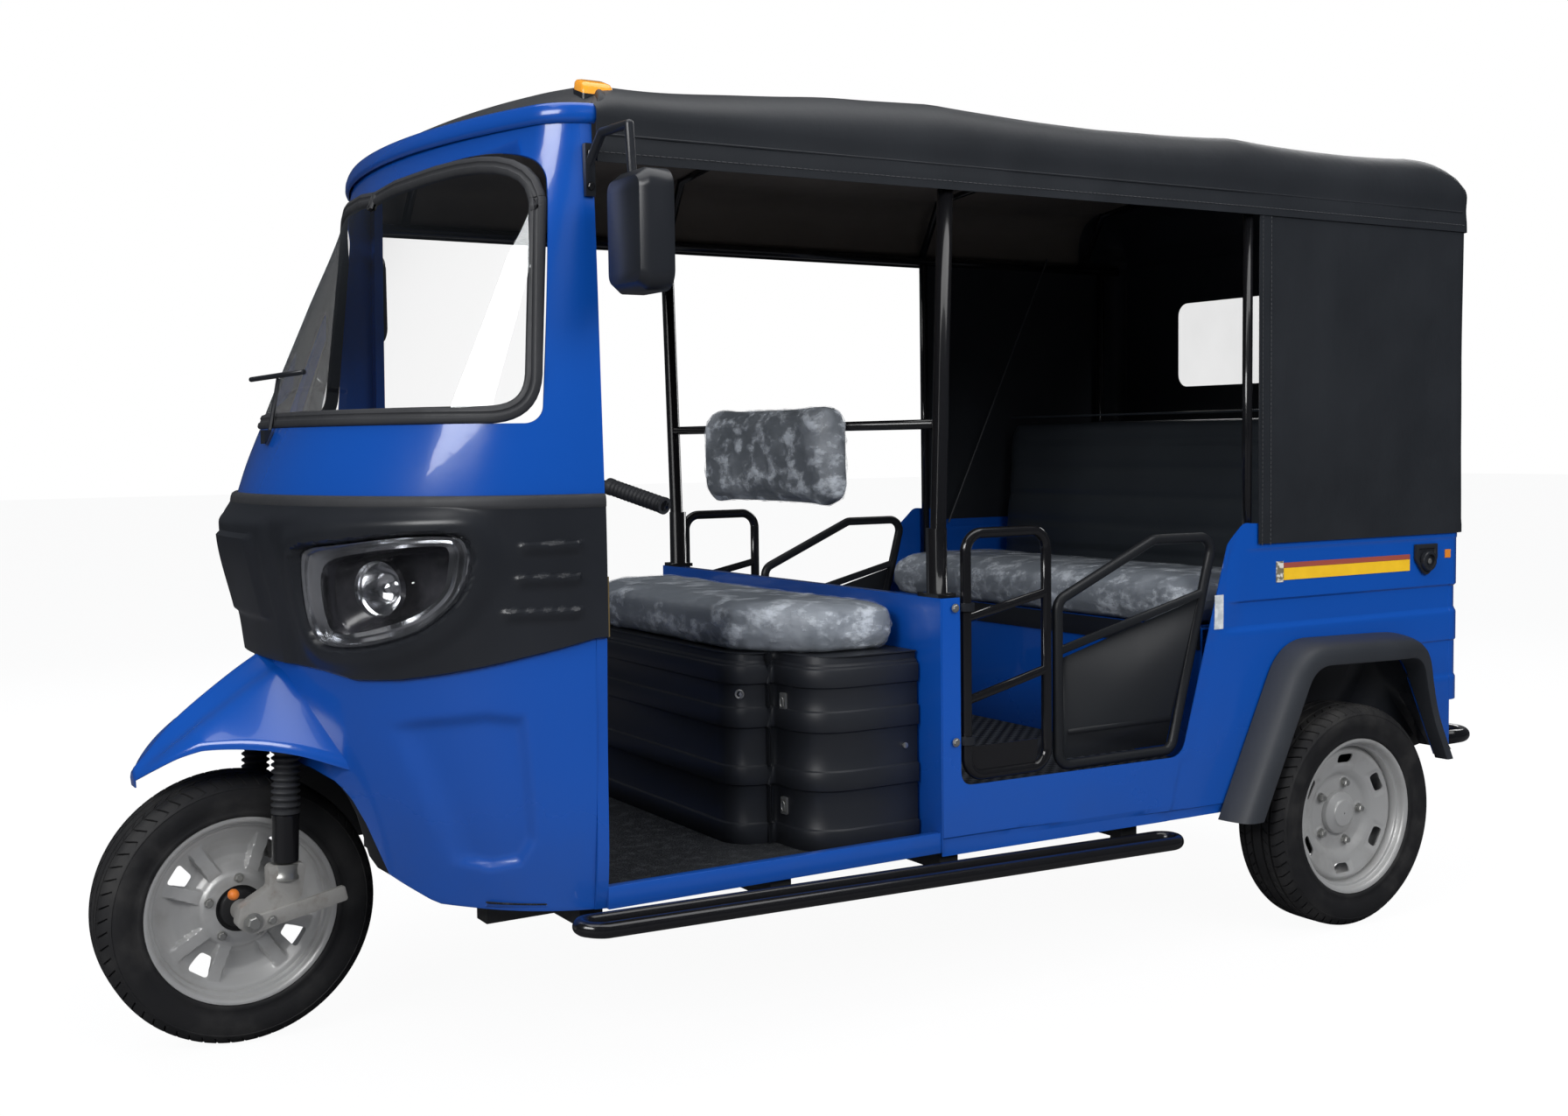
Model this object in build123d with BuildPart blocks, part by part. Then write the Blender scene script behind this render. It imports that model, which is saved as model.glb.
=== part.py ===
"""Three-wheeled auto rickshaw with a long passenger body, modelled at real size.

Millimetres. +X is forward, +Y the driver's left, +Z up; the tyres stand on z = 0 and the
origin is under the middle of the overall length. Pieces at the front are placed from the
front axle, pieces at the back from the rear axle, so a longer wheelbase lengthens the doorways.
"""
from build123d import *
import os
from math import atan2, cos, radians, sin, sqrt, tan

# ---------------------------------------------------------------- driving dimensions
WHEELBASE = 2317.0
REAR_OVERHANG = 620.0        # rear axle to the back of the bumper
REAR_TRACK = 1284.0          # middle to middle of the rear tyres

TYRE_R = 254.0
TYRE_WIDTH = 145.0
RIM_FLANGE_R = 176.0
BEAD_R = 166.0

SHEET = 3.0                  # body panels
GAP = 0.3                    # seat clearance between pieces that touch
RUNNING = 0.05               # radial clearance of a turning shaft

FLOOR_UNDER = 300.0
SILL_TOP = 340.0
DRIVER_FLOOR = 315.0
CABIN_FLOOR = 400.0
BELT_Z = 1022.0
CAB_TOP = 1700.0
BODY_TOP = 895.0
ROOF_HEM = 1605.0
ROOF_TOP = 1818.0

STEER_RAKE = 22.0
STEER_TRAIL = 33.0
FORK_HALF = 112.0

# ---------------------------------------------------------------- stations along the car
REAR_AXLE_X = -(WHEELBASE + TYRE_R - REAR_OVERHANG) / 2
FRONT_AXLE_X = REAR_AXLE_X + WHEELBASE
AXLE_Z = TYRE_R
REAR_WHEEL_Y = REAR_TRACK / 2

POST_X = FRONT_AXLE_X - 502.0        # rear face of the door post
POST_DEPTH = 20.0
WELL_BACK = FRONT_AXLE_X - 322.0     # wheel box of the front wheel
WELL_HALF = 235.0
WELL_ROOF = 655.0

BULKHEAD_X = REAR_AXLE_X + 1091.0
DOOR_FRONT = REAR_AXLE_X + 1045.0
BODY_FRONT_HALF = 604.0
BODY_HALF = 633.0
BODY_BACK = REAR_AXLE_X - 480.0
BODY_CORNER_R = 60.0
BODY_TAPER_END = REAR_AXLE_X + 300.0
BODY_UNDER = 292.0

PILLAR_X = REAR_AXLE_X + 1068.0
PILLAR_Y = 560.0
PILLAR_R = 16.0
BULKHEAD_TOP = 808.0

RAIL_Y = 345.0               # ladder frame
RAIL_WIDTH = 50.0
RAIL_DEPTH = 58.0

# Cab form: height, nose ahead of the post, half width, front radius, corner radius.
CAB_SECTIONS = [
    (300.0, 345.0, 600.0, 750.0, 330.0),
    (500.0, 395.0, 608.0, 780.0, 330.0),
    (760.0, 435.0, 613.0, 800.0, 330.0),
    (1020.0, 455.0, 615.0, 800.0, 330.0),
    (1170.0, 395.0, 610.0, 920.0, 260.0),
    (1400.0, 290.0, 602.0, 1150.0, 160.0),
    (1600.0, 195.0, 592.0, 1450.0, 100.0),
    (1700.0, 170.0, 588.0, 1550.0, 90.0),
]

os.makedirs("parts", exist_ok=True)


def write(piece, label):
    """Label a finished piece and write it as one STEP file."""
    piece.label = label
    export_step(piece, f"parts/{label}.step")


def side_block(points, near, far, corner=0.0):
    """Outline in the side view (x, z), as thick as from y = near to y = far."""
    with BuildPart() as block:
        with BuildSketch(Plane.XZ.offset(-far)) as outline:
            with BuildLine():
                Polyline(*points, close=True)
            make_face()
            if corner:
                fillet(outline.vertices(), corner)
        extrude(amount=far - near)
    return block.part


def both_sides(piece):
    """The piece and its mirror image across the car's middle."""
    with BuildPart() as pair:
        add(piece)
        mirror(piece, about=Plane.XZ)
    return pair.part


def tube_run(points, radius, bends, bore=0.0):
    """Round tube along straight runs with rounded bends."""
    with BuildPart() as tube:
        with BuildLine() as path:
            FilletPolyline(*points, radius=bends)
        with BuildSketch(Plane(origin=path.wire() @ 0, z_dir=path.wire() % 0)):
            Circle(radius)
            if bore:
                Circle(bore, mode=Mode.SUBTRACT)
        sweep()
    return tube.part


def tube_ring(points, radius, bends):
    """Round bar round a closed outline with rounded corners."""
    with BuildPart() as ring:
        with BuildLine() as path:
            FilletPolyline(*points, radius=bends, close=True)
        with BuildSketch(Plane(origin=path.wire() @ 0, z_dir=path.wire() % 0)):
            Circle(radius)
        sweep()
    return ring.part


def bar(start, end, radius):
    """Straight round bar from one point to another."""
    axis = Vector(*end) - Vector(*start)
    with BuildPart() as rod:
        with BuildSketch(Plane(origin=start, z_dir=axis)):
            Circle(radius)
        extrude(amount=axis.length)
    return rod.part


# ---------------------------------------------------------------- cab form
FORM_BACK = POST_X - 120.0           # the form runs on behind the post and is cut there


def cab_outline(nose, half, front_r, corner_r):
    """Plan of the cab: curved front, rounded corners, straight sides."""
    centre_x = nose - front_r
    reach = front_r - corner_r
    corner_y = half - corner_r
    corner_x = centre_x + sqrt(reach ** 2 - corner_y ** 2)
    lean = atan2(corner_y, corner_x - centre_x)
    blend = (centre_x + front_r * cos(lean), front_r * sin(lean))
    turn = (lean + radians(90)) / 2
    middle = (corner_x + corner_r * cos(turn), corner_y + corner_r * sin(turn))
    with BuildSketch() as outline:
        with BuildLine():
            ThreePointArc((blend[0], -blend[1]), (nose, 0), blend)
            ThreePointArc(blend, middle, (corner_x, half))
            Line((corner_x, half), (FORM_BACK, half))
            Line((FORM_BACK, half), (FORM_BACK, -half))
            Line((FORM_BACK, -half), (corner_x, -half))
            ThreePointArc((corner_x, -half), (middle[0], -middle[1]), (blend[0], -blend[1]))
        make_face()
    return outline.sketch


def cab_form(grow):
    """Solid of the whole cab, grown outwards by `grow` on the front and the sides."""
    outlines = [
        (height, cab_outline(POST_X + nose + grow, half + grow, front_r + grow, corner_r + grow))
        for height, nose, half, front_r, corner_r in CAB_SECTIONS
    ]
    with BuildPart() as form:
        for height, outline in outlines:
            with BuildSketch(Plane.XY.offset(height)):
                add(outline)
        loft()
        split(bisect_by=Plane.YZ.offset(POST_X), keep=Keep.TOP)
    return form.part


CAB_SHELL_FRONT = POST_X + POST_DEPTH
cab_outer = cab_form(0.0)
cab_inner = cab_form(-SHEET)
with BuildPart() as cab_skin:
    add(cab_outer)
    add(cab_inner, mode=Mode.SUBTRACT)


def cab_layer(outer, inner, cutters):
    """Skin between two grown cab forms, kept where every cutter solid covers it."""
    with BuildPart() as layer:
        add(cutters[0])
        for cutter in cutters[1:] + [outer]:
            add(cutter, mode=Mode.INTERSECT)
        add(inner, mode=Mode.SUBTRACT)
    return layer.part


cab_trim = cab_form(9.0)
cab_seal = cab_form(7.0)
cab_seat = cab_form(GAP)

# ---------------------------------------------------------------- cab outlines, side view
SIDE = 700.0                         # wider than the car's half width
MASK_EDGE = [
    (CAB_SHELL_FRONT + 3, 783.0), (POST_X + 141, 757.0), (POST_X + 241, 732.0),
    (POST_X + 314, 713.0), (POST_X + 363, 707.0), (POST_X + 400, 720.0), (POST_X + 600, 745.0),
]
mask_zone = side_block(
    MASK_EDGE + [(POST_X + 600, BELT_Z + 10), (MASK_EDGE[0][0], BELT_Z + 10)], -SIDE, SIDE)
ARCH_EDGE = [
    (POST_X + 215, 200.0), (POST_X + 238, 300.0), (POST_X + 270, 322.0), (POST_X + 297, 342.0),
    (POST_X + 312, 366.0), (POST_X + 333, 445.0), (POST_X + 350, 484.0), (POST_X + 366, 508.0),
    (POST_X + 388, 524.0), (POST_X + 420, 529.0), (POST_X + 700, 529.0), (POST_X + 700, 200.0),
]
arch_cut = side_block(ARCH_EDGE, -SIDE, SIDE)

# Windscreen opening in the side view; the front edge lies far ahead of the cab.
SCREEN_LOW = 1157.0
SCREEN_BACK = POST_X + 76.0
SCREEN_TOP = 1672.0
SCREEN_SLOPE = 41.0 / 92.0           # the top edge drops towards the middle of the roof
SCREEN_CORNER = 62.0
SEAL_WIDTH = 30.0


def screen_block(inset):
    """Block through the cab with the windscreen's side outline, drawn in by `inset`."""
    low, back, top = SCREEN_LOW + inset, SCREEN_BACK + inset, SCREEN_TOP - inset
    front = POST_X + 600
    outline = [
        (back + 30, low), (front, low), (front, top - SCREEN_SLOPE * (front - back)),
        (back - 5, top), (back, top - 120),
    ]
    with BuildPart() as block:
        with BuildSketch(Plane.XZ) as sketch:
            with BuildLine():
                Polyline(*outline, close=True)
            make_face()
            rear = sketch.vertices().sort_by(Axis.X)[:3]
            fillet(rear.sort_by(Axis.Y)[-1], SCREEN_CORNER - inset)
            fillet(sketch.vertices().sort_by(Axis.Y)[:2].sort_by(Axis.X)[0], SCREEN_CORNER / 2)
        extrude(amount=SIDE, both=True)
    return block.part


screen_outer = screen_block(0.0)
screen_inner = screen_block(SEAL_WIDTH)

# ---------------------------------------------------------------- headlamp outline
LAMP_TURN = 35.0                     # the lamps look this far outwards
lamp_plane = Plane(
    origin=(POST_X + 315, 420, 865),
    x_dir=(-sin(radians(LAMP_TURN)), cos(radians(LAMP_TURN)), 0),
    z_dir=(cos(radians(LAMP_TURN)), sin(radians(LAMP_TURN)), 0),
)
LAMP_OUTLINE = [(-200, -88), (-175, -100), (-60, -96), (60, -62), (158, 30), (165, 102), (-190, 80)]
LAMP_ROUND = 26.0
LAMP_FRAME = 36.0
LAMP_DEPTH = 95.0


def lamp_block(inset, back, front):
    """Block with the lamp's outline, drawn in by `inset`, along the way the lamp looks."""
    with BuildPart() as block:
        with BuildSketch(lamp_plane.offset(back)) as sketch:
            with BuildLine():
                Polyline(*LAMP_OUTLINE, close=True)
            make_face()
            fillet(sketch.vertices(), LAMP_ROUND)
            if inset:
                offset(amount=-inset, kind=Kind.INTERSECTION, mode=Mode.REPLACE)
        extrude(amount=front - back)
    return block.part


lamp_hole = lamp_block(0.0, -250, 120)
lamp_glass_hole = lamp_block(LAMP_FRAME, -250, 120)

# ---------------------------------------------------------------- wheel box
well_roof_block = side_block(
    [(WELL_BACK, WELL_ROOF), (POST_X + 700, WELL_ROOF), (POST_X + 700, 150), (WELL_BACK, 150)],
    -WELL_HALF, WELL_HALF)
well_inside = side_block(
    [(WELL_BACK + SHEET, WELL_ROOF - SHEET), (POST_X + 700, WELL_ROOF - SHEET),
     (POST_X + 700, 150), (WELL_BACK + SHEET, 150)],
    -WELL_HALF + SHEET, WELL_HALF - SHEET)
STEER_AXIS_GROUND = FRONT_AXLE_X + STEER_TRAIL


def steer_point(height):
    """Point of the steering axis at a height above the ground."""
    return (STEER_AXIS_GROUND - height * tan(radians(STEER_RAKE)), 0, height)


COLUMN_R = 19.0
HEAD_R = 30.0
HEAD_LOW = WELL_ROOF
HEAD_HIGH = 800.0
steer_dir = Vector(-sin(radians(STEER_RAKE)), 0, cos(radians(STEER_RAKE)))
column_clear = bar(steer_point(HEAD_LOW - 90), steer_point(HEAD_LOW + 60), COLUMN_R + 9)

with BuildPart() as wheel_well:
    add(well_roof_block)
    add(well_inside, mode=Mode.SUBTRACT)
    add(cab_outer, mode=Mode.INTERSECT)
    add(arch_cut, mode=Mode.SUBTRACT)
    add(column_clear, mode=Mode.SUBTRACT)

# ---------------------------------------------------------------- cab shell
lamp_opening = lamp_block(-6.0, -250, 120)
PANEL_OUTLINE = [
    (POST_X + 112, 432), (POST_X + 134, 374), (POST_X + 226, 380), (POST_X + 271, 470),
    (POST_X + 318, 628), (POST_X + 290, 649), (POST_X + 200, 664), (POST_X + 122, 652)]
PANEL_DEPTH = 10.0
PANEL_ROUND = 16.0
panel_zone = side_block(PANEL_OUTLINE, -SIDE, SIDE, PANEL_ROUND)
with BuildPart() as panel_hollow:
    with BuildSketch(Plane.XZ) as core:
        with BuildLine():
            Polyline(*PANEL_OUTLINE, close=True)
        make_face()
        fillet(core.vertices(), PANEL_ROUND)
        offset(amount=-SHEET, mode=Mode.REPLACE)
    extrude(amount=SIDE, both=True)
    add(cab_form(-PANEL_DEPTH), mode=Mode.SUBTRACT)
with BuildPart() as stamped_panels:
    add(cab_layer(cab_outer, cab_form(-PANEL_DEPTH - SHEET), [panel_zone]))
    add(panel_hollow.part, mode=Mode.SUBTRACT)
with BuildPart() as cab_lower:
    add(cab_skin.part)
    split(bisect_by=Plane.YZ.offset(CAB_SHELL_FRONT), keep=Keep.TOP)
    split(bisect_by=Plane.XY.offset(BELT_Z), keep=Keep.BOTTOM)
    add(arch_cut, mode=Mode.SUBTRACT)
    add(well_roof_block, mode=Mode.SUBTRACT)
    add(both_sides(lamp_opening), mode=Mode.SUBTRACT)
    add(panel_zone, mode=Mode.SUBTRACT)
    add(stamped_panels.part)
write(cab_lower.part, "cab_lower_shell")

with BuildPart() as cab_upper:
    add(cab_skin.part)
    split(bisect_by=Plane.YZ.offset(CAB_SHELL_FRONT), keep=Keep.TOP)
    split(bisect_by=Plane.XY.offset(BELT_Z), keep=Keep.TOP)
    add(screen_outer, mode=Mode.SUBTRACT)
write(cab_upper.part, "cab_upper_shell")

POST_INSET = 32.0
with BuildPart() as door_posts:
    add(cab_outer)
    add(cab_form(-POST_INSET), mode=Mode.SUBTRACT)
    split(bisect_by=Plane.YZ.offset(CAB_SHELL_FRONT), keep=Keep.BOTTOM)
    with Locations((POST_X, 0, CAB_TOP)):
        Box(4 * POST_DEPTH, 2 * SIDE, 2 * 20, mode=Mode.SUBTRACT)
write(door_posts.part, "door_posts")

# ---------------------------------------------------------------- windscreen
screen_seal = cab_layer(cab_seal, cab_inner, [screen_outer])
with BuildPart() as windscreen_seal:
    add(screen_seal)
    add(screen_inner, mode=Mode.SUBTRACT)
write(windscreen_seal.part, "windscreen_seal")

GLASS = 6.0
screen_glass = cab_layer(cab_form(2.0), cab_form(2.0 - GLASS), [screen_inner])
write(screen_glass, "windscreen")

# ---------------------------------------------------------------- mask and lamps
BEAK_LEDGE, BEAK_LOW = 986.0, 790.0  # the nose of the mask stands proud between these heights
BEAK_HALF, BADGE_HALF = 170.0, 118.0
BADGE_LOW, BADGE_HIGH = 806.0, 960.0
LOUVRES = [(952.0, 999.0), (896.0, 1006.0), (838.0, 1026.0)]   # top edge, front end
LOUVRE_BACK = 889.0
LOUVRE_DEPTH = 24.0
with BuildPart() as proud_zone:
    with Locations((POST_X + 300, 0, (BEAK_LOW + BEAK_LEDGE) / 2)):
        Box(600, 2 * BEAK_HALF, BEAK_LEDGE - BEAK_LOW)
    for height, front in LOUVRES:
        with Locations(((LOUVRE_BACK + front) / 2, 0, height - LOUVRE_DEPTH / 2)):
            Box(front - LOUVRE_BACK, 2 * SIDE, LOUVRE_DEPTH)
with BuildPart() as badge_zone:
    with Locations((POST_X + 300, 0, (BADGE_LOW + BADGE_HIGH) / 2)):
        Box(600, 2 * BADGE_HALF, BADGE_HIGH - BADGE_LOW)
with BuildPart() as nose_mask:
    add(cab_layer(cab_trim, cab_seat, [mask_zone]))
    add(both_sides(lamp_hole), mode=Mode.SUBTRACT)
    add(cab_layer(cab_form(20.0), cab_seat, [proud_zone.part]))
    add(cab_layer(cab_form(31.0), cab_seat, [badge_zone.part]))
write(nose_mask.part, "nose_mask")

lamp_rim = cab_layer(cab_form(16.0), cab_form(-12.0), [lamp_hole])
with BuildPart() as lamp_frames:
    add(lamp_rim)
    add(lamp_glass_hole, mode=Mode.SUBTRACT)
write(both_sides(lamp_frames.part), "headlamp_frames")

lamp_front = cab_layer(cab_form(12.0), cab_form(8.0), [lamp_glass_hole])
write(both_sides(lamp_front), "headlamp_lenses")

with BuildPart() as lamp_bowl:
    add(lamp_block(-4.0, -LAMP_DEPTH, 20))
    add(cab_form(-12.0), mode=Mode.INTERSECT)
    add(lamp_block(8.0, -LAMP_DEPTH + 10, 120), mode=Mode.SUBTRACT)
write(both_sides(lamp_bowl.part), "headlamp_bowls")

# ---------------------------------------------------------------- front fender
# Station ahead of the axle, half width, lower edge, height of the ridge.
FENDER_SECTIONS = [
    (-150.0, 268.0, 520.0, 770.0),
    (-60.0, 225.0, 552.0, 726.0),
    (30.0, 160.0, 562.0, 665.0),
    (110.0, 108.0, 553.0, 600.0),
    (158.0, 58.0, 528.0, 548.0),
    (172.0, 22.0, 520.0, 536.0),
]
FENDER_LIP = 12.0
FENDER_SIDE, FENDER_FLANK, FENDER_RISE = 0.96, 0.55, 0.62   # shares of the half width and height
FENDER_WALL = 3.0
FENDER_OPEN = 45.0                   # the inner form runs on this far below the edge


def fender_form(inset, below=0.0):
    """Solid under the fender's outer surface, drawn in by `inset` and open `below` its edge."""
    with BuildPart() as form:
        for ahead, half, edge, ridge in FENDER_SECTIONS:
            half_in, top = half - inset, ridge - inset
            side, flank = half_in * FENDER_SIDE, half_in * FENDER_FLANK
            lip = (edge + ridge) / 2 - inset
            flank_z = lip + FENDER_LIP + (top - lip - FENDER_LIP) * FENDER_RISE
            with BuildSketch(Plane.YZ.offset(FRONT_AXLE_X + ahead - inset)):
                with BuildLine():
                    Line((-half_in, edge - below), (-side, lip))
                    ThreePointArc((-side, lip), (-flank, flank_z), (0, top))
                    ThreePointArc((0, top), (flank, flank_z), (side, lip))
                    Line((side, lip), (half_in, edge - below))
                    Line((half_in, edge - below), (-half_in, edge - below))
                make_face()
        loft()
    return form.part


with BuildPart() as fender:
    add(fender_form(0.0))
    add(fender_form(FENDER_WALL, FENDER_OPEN), mode=Mode.SUBTRACT)
    add(cab_outer, mode=Mode.SUBTRACT)
    add(mask_zone, mode=Mode.SUBTRACT)
    split(bisect_by=Plane.YZ.offset(FRONT_AXLE_X - 145), keep=Keep.TOP)
write(fender.part, "front_fender")

# ---------------------------------------------------------------- ladder frame
RAIL_TOP = FLOOR_UNDER
RAIL_KICK = 165.0                    # the rails rise this much over the rear axle
KICK_START = REAR_AXLE_X + 372.0
KICK_END = REAR_AXLE_X + 282.0
FRAME_FRONT = WELL_BACK - 40.0
FRAME_BACK = REAR_AXLE_X - 450.0
rail_outline = [
    (FRAME_FRONT, RAIL_TOP), (KICK_START, RAIL_TOP), (KICK_END, RAIL_TOP + RAIL_KICK),
    (FRAME_BACK, RAIL_TOP + RAIL_KICK), (FRAME_BACK, RAIL_TOP + RAIL_KICK - RAIL_DEPTH),
    (KICK_END - 20, RAIL_TOP + RAIL_KICK - RAIL_DEPTH), (KICK_START - 20, RAIL_TOP - RAIL_DEPTH),
    (FRAME_FRONT, RAIL_TOP - RAIL_DEPTH),
]
rail = side_block(rail_outline, RAIL_Y - RAIL_WIDTH / 2, RAIL_Y + RAIL_WIDTH / 2)
write(both_sides(rail), "chassis_rails")

CROSS_DEPTH = 40.0
CROSS_WIDTH = 45.0
STEP_FRONT = FRONT_AXLE_X - 430.0
STEP_BACK = REAR_AXLE_X + 505.0
FRONT_CROSS = [
    FRAME_FRONT - 60, POST_X + 10, (POST_X + BULKHEAD_X) / 2, BULKHEAD_X - 30, STEP_BACK + 75]
REAR_CROSS = [REAR_AXLE_X + 300, REAR_AXLE_X - 330]
RAIL_INNER = RAIL_Y - RAIL_WIDTH / 2
RAIL_OUTER = RAIL_Y + RAIL_WIDTH / 2
SILL_Y = 585.0


def cross_box(x, top, near, far):
    """One cross tube between two y values, with its top at `top`."""
    with BuildPart() as tube:
        with Locations((x, (near + far) / 2, top - CROSS_DEPTH / 2)):
            Box(CROSS_WIDTH, far - near, CROSS_DEPTH)
    return tube.part


with BuildPart() as cross_members:
    for x in FRONT_CROSS:
        add(cross_box(x, RAIL_TOP, -RAIL_INNER, RAIL_INNER))
    for x in REAR_CROSS:
        add(cross_box(x, RAIL_TOP + RAIL_KICK, -RAIL_INNER, RAIL_INNER))
    for x in FRONT_CROSS[1:]:
        add(both_sides(cross_box(x, RAIL_TOP, RAIL_OUTER, SILL_Y)))
write(cross_members.part, "cross_members")

# ---------------------------------------------------------------- side steps
STEP_R = 14.0
BRACKET = 8.0
STEP_Z = RAIL_TOP - CROSS_DEPTH - BRACKET / 2
STEP_IN = 622.0
STEP_OUT = 700.0
STEP_BEND = 34.0
step_loop = tube_ring(
    [(STEP_FRONT, STEP_IN, STEP_Z), (STEP_FRONT, STEP_OUT, STEP_Z),
     (STEP_BACK, STEP_OUT, STEP_Z), (STEP_BACK, STEP_IN, STEP_Z)], STEP_R, STEP_BEND)
with BuildPart() as side_step:
    add(step_loop)
    for x in FRONT_CROSS[1:]:
        with Locations((x, (SILL_Y - 40 + STEP_IN) / 2, STEP_Z)):
            Box(CROSS_WIDTH - 9, STEP_IN - SILL_Y + 40, BRACKET)
write(both_sides(side_step.part), "side_steps")

# ---------------------------------------------------------------- floors
FLOOR_PLATE = 12.0
MAT = 3.0
with BuildPart() as cab_floor:
    with BuildSketch(Plane.XY.offset(FLOOR_UNDER)):
        with Locations(((POST_X + WELL_BACK) / 2, 0)):
            Rectangle(WELL_BACK - POST_X, 2 * (SILL_Y - 35))
    extrude(amount=FLOOR_PLATE + MAT)
    add(cab_inner, mode=Mode.INTERSECT)
with BuildPart() as footwell_floor:
    add(cab_floor.part)
    split(bisect_by=Plane.XY.offset(FLOOR_UNDER + FLOOR_PLATE), keep=Keep.BOTTOM)
footwell = footwell_floor.part
with BuildPart() as driver_floor:
    with BuildSketch(Plane.XY.offset(FLOOR_UNDER)):
        with Locations(((BULKHEAD_X + POST_X) / 2, 0)):
            Rectangle(POST_X - BULKHEAD_X - GAP, 2 * (SILL_Y + 15))
    extrude(amount=SILL_TOP - FLOOR_UNDER)
    with BuildSketch(Plane.XY.offset(FLOOR_UNDER + FLOOR_PLATE)):
        with Locations(((BULKHEAD_X + POST_X) / 2, 0)):
            Rectangle(POST_X - BULKHEAD_X, 2 * (SILL_Y - 5))
    extrude(amount=SILL_TOP - FLOOR_UNDER, mode=Mode.SUBTRACT)
    add(footwell)

with BuildPart() as driver_mat:
    with BuildSketch(Plane.XY.offset(FLOOR_UNDER + FLOOR_PLATE)):
        with Locations(((BULKHEAD_X + POST_X) / 2, 0)):
            Rectangle(POST_X - BULKHEAD_X, 2 * (SILL_Y - 37))
    extrude(amount=MAT)
    add(cab_floor.part)
    split(bisect_by=Plane.XY.offset(FLOOR_UNDER + FLOOR_PLATE), keep=Keep.TOP)

BENCH_FRONT = REAR_AXLE_X + 380.0
BODY_INNER = BODY_FRONT_HALF - SHEET - 2
with BuildPart() as cabin_floor:
    with BuildSketch(Plane.XY.offset(CABIN_FLOOR - SHEET)):
        with Locations(((BULKHEAD_X - SHEET + BENCH_FRONT) / 2, 0)):
            Rectangle(BULKHEAD_X - SHEET - BENCH_FRONT, 2 * BODY_INNER)
    extrude(amount=SHEET)
    for x in FRONT_CROSS[3:]:
        with Locations((x, 0, (RAIL_TOP + CABIN_FLOOR - SHEET) / 2)):
            Box(30, 2 * RAIL_OUTER, CABIN_FLOOR - SHEET - RAIL_TOP)
with BuildPart() as floors:
    add(driver_floor.part)
    add(cabin_floor.part)
write(floors.part, "floors")

with BuildPart() as cabin_mat:
    with BuildSketch(Plane.XY.offset(CABIN_FLOOR)):
        with Locations(((BULKHEAD_X - SHEET + BENCH_FRONT) / 2, 0)):
            Rectangle(BULKHEAD_X - SHEET - BENCH_FRONT - 10, 2 * (BODY_INNER - 8))
    extrude(amount=MAT)
with BuildPart() as floor_mats:
    add(driver_mat.part)
    add(cabin_mat.part)
write(floor_mats.part, "floor_mats")

# ---------------------------------------------------------------- passenger body
BODY_HIGH = 930.0
ARCH_FRONT, ARCH_BACK = REAR_AXLE_X + 296.0, REAR_AXLE_X - 430.0
ARCH_TOP_Z = 618.0
ARCH_OUTLINE = [
    (ARCH_FRONT, 200), (ARCH_FRONT, 285), (REAR_AXLE_X + 130, ARCH_TOP_Z),
    (REAR_AXLE_X - 215, ARCH_TOP_Z - 8), (ARCH_BACK, 340), (ARCH_BACK, 200),
]
ARCH_ROUND = 75.0
DOOR_SILL = 430.0
DOOR_BACK_LOW, DOOR_BACK_HIGH = REAR_AXLE_X + 464.0, REAR_AXLE_X + 333.0
DOOR_ROUND = 45.0


def body_ring(grow, wall):
    """Upright wall round the passenger body, grown outwards by `grow`."""
    half_front, half, back = BODY_FRONT_HALF + grow, BODY_HALF + grow, BODY_BACK - grow
    with BuildPart() as ring:
        with BuildSketch(Plane.XY.offset(BODY_UNDER)) as plan:
            with BuildLine():
                Polyline((BULKHEAD_X, -half_front), (BULKHEAD_X, half_front), (BODY_TAPER_END, half),
                         (back, half), (back, -half), (BODY_TAPER_END, -half), close=True)
            make_face()
            corners = plan.vertices().group_by(Axis.X)[0]
            fillet(corners, BODY_CORNER_R + grow)
        extrude(amount=BODY_HIGH + 15 - BODY_UNDER)
        offset(amount=-wall, openings=ring.faces().filter_by(Axis.Z))
    return ring.part


def arch_block(grow, near, far):
    """Block with the wheel arch's side outline, grown by `grow`, between two y values."""
    with BuildPart() as block:
        with BuildSketch(Plane.XZ.offset(-far)) as sketch:
            with BuildLine():
                Polyline(*ARCH_OUTLINE, close=True)
            make_face()
            fillet(sketch.vertices().group_by(Axis.Y)[-2:][0], ARCH_ROUND)
            fillet(sketch.vertices().sort_by(Axis.Y)[-1], ARCH_ROUND)
            if grow:
                offset(amount=grow)
        extrude(amount=far - near)
        if grow:
            split(bisect_by=Plane.XY.offset(285), keep=Keep.TOP)
    return block.part


body_wall = body_ring(0.0, SHEET)
door_cut = side_block(
    [(DOOR_FRONT, DOOR_SILL), (DOOR_BACK_LOW, DOOR_SILL), (DOOR_BACK_HIGH, 905),
     (DOOR_BACK_HIGH - 40, BODY_HIGH), (DOOR_BACK_HIGH - 95, BODY_HIGH),
     (DOOR_BACK_HIGH - 120, BODY_TOP), (BODY_BACK - 50, BODY_TOP), (BODY_BACK - 50, 1100),
     (DOOR_FRONT, 1100)], -SIDE, SIDE)
with BuildPart() as body_cut:
    add(body_wall)
    split(bisect_by=Plane.YZ.offset(BULKHEAD_X - SHEET), keep=Keep.BOTTOM)
    add(door_cut, mode=Mode.SUBTRACT)
    with Locations((DOOR_FRONT, 0, BULKHEAD_TOP + 150)):
        Box(300, 2 * SIDE, 300, mode=Mode.SUBTRACT)
    add(arch_block(0.0, -SIDE, SIDE), mode=Mode.SUBTRACT)
REAR_SPLIT = BODY_BACK + BODY_CORNER_R
with BuildPart() as side_panels:
    add(body_cut.part)
    split(bisect_by=Plane.YZ.offset(REAR_SPLIT), keep=Keep.TOP)

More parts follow.
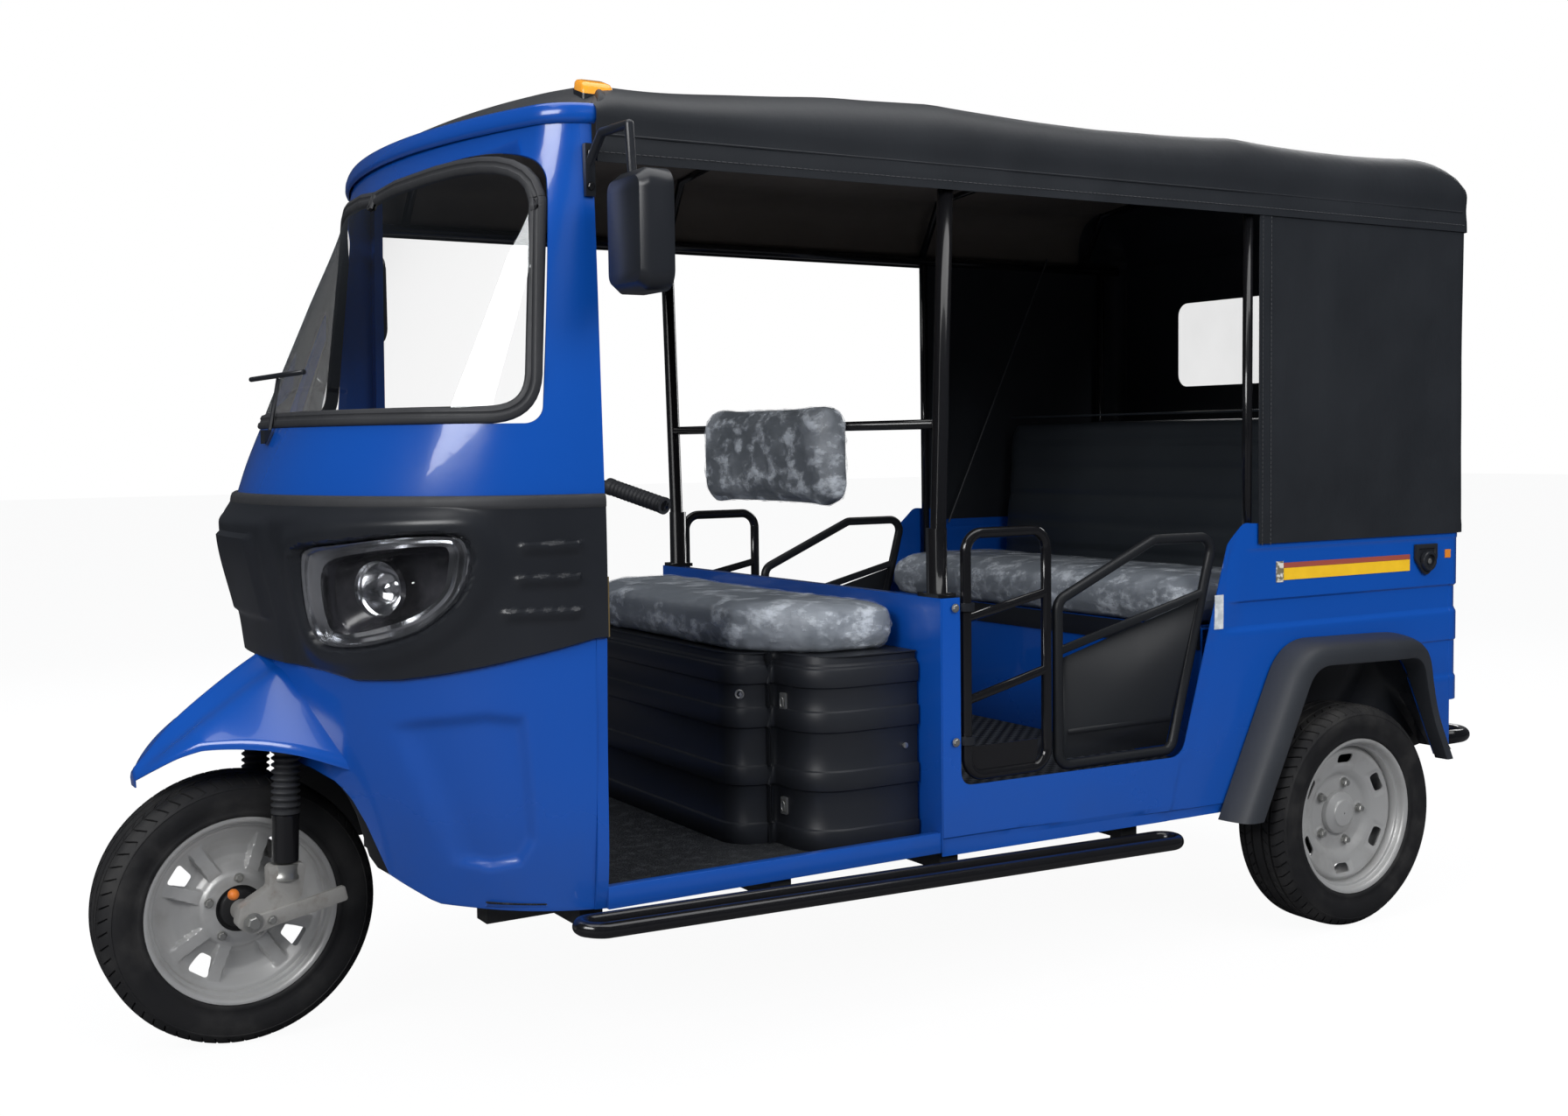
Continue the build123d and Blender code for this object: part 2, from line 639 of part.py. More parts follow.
with BuildPart() as rear_panel:
    add(body_cut.part)
    split(bisect_by=Plane.YZ.offset(REAR_SPLIT), keep=Keep.BOTTOM)
    split(bisect_by=Plane.XY.offset(RAIL_TOP + RAIL_KICK + 5), keep=Keep.TOP)
write(rear_panel.part, "rear_panel")

BULKHEAD_ROLL = 11.0
with BuildPart() as bulkhead:
    with BuildSketch(Plane.YZ.offset(BULKHEAD_X - SHEET)):
        with Locations((0, (FLOOR_UNDER + BULKHEAD_TOP) / 2)):
            Rectangle(2 * BODY_FRONT_HALF, BULKHEAD_TOP - FLOOR_UNDER)
    extrude(amount=SHEET)
    with Locations((BULKHEAD_X - BULKHEAD_ROLL - SHEET, 0, BULKHEAD_TOP - SHEET / 2)):
        Box(2 * BULKHEAD_ROLL, 2 * BODY_INNER - 30, SHEET)
write(bulkhead.part, "bulkhead")

HOUSE_IN = 535.0
with BuildPart() as wheelhouse:
    add(arch_block(0.0, HOUSE_IN, BODY_HALF - SHEET / 2))
    add(arch_block(-SHEET, HOUSE_IN + SHEET, SIDE), mode=Mode.SUBTRACT)
    add(bar((REAR_AXLE_X, HOUSE_IN - 9, AXLE_Z), (REAR_AXLE_X, HOUSE_IN + 9, AXLE_Z), 62), mode=Mode.SUBTRACT)
    split(bisect_by=Plane.XY.offset(ARCH_OUTLINE[1][1]), keep=Keep.TOP)

FLARE_OUT = 712.0
FLARE_WIDTH = 46.0
with BuildPart() as flare:
    add(arch_block(FLARE_WIDTH, BODY_HALF + GAP, FLARE_OUT))
    add(arch_block(0.0, BODY_HALF - 20, FLARE_OUT + 20), mode=Mode.SUBTRACT)
    add(arch_block(FLARE_WIDTH - 5, BODY_HALF - 20, FLARE_OUT - 5), mode=Mode.SUBTRACT)
    add(arch_block(5.0, BODY_HALF + GAP, FLARE_OUT))
    add(arch_block(0.0, BODY_HALF - 20, FLARE_OUT + 20), mode=Mode.SUBTRACT)
write(both_sides(flare.part), "arch_flares")

# ---------------------------------------------------------------- seats
BOX_TOP = 700.0
BOX_FRONT = BULKHEAD_X + 345.0
BOX_VALLEY = BULKHEAD_X + 258.0
BOX_MID_HALF = 385.0
BOX_HALF = 535.0
BOX_BACK = BULKHEAD_X + 6.0
BOX_MID_R, BOX_SIDE_R = 82.0, 120.0


def box_plan(inset):
    """Plan of the driver's seat box: a middle bulge and two lower ones beside it."""
    front, valley, mid, half = BOX_FRONT - inset, BOX_VALLEY - inset, BOX_MID_HALF - inset, BOX_HALF - inset
    with BuildSketch() as plan:
        with BuildLine():
            Polyline((BOX_BACK, 0), (BOX_BACK, half), (valley, half), (valley, mid), (front, mid), (front, 0),
                     close=True)
        make_face()
        fillet(plan.vertices().group_by(Axis.X)[-1].sort_by(Axis.Y)[-1], BOX_MID_R - inset)
        fillet(plan.vertices().group_by(Axis.Y)[-1].sort_by(Axis.X)[-1], BOX_SIDE_R - inset)
        mirror(about=Plane.XZ)
    return plan.sketch


BOX_RIBS = [400.0, 480.0, 560.0, 640.0]
BOX_RIB_DEPTH = 6.0
BOX_BASE = FLOOR_UNDER + FLOOR_PLATE + MAT
with BuildPart() as seat_box:
    with BuildSketch(Plane.XY.offset(BOX_BASE)):
        add(box_plan(0.0))
    extrude(amount=BOX_TOP - BOX_BASE)
    for height in BOX_RIBS:
        with BuildSketch(Plane.XY.offset(height)):
            add(box_plan(-5.0))
            add(box_plan(BOX_RIB_DEPTH), mode=Mode.SUBTRACT)
        extrude(amount=9, mode=Mode.SUBTRACT)
    with BuildSketch(Plane.XY.offset(BOX_BASE)):
        add(box_plan(14.0))
    extrude(amount=BOX_TOP - BOX_BASE - 12, mode=Mode.SUBTRACT)
write(seat_box.part, "driver_seat_box")

CUSHION = 92.0
with BuildPart() as driver_cushion:
    with BuildSketch(Plane.XY.offset(BOX_TOP + GAP)) as plan:
        with BuildLine():
            Polyline((BOX_BACK + 4, -505), (BOX_BACK + 4, 505), (BOX_FRONT - 130, 505), (BOX_FRONT + 4, 330),
                     (BOX_FRONT + 4, -330), (BOX_FRONT - 130, -505), close=True)
        make_face()
        fillet(plan.vertices().group_by(Axis.X)[1:], 70)
    extrude(amount=CUSHION)
    fillet(driver_cushion.faces().sort_by(Axis.Z)[-1].edges(), 24)
write(driver_cushion.part, "driver_cushion")

BAR_Z = 1152.0
BAR_R = 10.0
pad_x = PILLAR_X + 52.0
PAD_DEPTH = 72.0
with BuildPart() as backrest:
    with Locations((pad_x, 0, 1090)):
        Box(PAD_DEPTH, 570, 225)
    fillet(backrest.edges().filter_by(Axis.X), 55)
    fillet(backrest.faces().sort_by(Axis.X)[-1].edges(), 22)
write(backrest.part, "driver_backrest")


BENCH_TOP = 700.0
BENCH_BACK = REAR_AXLE_X - 400.0
with BuildPart() as bench_base:
    with Locations((BENCH_FRONT - SHEET / 2, 0, (CABIN_FLOOR - SHEET + BENCH_TOP) / 2)):
        Box(SHEET, 2 * BODY_INNER, BENCH_TOP - CABIN_FLOOR + SHEET)
    with Locations(((BENCH_FRONT + BENCH_BACK) / 2, 0, BENCH_TOP - SHEET / 2)):
        Box(BENCH_FRONT - BENCH_BACK, 2 * BODY_INNER, SHEET)

with BuildPart() as bench_cushion:
    with Locations((REAR_AXLE_X + 238, 0, BENCH_TOP + GAP + 55)):
        Box(400, 2 * BODY_INNER - 20, 110)
    fillet(bench_cushion.faces().sort_by(Axis.X)[-1].edges(), 32)
write(bench_cushion.part, "bench_cushion")

bench_back_outline = [
    (REAR_AXLE_X + 30, BENCH_TOP + GAP), (REAR_AXLE_X - 10, 1180), (REAR_AXLE_X - 85, 1180),
    (REAR_AXLE_X - 60, BENCH_TOP + GAP)]
write(side_block(bench_back_outline, -BODY_INNER + 10, BODY_INNER - 10, 18), "bench_backrest")

with BuildPart() as bench_frame:
    add(bench_base.part)
    for y in (-400, 0, 400):
        add(bar((REAR_AXLE_X - 400, y, BENCH_TOP), (REAR_AXLE_X - 98, y, 1150), 12))
        add(bar((REAR_AXLE_X - 74, y, BENCH_TOP), (REAR_AXLE_X - 98, y, 1150), 11))
write(bench_frame.part, "bench_frame")

# ---------------------------------------------------------------- roof frame and canopy
VINYL = 4.0
CANOPY_HALF_FRONT = 608.0
CURTAIN_WALL = 2.5
CANOPY_HALF_BACK = BODY_HALF + 2 * GAP + CURTAIN_WALL + VINYL
CANOPY_FRONT = POST_X - 2.0
CANOPY_BACK = BODY_BACK - 2 * GAP - CURTAIN_WALL - VINYL
SHOULDER_Z = 1690.0
SHOULDER_IN = 112.0
SHOULDER_TOP = 1788.0
TAPER_LENGTH = CANOPY_FRONT - BODY_TAPER_END


def canopy_half(x):
    """Outer half width of the canopy, which widens as far as the passenger body does."""
    share = min(1.0, (CANOPY_FRONT - x) / TAPER_LENGTH)
    return CANOPY_HALF_FRONT + (CANOPY_HALF_BACK - CANOPY_HALF_FRONT) * share


def canopy_section(half, inset):
    """Roof outline across the car, drawn in by `inset`."""
    side, top = half - inset, ROOF_TOP - inset
    round_in = half - SHOULDER_IN
    with BuildSketch() as section:
        with BuildLine():
            Line((-side, ROOF_HEM - 1), (side, ROOF_HEM - 1))
            Line((side, ROOF_HEM - 1), (side, SHOULDER_Z))
            ThreePointArc((side, SHOULDER_Z), (side - 31, SHOULDER_Z + 69 - inset * 0.7),
                          (round_in, SHOULDER_TOP - inset))
            ThreePointArc((round_in, SHOULDER_TOP - inset), (0, top), (-round_in, SHOULDER_TOP - inset))
            ThreePointArc((-round_in, SHOULDER_TOP - inset), (31 - side, SHOULDER_Z + 69 - inset * 0.7),
                          (-side, SHOULDER_Z))
            Line((-side, SHOULDER_Z), (-side, ROOF_HEM - 1))
        make_face()
    return section.sketch


def canopy_form(inset):
    """Solid under the canopy's skin, with the rounded back edge and the sloping front edge."""
    stations = (CANOPY_BACK - 40, BODY_TAPER_END, CANOPY_FRONT)
    sections = [(x, canopy_section(canopy_half(x), inset)) for x in stations]
    back = CANOPY_BACK + inset
    outline = [
        (back, ROOF_HEM - 1), (back, ROOF_TOP + 5), (CANOPY_FRONT - 33, ROOF_TOP + 5),
        (CANOPY_FRONT - 33, ROOF_TOP - 4), (CANOPY_FRONT, ROOF_TOP - 24 - inset), (CANOPY_FRONT, ROOF_HEM - 1)]
    with BuildPart() as trim:
        with BuildSketch(Plane.XZ) as sketch:
            with BuildLine():
                Polyline(*outline, close=True)
            make_face()
            fillet(sketch.vertices().group_by(Axis.X)[0].sort_by(Axis.Y)[-1], ROOF_BACK_R - inset)
        extrude(amount=SIDE, both=True)
    with BuildPart() as form:
        for x, section in sections:
            with BuildSketch(Plane.YZ.offset(x)):
                add(section)
        loft(ruled=True)
        add(trim.part, mode=Mode.INTERSECT)
    return form.part


ROOF_BACK_R = 120.0
canopy_inside = canopy_form(VINYL)
with BuildPart() as canopy:
    add(canopy_form(0.0))
    add(canopy_inside, mode=Mode.SUBTRACT)
    split(bisect_by=Plane.XY.offset(ROOF_HEM), keep=Keep.TOP)

VISOR_TIP = POST_X + 150.0
visor_outline = [
    (POST_X, CAB_TOP + GAP), (POST_X, ROOF_TOP - 24), (VISOR_TIP + 30, CAB_TOP + 2),
    (VISOR_TIP + 30, CAB_TOP + GAP)]
visor_nose, visor_half, visor_front_r, visor_corner_r = CAB_SECTIONS[-1][1:]
VISOR_OVER = 10.0
visor_plan = cab_outline(POST_X + visor_nose + VISOR_OVER, visor_half + VISOR_OVER,
                         visor_front_r + VISOR_OVER, visor_corner_r + VISOR_OVER)
visor_section = canopy_section(CANOPY_HALF_FRONT - 6, 0.0)
with BuildPart() as visor:
    with BuildSketch(Plane.XY.offset(CAB_TOP + GAP)):
        add(visor_plan)
    extrude(amount=ROOF_TOP - CAB_TOP)
    add(side_block(visor_outline, -SIDE, SIDE), mode=Mode.INTERSECT)
    with BuildSketch(Plane.YZ.offset(POST_X)):
        add(visor_section)
    extrude(amount=300, mode=Mode.INTERSECT)
with BuildPart() as canopy_cover:
    add(canopy.part)
    add(visor.part)
write(canopy_cover.part, "canopy")

TUBE_R = 13.0
ROOF_RAIL_Z = 1622.0
RAIL_IN = 26.0                       # middle of the roof rail, inside the canopy's side


def roof_rail_y(x):
    """Middle of the roof rail at a station."""
    return canopy_half(x) - RAIL_IN


rail_front, rail_back = POST_X - 6, CANOPY_BACK + VINYL + 18
rail_route = [(x, roof_rail_y(x), ROOF_RAIL_Z) for x in (rail_front, BODY_TAPER_END, rail_back)]
write(both_sides(tube_run(rail_route, TUBE_R, 900)), "roof_rails")

BOW_X = [POST_X - 60, PILLAR_X, REAR_AXLE_X + 262, REAR_AXLE_X - 330]
BOW_R = 10.0
with BuildPart() as roof_bows:
    for x in BOW_X:
        half = canopy_half(x)
        drop = VINYL + GAP + BOW_R
        side_y = half - SHOULDER_IN
        with BuildLine(Plane.YZ.offset(x)) as path:
            ThreePointArc((-side_y, SHOULDER_TOP - drop), (0, ROOF_TOP - drop), (side_y, SHOULDER_TOP - drop))
        with BuildSketch(Plane(origin=path.wire() @ 0, z_dir=path.wire() % 0)):
            Circle(BOW_R)
        sweep()
        for side in (-1, 1):
            add(bar((x, side * (side_y - 2), SHOULDER_TOP - drop - 1),
                    (x, side * (roof_rail_y(x) - 6), ROOF_RAIL_Z + TUBE_R - 1), BOW_R))
write(roof_bows.part, "roof_bows")

pillar_top_y = roof_rail_y(PILLAR_X)
SLEEVE_R, SLEEVE_TOP = 21.0, 945.0
PILLAR_TOP = ROOF_RAIL_Z - TUBE_R - GAP
pillar_foot = (PILLAR_X, PILLAR_Y, BULKHEAD_TOP + 2)
with BuildPart() as pillar:
    add(bar(pillar_foot, (PILLAR_X, pillar_top_y, PILLAR_TOP), PILLAR_R))
    with Locations((PILLAR_X, PILLAR_Y, (BULKHEAD_TOP + SLEEVE_TOP) / 2)):
        Cylinder(SLEEVE_R, SLEEVE_TOP - BULKHEAD_TOP)
    with Locations((PILLAR_X, PILLAR_Y, BULKHEAD_TOP + 4)):
        Box(44, 70, 8)

REAR_POST_X = [REAR_AXLE_X + 255, REAR_AXLE_X - 400]
REAR_POST_IN = 22.0
with BuildPart() as roof_post:
    add(pillar.part)
    for x in REAR_POST_X:
        add(bar((x, BODY_HALF - REAR_POST_IN, BENCH_TOP), (x, roof_rail_y(x), PILLAR_TOP), 11))
write(both_sides(roof_post.part), "roof_posts")


def pillar_y(height):
    """Middle of the leaning centre pillar at a height above the ground."""
    share = (height - pillar_foot[2]) / (PILLAR_TOP - pillar_foot[2])
    return PILLAR_Y + (pillar_top_y - PILLAR_Y) * share


BRACKET_PLATE = 8.0
bar_end = pillar_y(BAR_Z - BAR_R) - PILLAR_R - GAP
with BuildPart() as backrest_bar:
    add(bar((PILLAR_X, -bar_end, BAR_Z), (PILLAR_X, bar_end, BAR_Z), BAR_R))
    for y in (-180, 180):
        with Locations((pad_x - PAD_DEPTH / 2 - GAP - BRACKET_PLATE / 2, y, BAR_Z - 20)):
            Box(BRACKET_PLATE, 40, 120)
write(backrest_bar.part, "backrest_bar")

CURTAIN_FRONT = REAR_AXLE_X + 242.0
CURTAIN_LOW = 882.0
CURTAIN_OUT = CANOPY_HALF_BACK - VINYL - GAP
CURTAIN_REAR = BODY_BACK - GAP - CURTAIN_WALL
with BuildPart() as side_curtain:
    with Locations(((CURTAIN_FRONT + BODY_BACK + 40) / 2, CURTAIN_OUT - CURTAIN_WALL / 2,
                    (CURTAIN_LOW + ROOF_HEM + 12) / 2)):
        Box(CURTAIN_FRONT - BODY_BACK - 40, CURTAIN_WALL, ROOF_HEM + 12 - CURTAIN_LOW)

WINDOW_HALF, WINDOW_LOW, WINDOW_HIGH, WINDOW_R = 368.0, 1268.0, 1508.0, 36.0
FILM = 0.8
back_y = CURTAIN_OUT - 30
with BuildPart() as rear_curtain:
    with BuildSketch(Plane.YZ.offset(CURTAIN_REAR)):
        with Locations((0, (CURTAIN_LOW + ROOF_HEM + 30) / 2)):
            Rectangle(2 * back_y, ROOF_HEM + 30 - CURTAIN_LOW)
        with Locations((0, (WINDOW_LOW + WINDOW_HIGH) / 2)):
            RectangleRounded(2 * WINDOW_HALF, WINDOW_HIGH - WINDOW_LOW, WINDOW_R, mode=Mode.SUBTRACT)
    extrude(amount=CURTAIN_WALL)
with BuildPart() as curtains:
    add(both_sides(side_curtain.part))
    add(rear_curtain.part)
write(curtains.part, "curtains")

with BuildPart() as rear_window:
    with BuildSketch(Plane.YZ.offset(CURTAIN_REAR - GAP - FILM)):
        with Locations((0, (WINDOW_LOW + WINDOW_HIGH) / 2)):
            RectangleRounded(2 * WINDOW_HALF + 24, WINDOW_HIGH - WINDOW_LOW + 24, WINDOW_R + 12)
    extrude(amount=FILM)
write(rear_window.part, "rear_window")

# ---------------------------------------------------------------- bumper, lamps, mirrors, port
BUMPER_R = 17.0
BUMPER_Z = 362.0
bumper_x = REAR_AXLE_X - REAR_OVERHANG + BUMPER_R
bumper_plate = [
    (bumper_x, BUMPER_Z - 10), (bumper_x, BUMPER_Z + 10), (FRAME_BACK - 6, RAIL_TOP + RAIL_KICK),
    (FRAME_BACK, RAIL_TOP + RAIL_KICK), (FRAME_BACK, RAIL_TOP + RAIL_KICK - RAIL_DEPTH)]
with BuildPart() as bumper:
    add(tube_run([(BODY_BACK - 4, -560, BUMPER_Z), (bumper_x, -560, BUMPER_Z), (bumper_x, 560, BUMPER_Z),
                  (BODY_BACK - 4, 560, BUMPER_Z)], BUMPER_R, 58))
    for y in (-RAIL_Y, RAIL_Y):
        add(side_block(bumper_plate, y - 5, y + 5))
write(bumper.part, "rear_bumper")

with BuildPart() as tail_lamp:
    with Locations((BODY_BACK - 14, 525, 640)):
        Box(28, 86, 150)
    fillet(tail_lamp.faces().sort_by(Axis.X)[0].edges(), 10)
write(both_sides(tail_lamp.part), "tail_lamps")

with BuildPart() as marker:
    with Locations((POST_X - 52, 500, SHOULDER_TOP + 10)):
        Box(62, 46, 40)
    fillet(marker.faces().sort_by(Axis.Z)[-1].edges(), 8)
    add(canopy_form(0.0), mode=Mode.SUBTRACT)
write(both_sides(marker.part), "marker_lamps")

MIRROR_X, MIRROR_Y, MIRROR_Z = POST_X - 12.0, 742.0, 1470.0
MIRROR_W, MIRROR_H, MIRROR_D = 150.0, 200.0, 56.0
MIRROR_CROWN = 18.0                  # bevelled front of the housing
with BuildPart() as mirror_shell:
    with BuildSketch(Plane.YZ.offset(MIRROR_X - MIRROR_D / 2)):
        with Locations((MIRROR_Y, MIRROR_Z)):
            RectangleRounded(MIRROR_W, MIRROR_H, 34)
    extrude(amount=MIRROR_D - MIRROR_CROWN)
    with BuildSketch(Plane.YZ.offset(MIRROR_X + MIRROR_D / 2 - MIRROR_CROWN)):
        with Locations((MIRROR_Y, MIRROR_Z)):
            RectangleRounded(MIRROR_W, MIRROR_H, 34)
    extrude(amount=MIRROR_CROWN, taper=38)

with BuildPart() as mirror_glass:
    with BuildSketch(Plane.YZ.offset(MIRROR_X - MIRROR_D / 2 - 3)):
        with Locations((MIRROR_Y, MIRROR_Z)):
            RectangleRounded(MIRROR_W - 16, MIRROR_H - 16, 24)
    extrude(amount=3)
write(both_sides(mirror_glass.part), "mirror_glass")

ARM_R = 8.0
ARM_Z = 1600.0
arm_route = [
    (POST_X + 10, 598, ARM_Z), (POST_X + 4, 640, ARM_Z + 48), (MIRROR_X, 712, ARM_Z + 52),
    (MIRROR_X, 722, MIRROR_Z + MIRROR_H / 2 - 6)]
with BuildPart() as mirror_arm:
    for start, end in zip(arm_route, arm_route[1:]):
        add(bar(start, end, ARM_R))
    with Locations(arm_route[1], arm_route[2]):
        Sphere(ARM_R)
    with Locations((POST_X + 10, 598, ARM_Z - 10)):
        Box(18, 12, 90)
    add(cab_outer, mode=Mode.SUBTRACT)
    add(mirror_shell.part)
write(both_sides(mirror_arm.part), "mirrors")

PORT_X, PORT_Z = REAR_AXLE_X - 324.0, 818.0
with BuildPart() as port:
    with BuildSketch(Plane(origin=(PORT_X, BODY_HALF, PORT_Z), z_dir=(0, 1, 0))):
        Circle(27)
    extrude(amount=6)
    with BuildSketch(Plane(origin=(PORT_X, BODY_HALF + 6, PORT_Z), z_dir=(0, 1, 0))):
        Circle(18)
    extrude(amount=10)
    fillet(port.faces().sort_by(Axis.Y)[-1].edges(), 4)
write(port.part, "charge_port")

# ---------------------------------------------------------------- wheels
BEAD_HALF = 57.0
RIM_HALF = 64.0
RIM_WALL = 6.0
AXLE_R = 12.0
STUB_R = 20.0


def revolved(x, y, points):
    """Ring round a wheel's axle: outline points are (radius, offset along the axle)."""
    with BuildPart() as ring:
        with BuildSketch(Plane(origin=(x, y, AXLE_Z))):
            with BuildLine():
                Polyline(*points, close=True)
            make_face()
        revolve(axis=Axis((x, y, AXLE_Z), (0, 1, 0)))
    return ring.part


def tyre(x, y):
    """Radial tyre with rounded shoulders and bulging walls."""
    wall_r, bulge_r, shoulder_r = RIM_FLANGE_R, (RIM_FLANGE_R + TYRE_R) / 2, TYRE_R - 12
    tread, half = TYRE_WIDTH / 2 - 22, TYRE_WIDTH / 2
    with BuildPart() as ring:
        with BuildSketch(Plane(origin=(x, y, AXLE_Z))):
            with BuildLine():
                Line((BEAD_R, -BEAD_HALF), (BEAD_R, BEAD_HALF))
                Line((BEAD_R, BEAD_HALF), (wall_r, BEAD_HALF))
                ThreePointArc((wall_r, BEAD_HALF), (bulge_r, half), (shoulder_r, tread + 12))
                Line((shoulder_r, tread + 12), (TYRE_R, tread))
                Line((TYRE_R, tread), (TYRE_R, -tread))
                Line((TYRE_R, -tread), (shoulder_r, -tread - 12))
                ThreePointArc((shoulder_r, -tread - 12), (bulge_r, -half), (wall_r, -BEAD_HALF))
                Line((wall_r, -BEAD_HALF), (BEAD_R, -BEAD_HALF))
            make_face()
        revolve(axis=Axis((x, y, AXLE_Z), (0, 1, 0)))
    return ring.part


def rim_ring(x, y):
    """Rim barrel with its two flanges."""
    seat, inner, flange = BEAD_R - GAP, BEAD_R - RIM_WALL, BEAD_HALF + GAP
    return revolved(x, y, [
        (inner, -RIM_HALF), (RIM_FLANGE_R, -RIM_HALF), (RIM_FLANGE_R, -flange), (seat, -flange),
        (seat, flange), (RIM_FLANGE_R, flange), (RIM_FLANGE_R, RIM_HALF), (inner, RIM_HALF)])


RIB_COUNT = 7
FRONT_DISC = [
    (BEAD_R - RIM_WALL + 1, 36), (138, 18), (74, 18), (56, 38), (AXLE_R + RUNNING, 38),
    (AXLE_R + RUNNING, -40), (46, -40), (46, 26), (70, 11), (138, 11), (BEAD_R - RIM_WALL + 1, 28)]
front_hub_plane = Plane(origin=(FRONT_AXLE_X, 0, AXLE_Z), z_dir=(0, 1, 0), x_dir=(1, 0, 0))
with BuildPart() as front_rim:
    add(rim_ring(FRONT_AXLE_X, 0))
    add(revolved(FRONT_AXLE_X, 0, FRONT_DISC))
    with BuildSketch(front_hub_plane.offset(14)):
        with PolarLocations(106, RIB_COUNT):
            Rectangle(76, 26)
    extrude(amount=16)
    with BuildSketch(front_hub_plane):
        with PolarLocations(118, RIB_COUNT, start_angle=180 / RIB_COUNT):
            Trapezoid(44, 34, 70, rotation=90)
    extrude(amount=50, mode=Mode.SUBTRACT)
    with BuildSketch(front_hub_plane.offset(38)):
        with PolarLocations(44, 5):
            Circle(7)
    extrude(amount=9)
write(front_rim.part, "front_rim")
write(tyre(FRONT_AXLE_X, 0), "front_tyre")

REAR_DISC = [
    (BEAD_R - RIM_WALL + 1, 30), (140, 34), (118, 24), (70, -4), (66, 8), (STUB_R + RUNNING, 8),
    (STUB_R + RUNNING, -52), (52, -52), (52, -4), (64, -12), (114, 15), (140, 27), (BEAD_R - RIM_WALL + 1, 22)]
SLOT_COUNT, SLOT_R = 8, 130.0
LUG_COUNT, LUG_PITCH_R = 5, 49.0
left_plane = Plane(origin=(REAR_AXLE_X, REAR_WHEEL_Y, AXLE_Z), z_dir=(0, 1, 0), x_dir=(1, 0, 0))
with BuildPart() as rear_rim:
    add(rim_ring(REAR_AXLE_X, REAR_WHEEL_Y))
    add(revolved(REAR_AXLE_X, REAR_WHEEL_Y, REAR_DISC))
    with BuildSketch(left_plane):
        with PolarLocations(SLOT_R, SLOT_COUNT):
            SlotOverall(30, 15, rotation=90)
    extrude(amount=60, mode=Mode.SUBTRACT)
    with BuildSketch(left_plane.offset(8)):
        with PolarLocations(LUG_PITCH_R, LUG_COUNT):
            RegularPolygon(9, 6)
    extrude(amount=16)
    with BuildSketch(left_plane.offset(8)):
        Circle(32)
        Circle(STUB_R + 6, mode=Mode.SUBTRACT)
    extrude(amount=18)
    with BuildSketch(left_plane.offset(26)):
        Circle(32)
    extrude(amount=5)
left_tyre = tyre(REAR_AXLE_X, REAR_WHEEL_Y)
with BuildPart() as right_rim:
    mirror(rear_rim.part, about=Plane.XZ)
with BuildPart() as right_tyre:
    mirror(left_tyre, about=Plane.XZ)
write(rear_rim.part, "rear_left_rim")
write(left_tyre, "rear_left_tyre")
write(right_rim.part, "rear_right_rim")
write(right_tyre.part, "rear_right_tyre")

# ---------------------------------------------------------------- rear axle and springs
AXLE_TUBE_R = 34.0
PLATE_Y = 578.0
MOTOR_R, MOTOR_LENGTH = 92.0, 250.0
with BuildPart() as rear_axle:
    add(bar((REAR_AXLE_X, -PLATE_Y, AXLE_Z), (REAR_AXLE_X, PLATE_Y, AXLE_Z), AXLE_TUBE_R))
    add(bar((REAR_AXLE_X, -REAR_WHEEL_Y - 20, AXLE_Z), (REAR_AXLE_X, REAR_WHEEL_Y + 20, AXLE_Z), STUB_R))
    add(bar((REAR_AXLE_X, -80, AXLE_Z), (REAR_AXLE_X, 80, AXLE_Z), MOTOR_R + 8))
    add(bar((REAR_AXLE_X, 40, AXLE_Z), (REAR_AXLE_X + MOTOR_LENGTH, 40, AXLE_Z + 20), MOTOR_R - 12))
    for side in (-1, 1):
        add(bar((REAR_AXLE_X, side * (PLATE_Y - 10), AXLE_Z), (REAR_AXLE_X, side * PLATE_Y, AXLE_Z), 108))

SPRING_Y = RAIL_Y
SPRING_HALF = 276.0
LEAF = 8.0
LEAF_WIDTH = 50.0
LEAF_BASE = AXLE_Z + AXLE_TUBE_R
HANGER_IN = 32.0                     # middle of a spring hanger, in from the leaf's end
leaf_rows = [(0, SPRING_HALF), (1, 205.0), (2, 130.0)]
with BuildPart() as spring:
    for row, half in leaf_rows:
        low = LEAF_BASE + (2 - row) * LEAF
        with Locations((REAR_AXLE_X, SPRING_Y, low + LEAF / 2)):
            Box(2 * half, LEAF_WIDTH, LEAF)
    for x in (REAR_AXLE_X - SPRING_HALF + HANGER_IN, REAR_AXLE_X + SPRING_HALF - HANGER_IN):
        with Locations((x, SPRING_Y, (LEAF_BASE + 3 * LEAF + RAIL_TOP + RAIL_KICK - RAIL_DEPTH) / 2)):
            Box(24, 30, RAIL_TOP + RAIL_KICK - RAIL_DEPTH - LEAF_BASE - 3 * LEAF)
with BuildPart() as axle_set:
    add(rear_axle.part)
    add(both_sides(spring.part))
write(axle_set.part, "rear_axle")

# ---------------------------------------------------------------- steering
LEG_TOP_X, LEG_LOW_X = FRONT_AXLE_X - 76.0, FRONT_AXLE_X - 68.0
CROWN_LOW, CROWN_HIGH = 578.0, 604.0
CYL_LOW, CYL_HIGH = 347.0, 440.0
crown_x = steer_point(CROWN_LOW)[0]
with BuildPart() as crown:
    with BuildSketch(Plane.XY.offset(CROWN_LOW)) as plan:
        with BuildLine():
            Polyline((crown_x - 46, -38), (crown_x - 46, 38), (LEG_TOP_X - 12, FORK_HALF + 26),
                     (LEG_TOP_X + 26, FORK_HALF + 26), (LEG_TOP_X + 26, -FORK_HALF - 26),
                     (LEG_TOP_X - 12, -FORK_HALF - 26), close=True)
        make_face()
        fillet(plan.vertices(), 16)
    extrude(amount=CROWN_HIGH - CROWN_LOW)

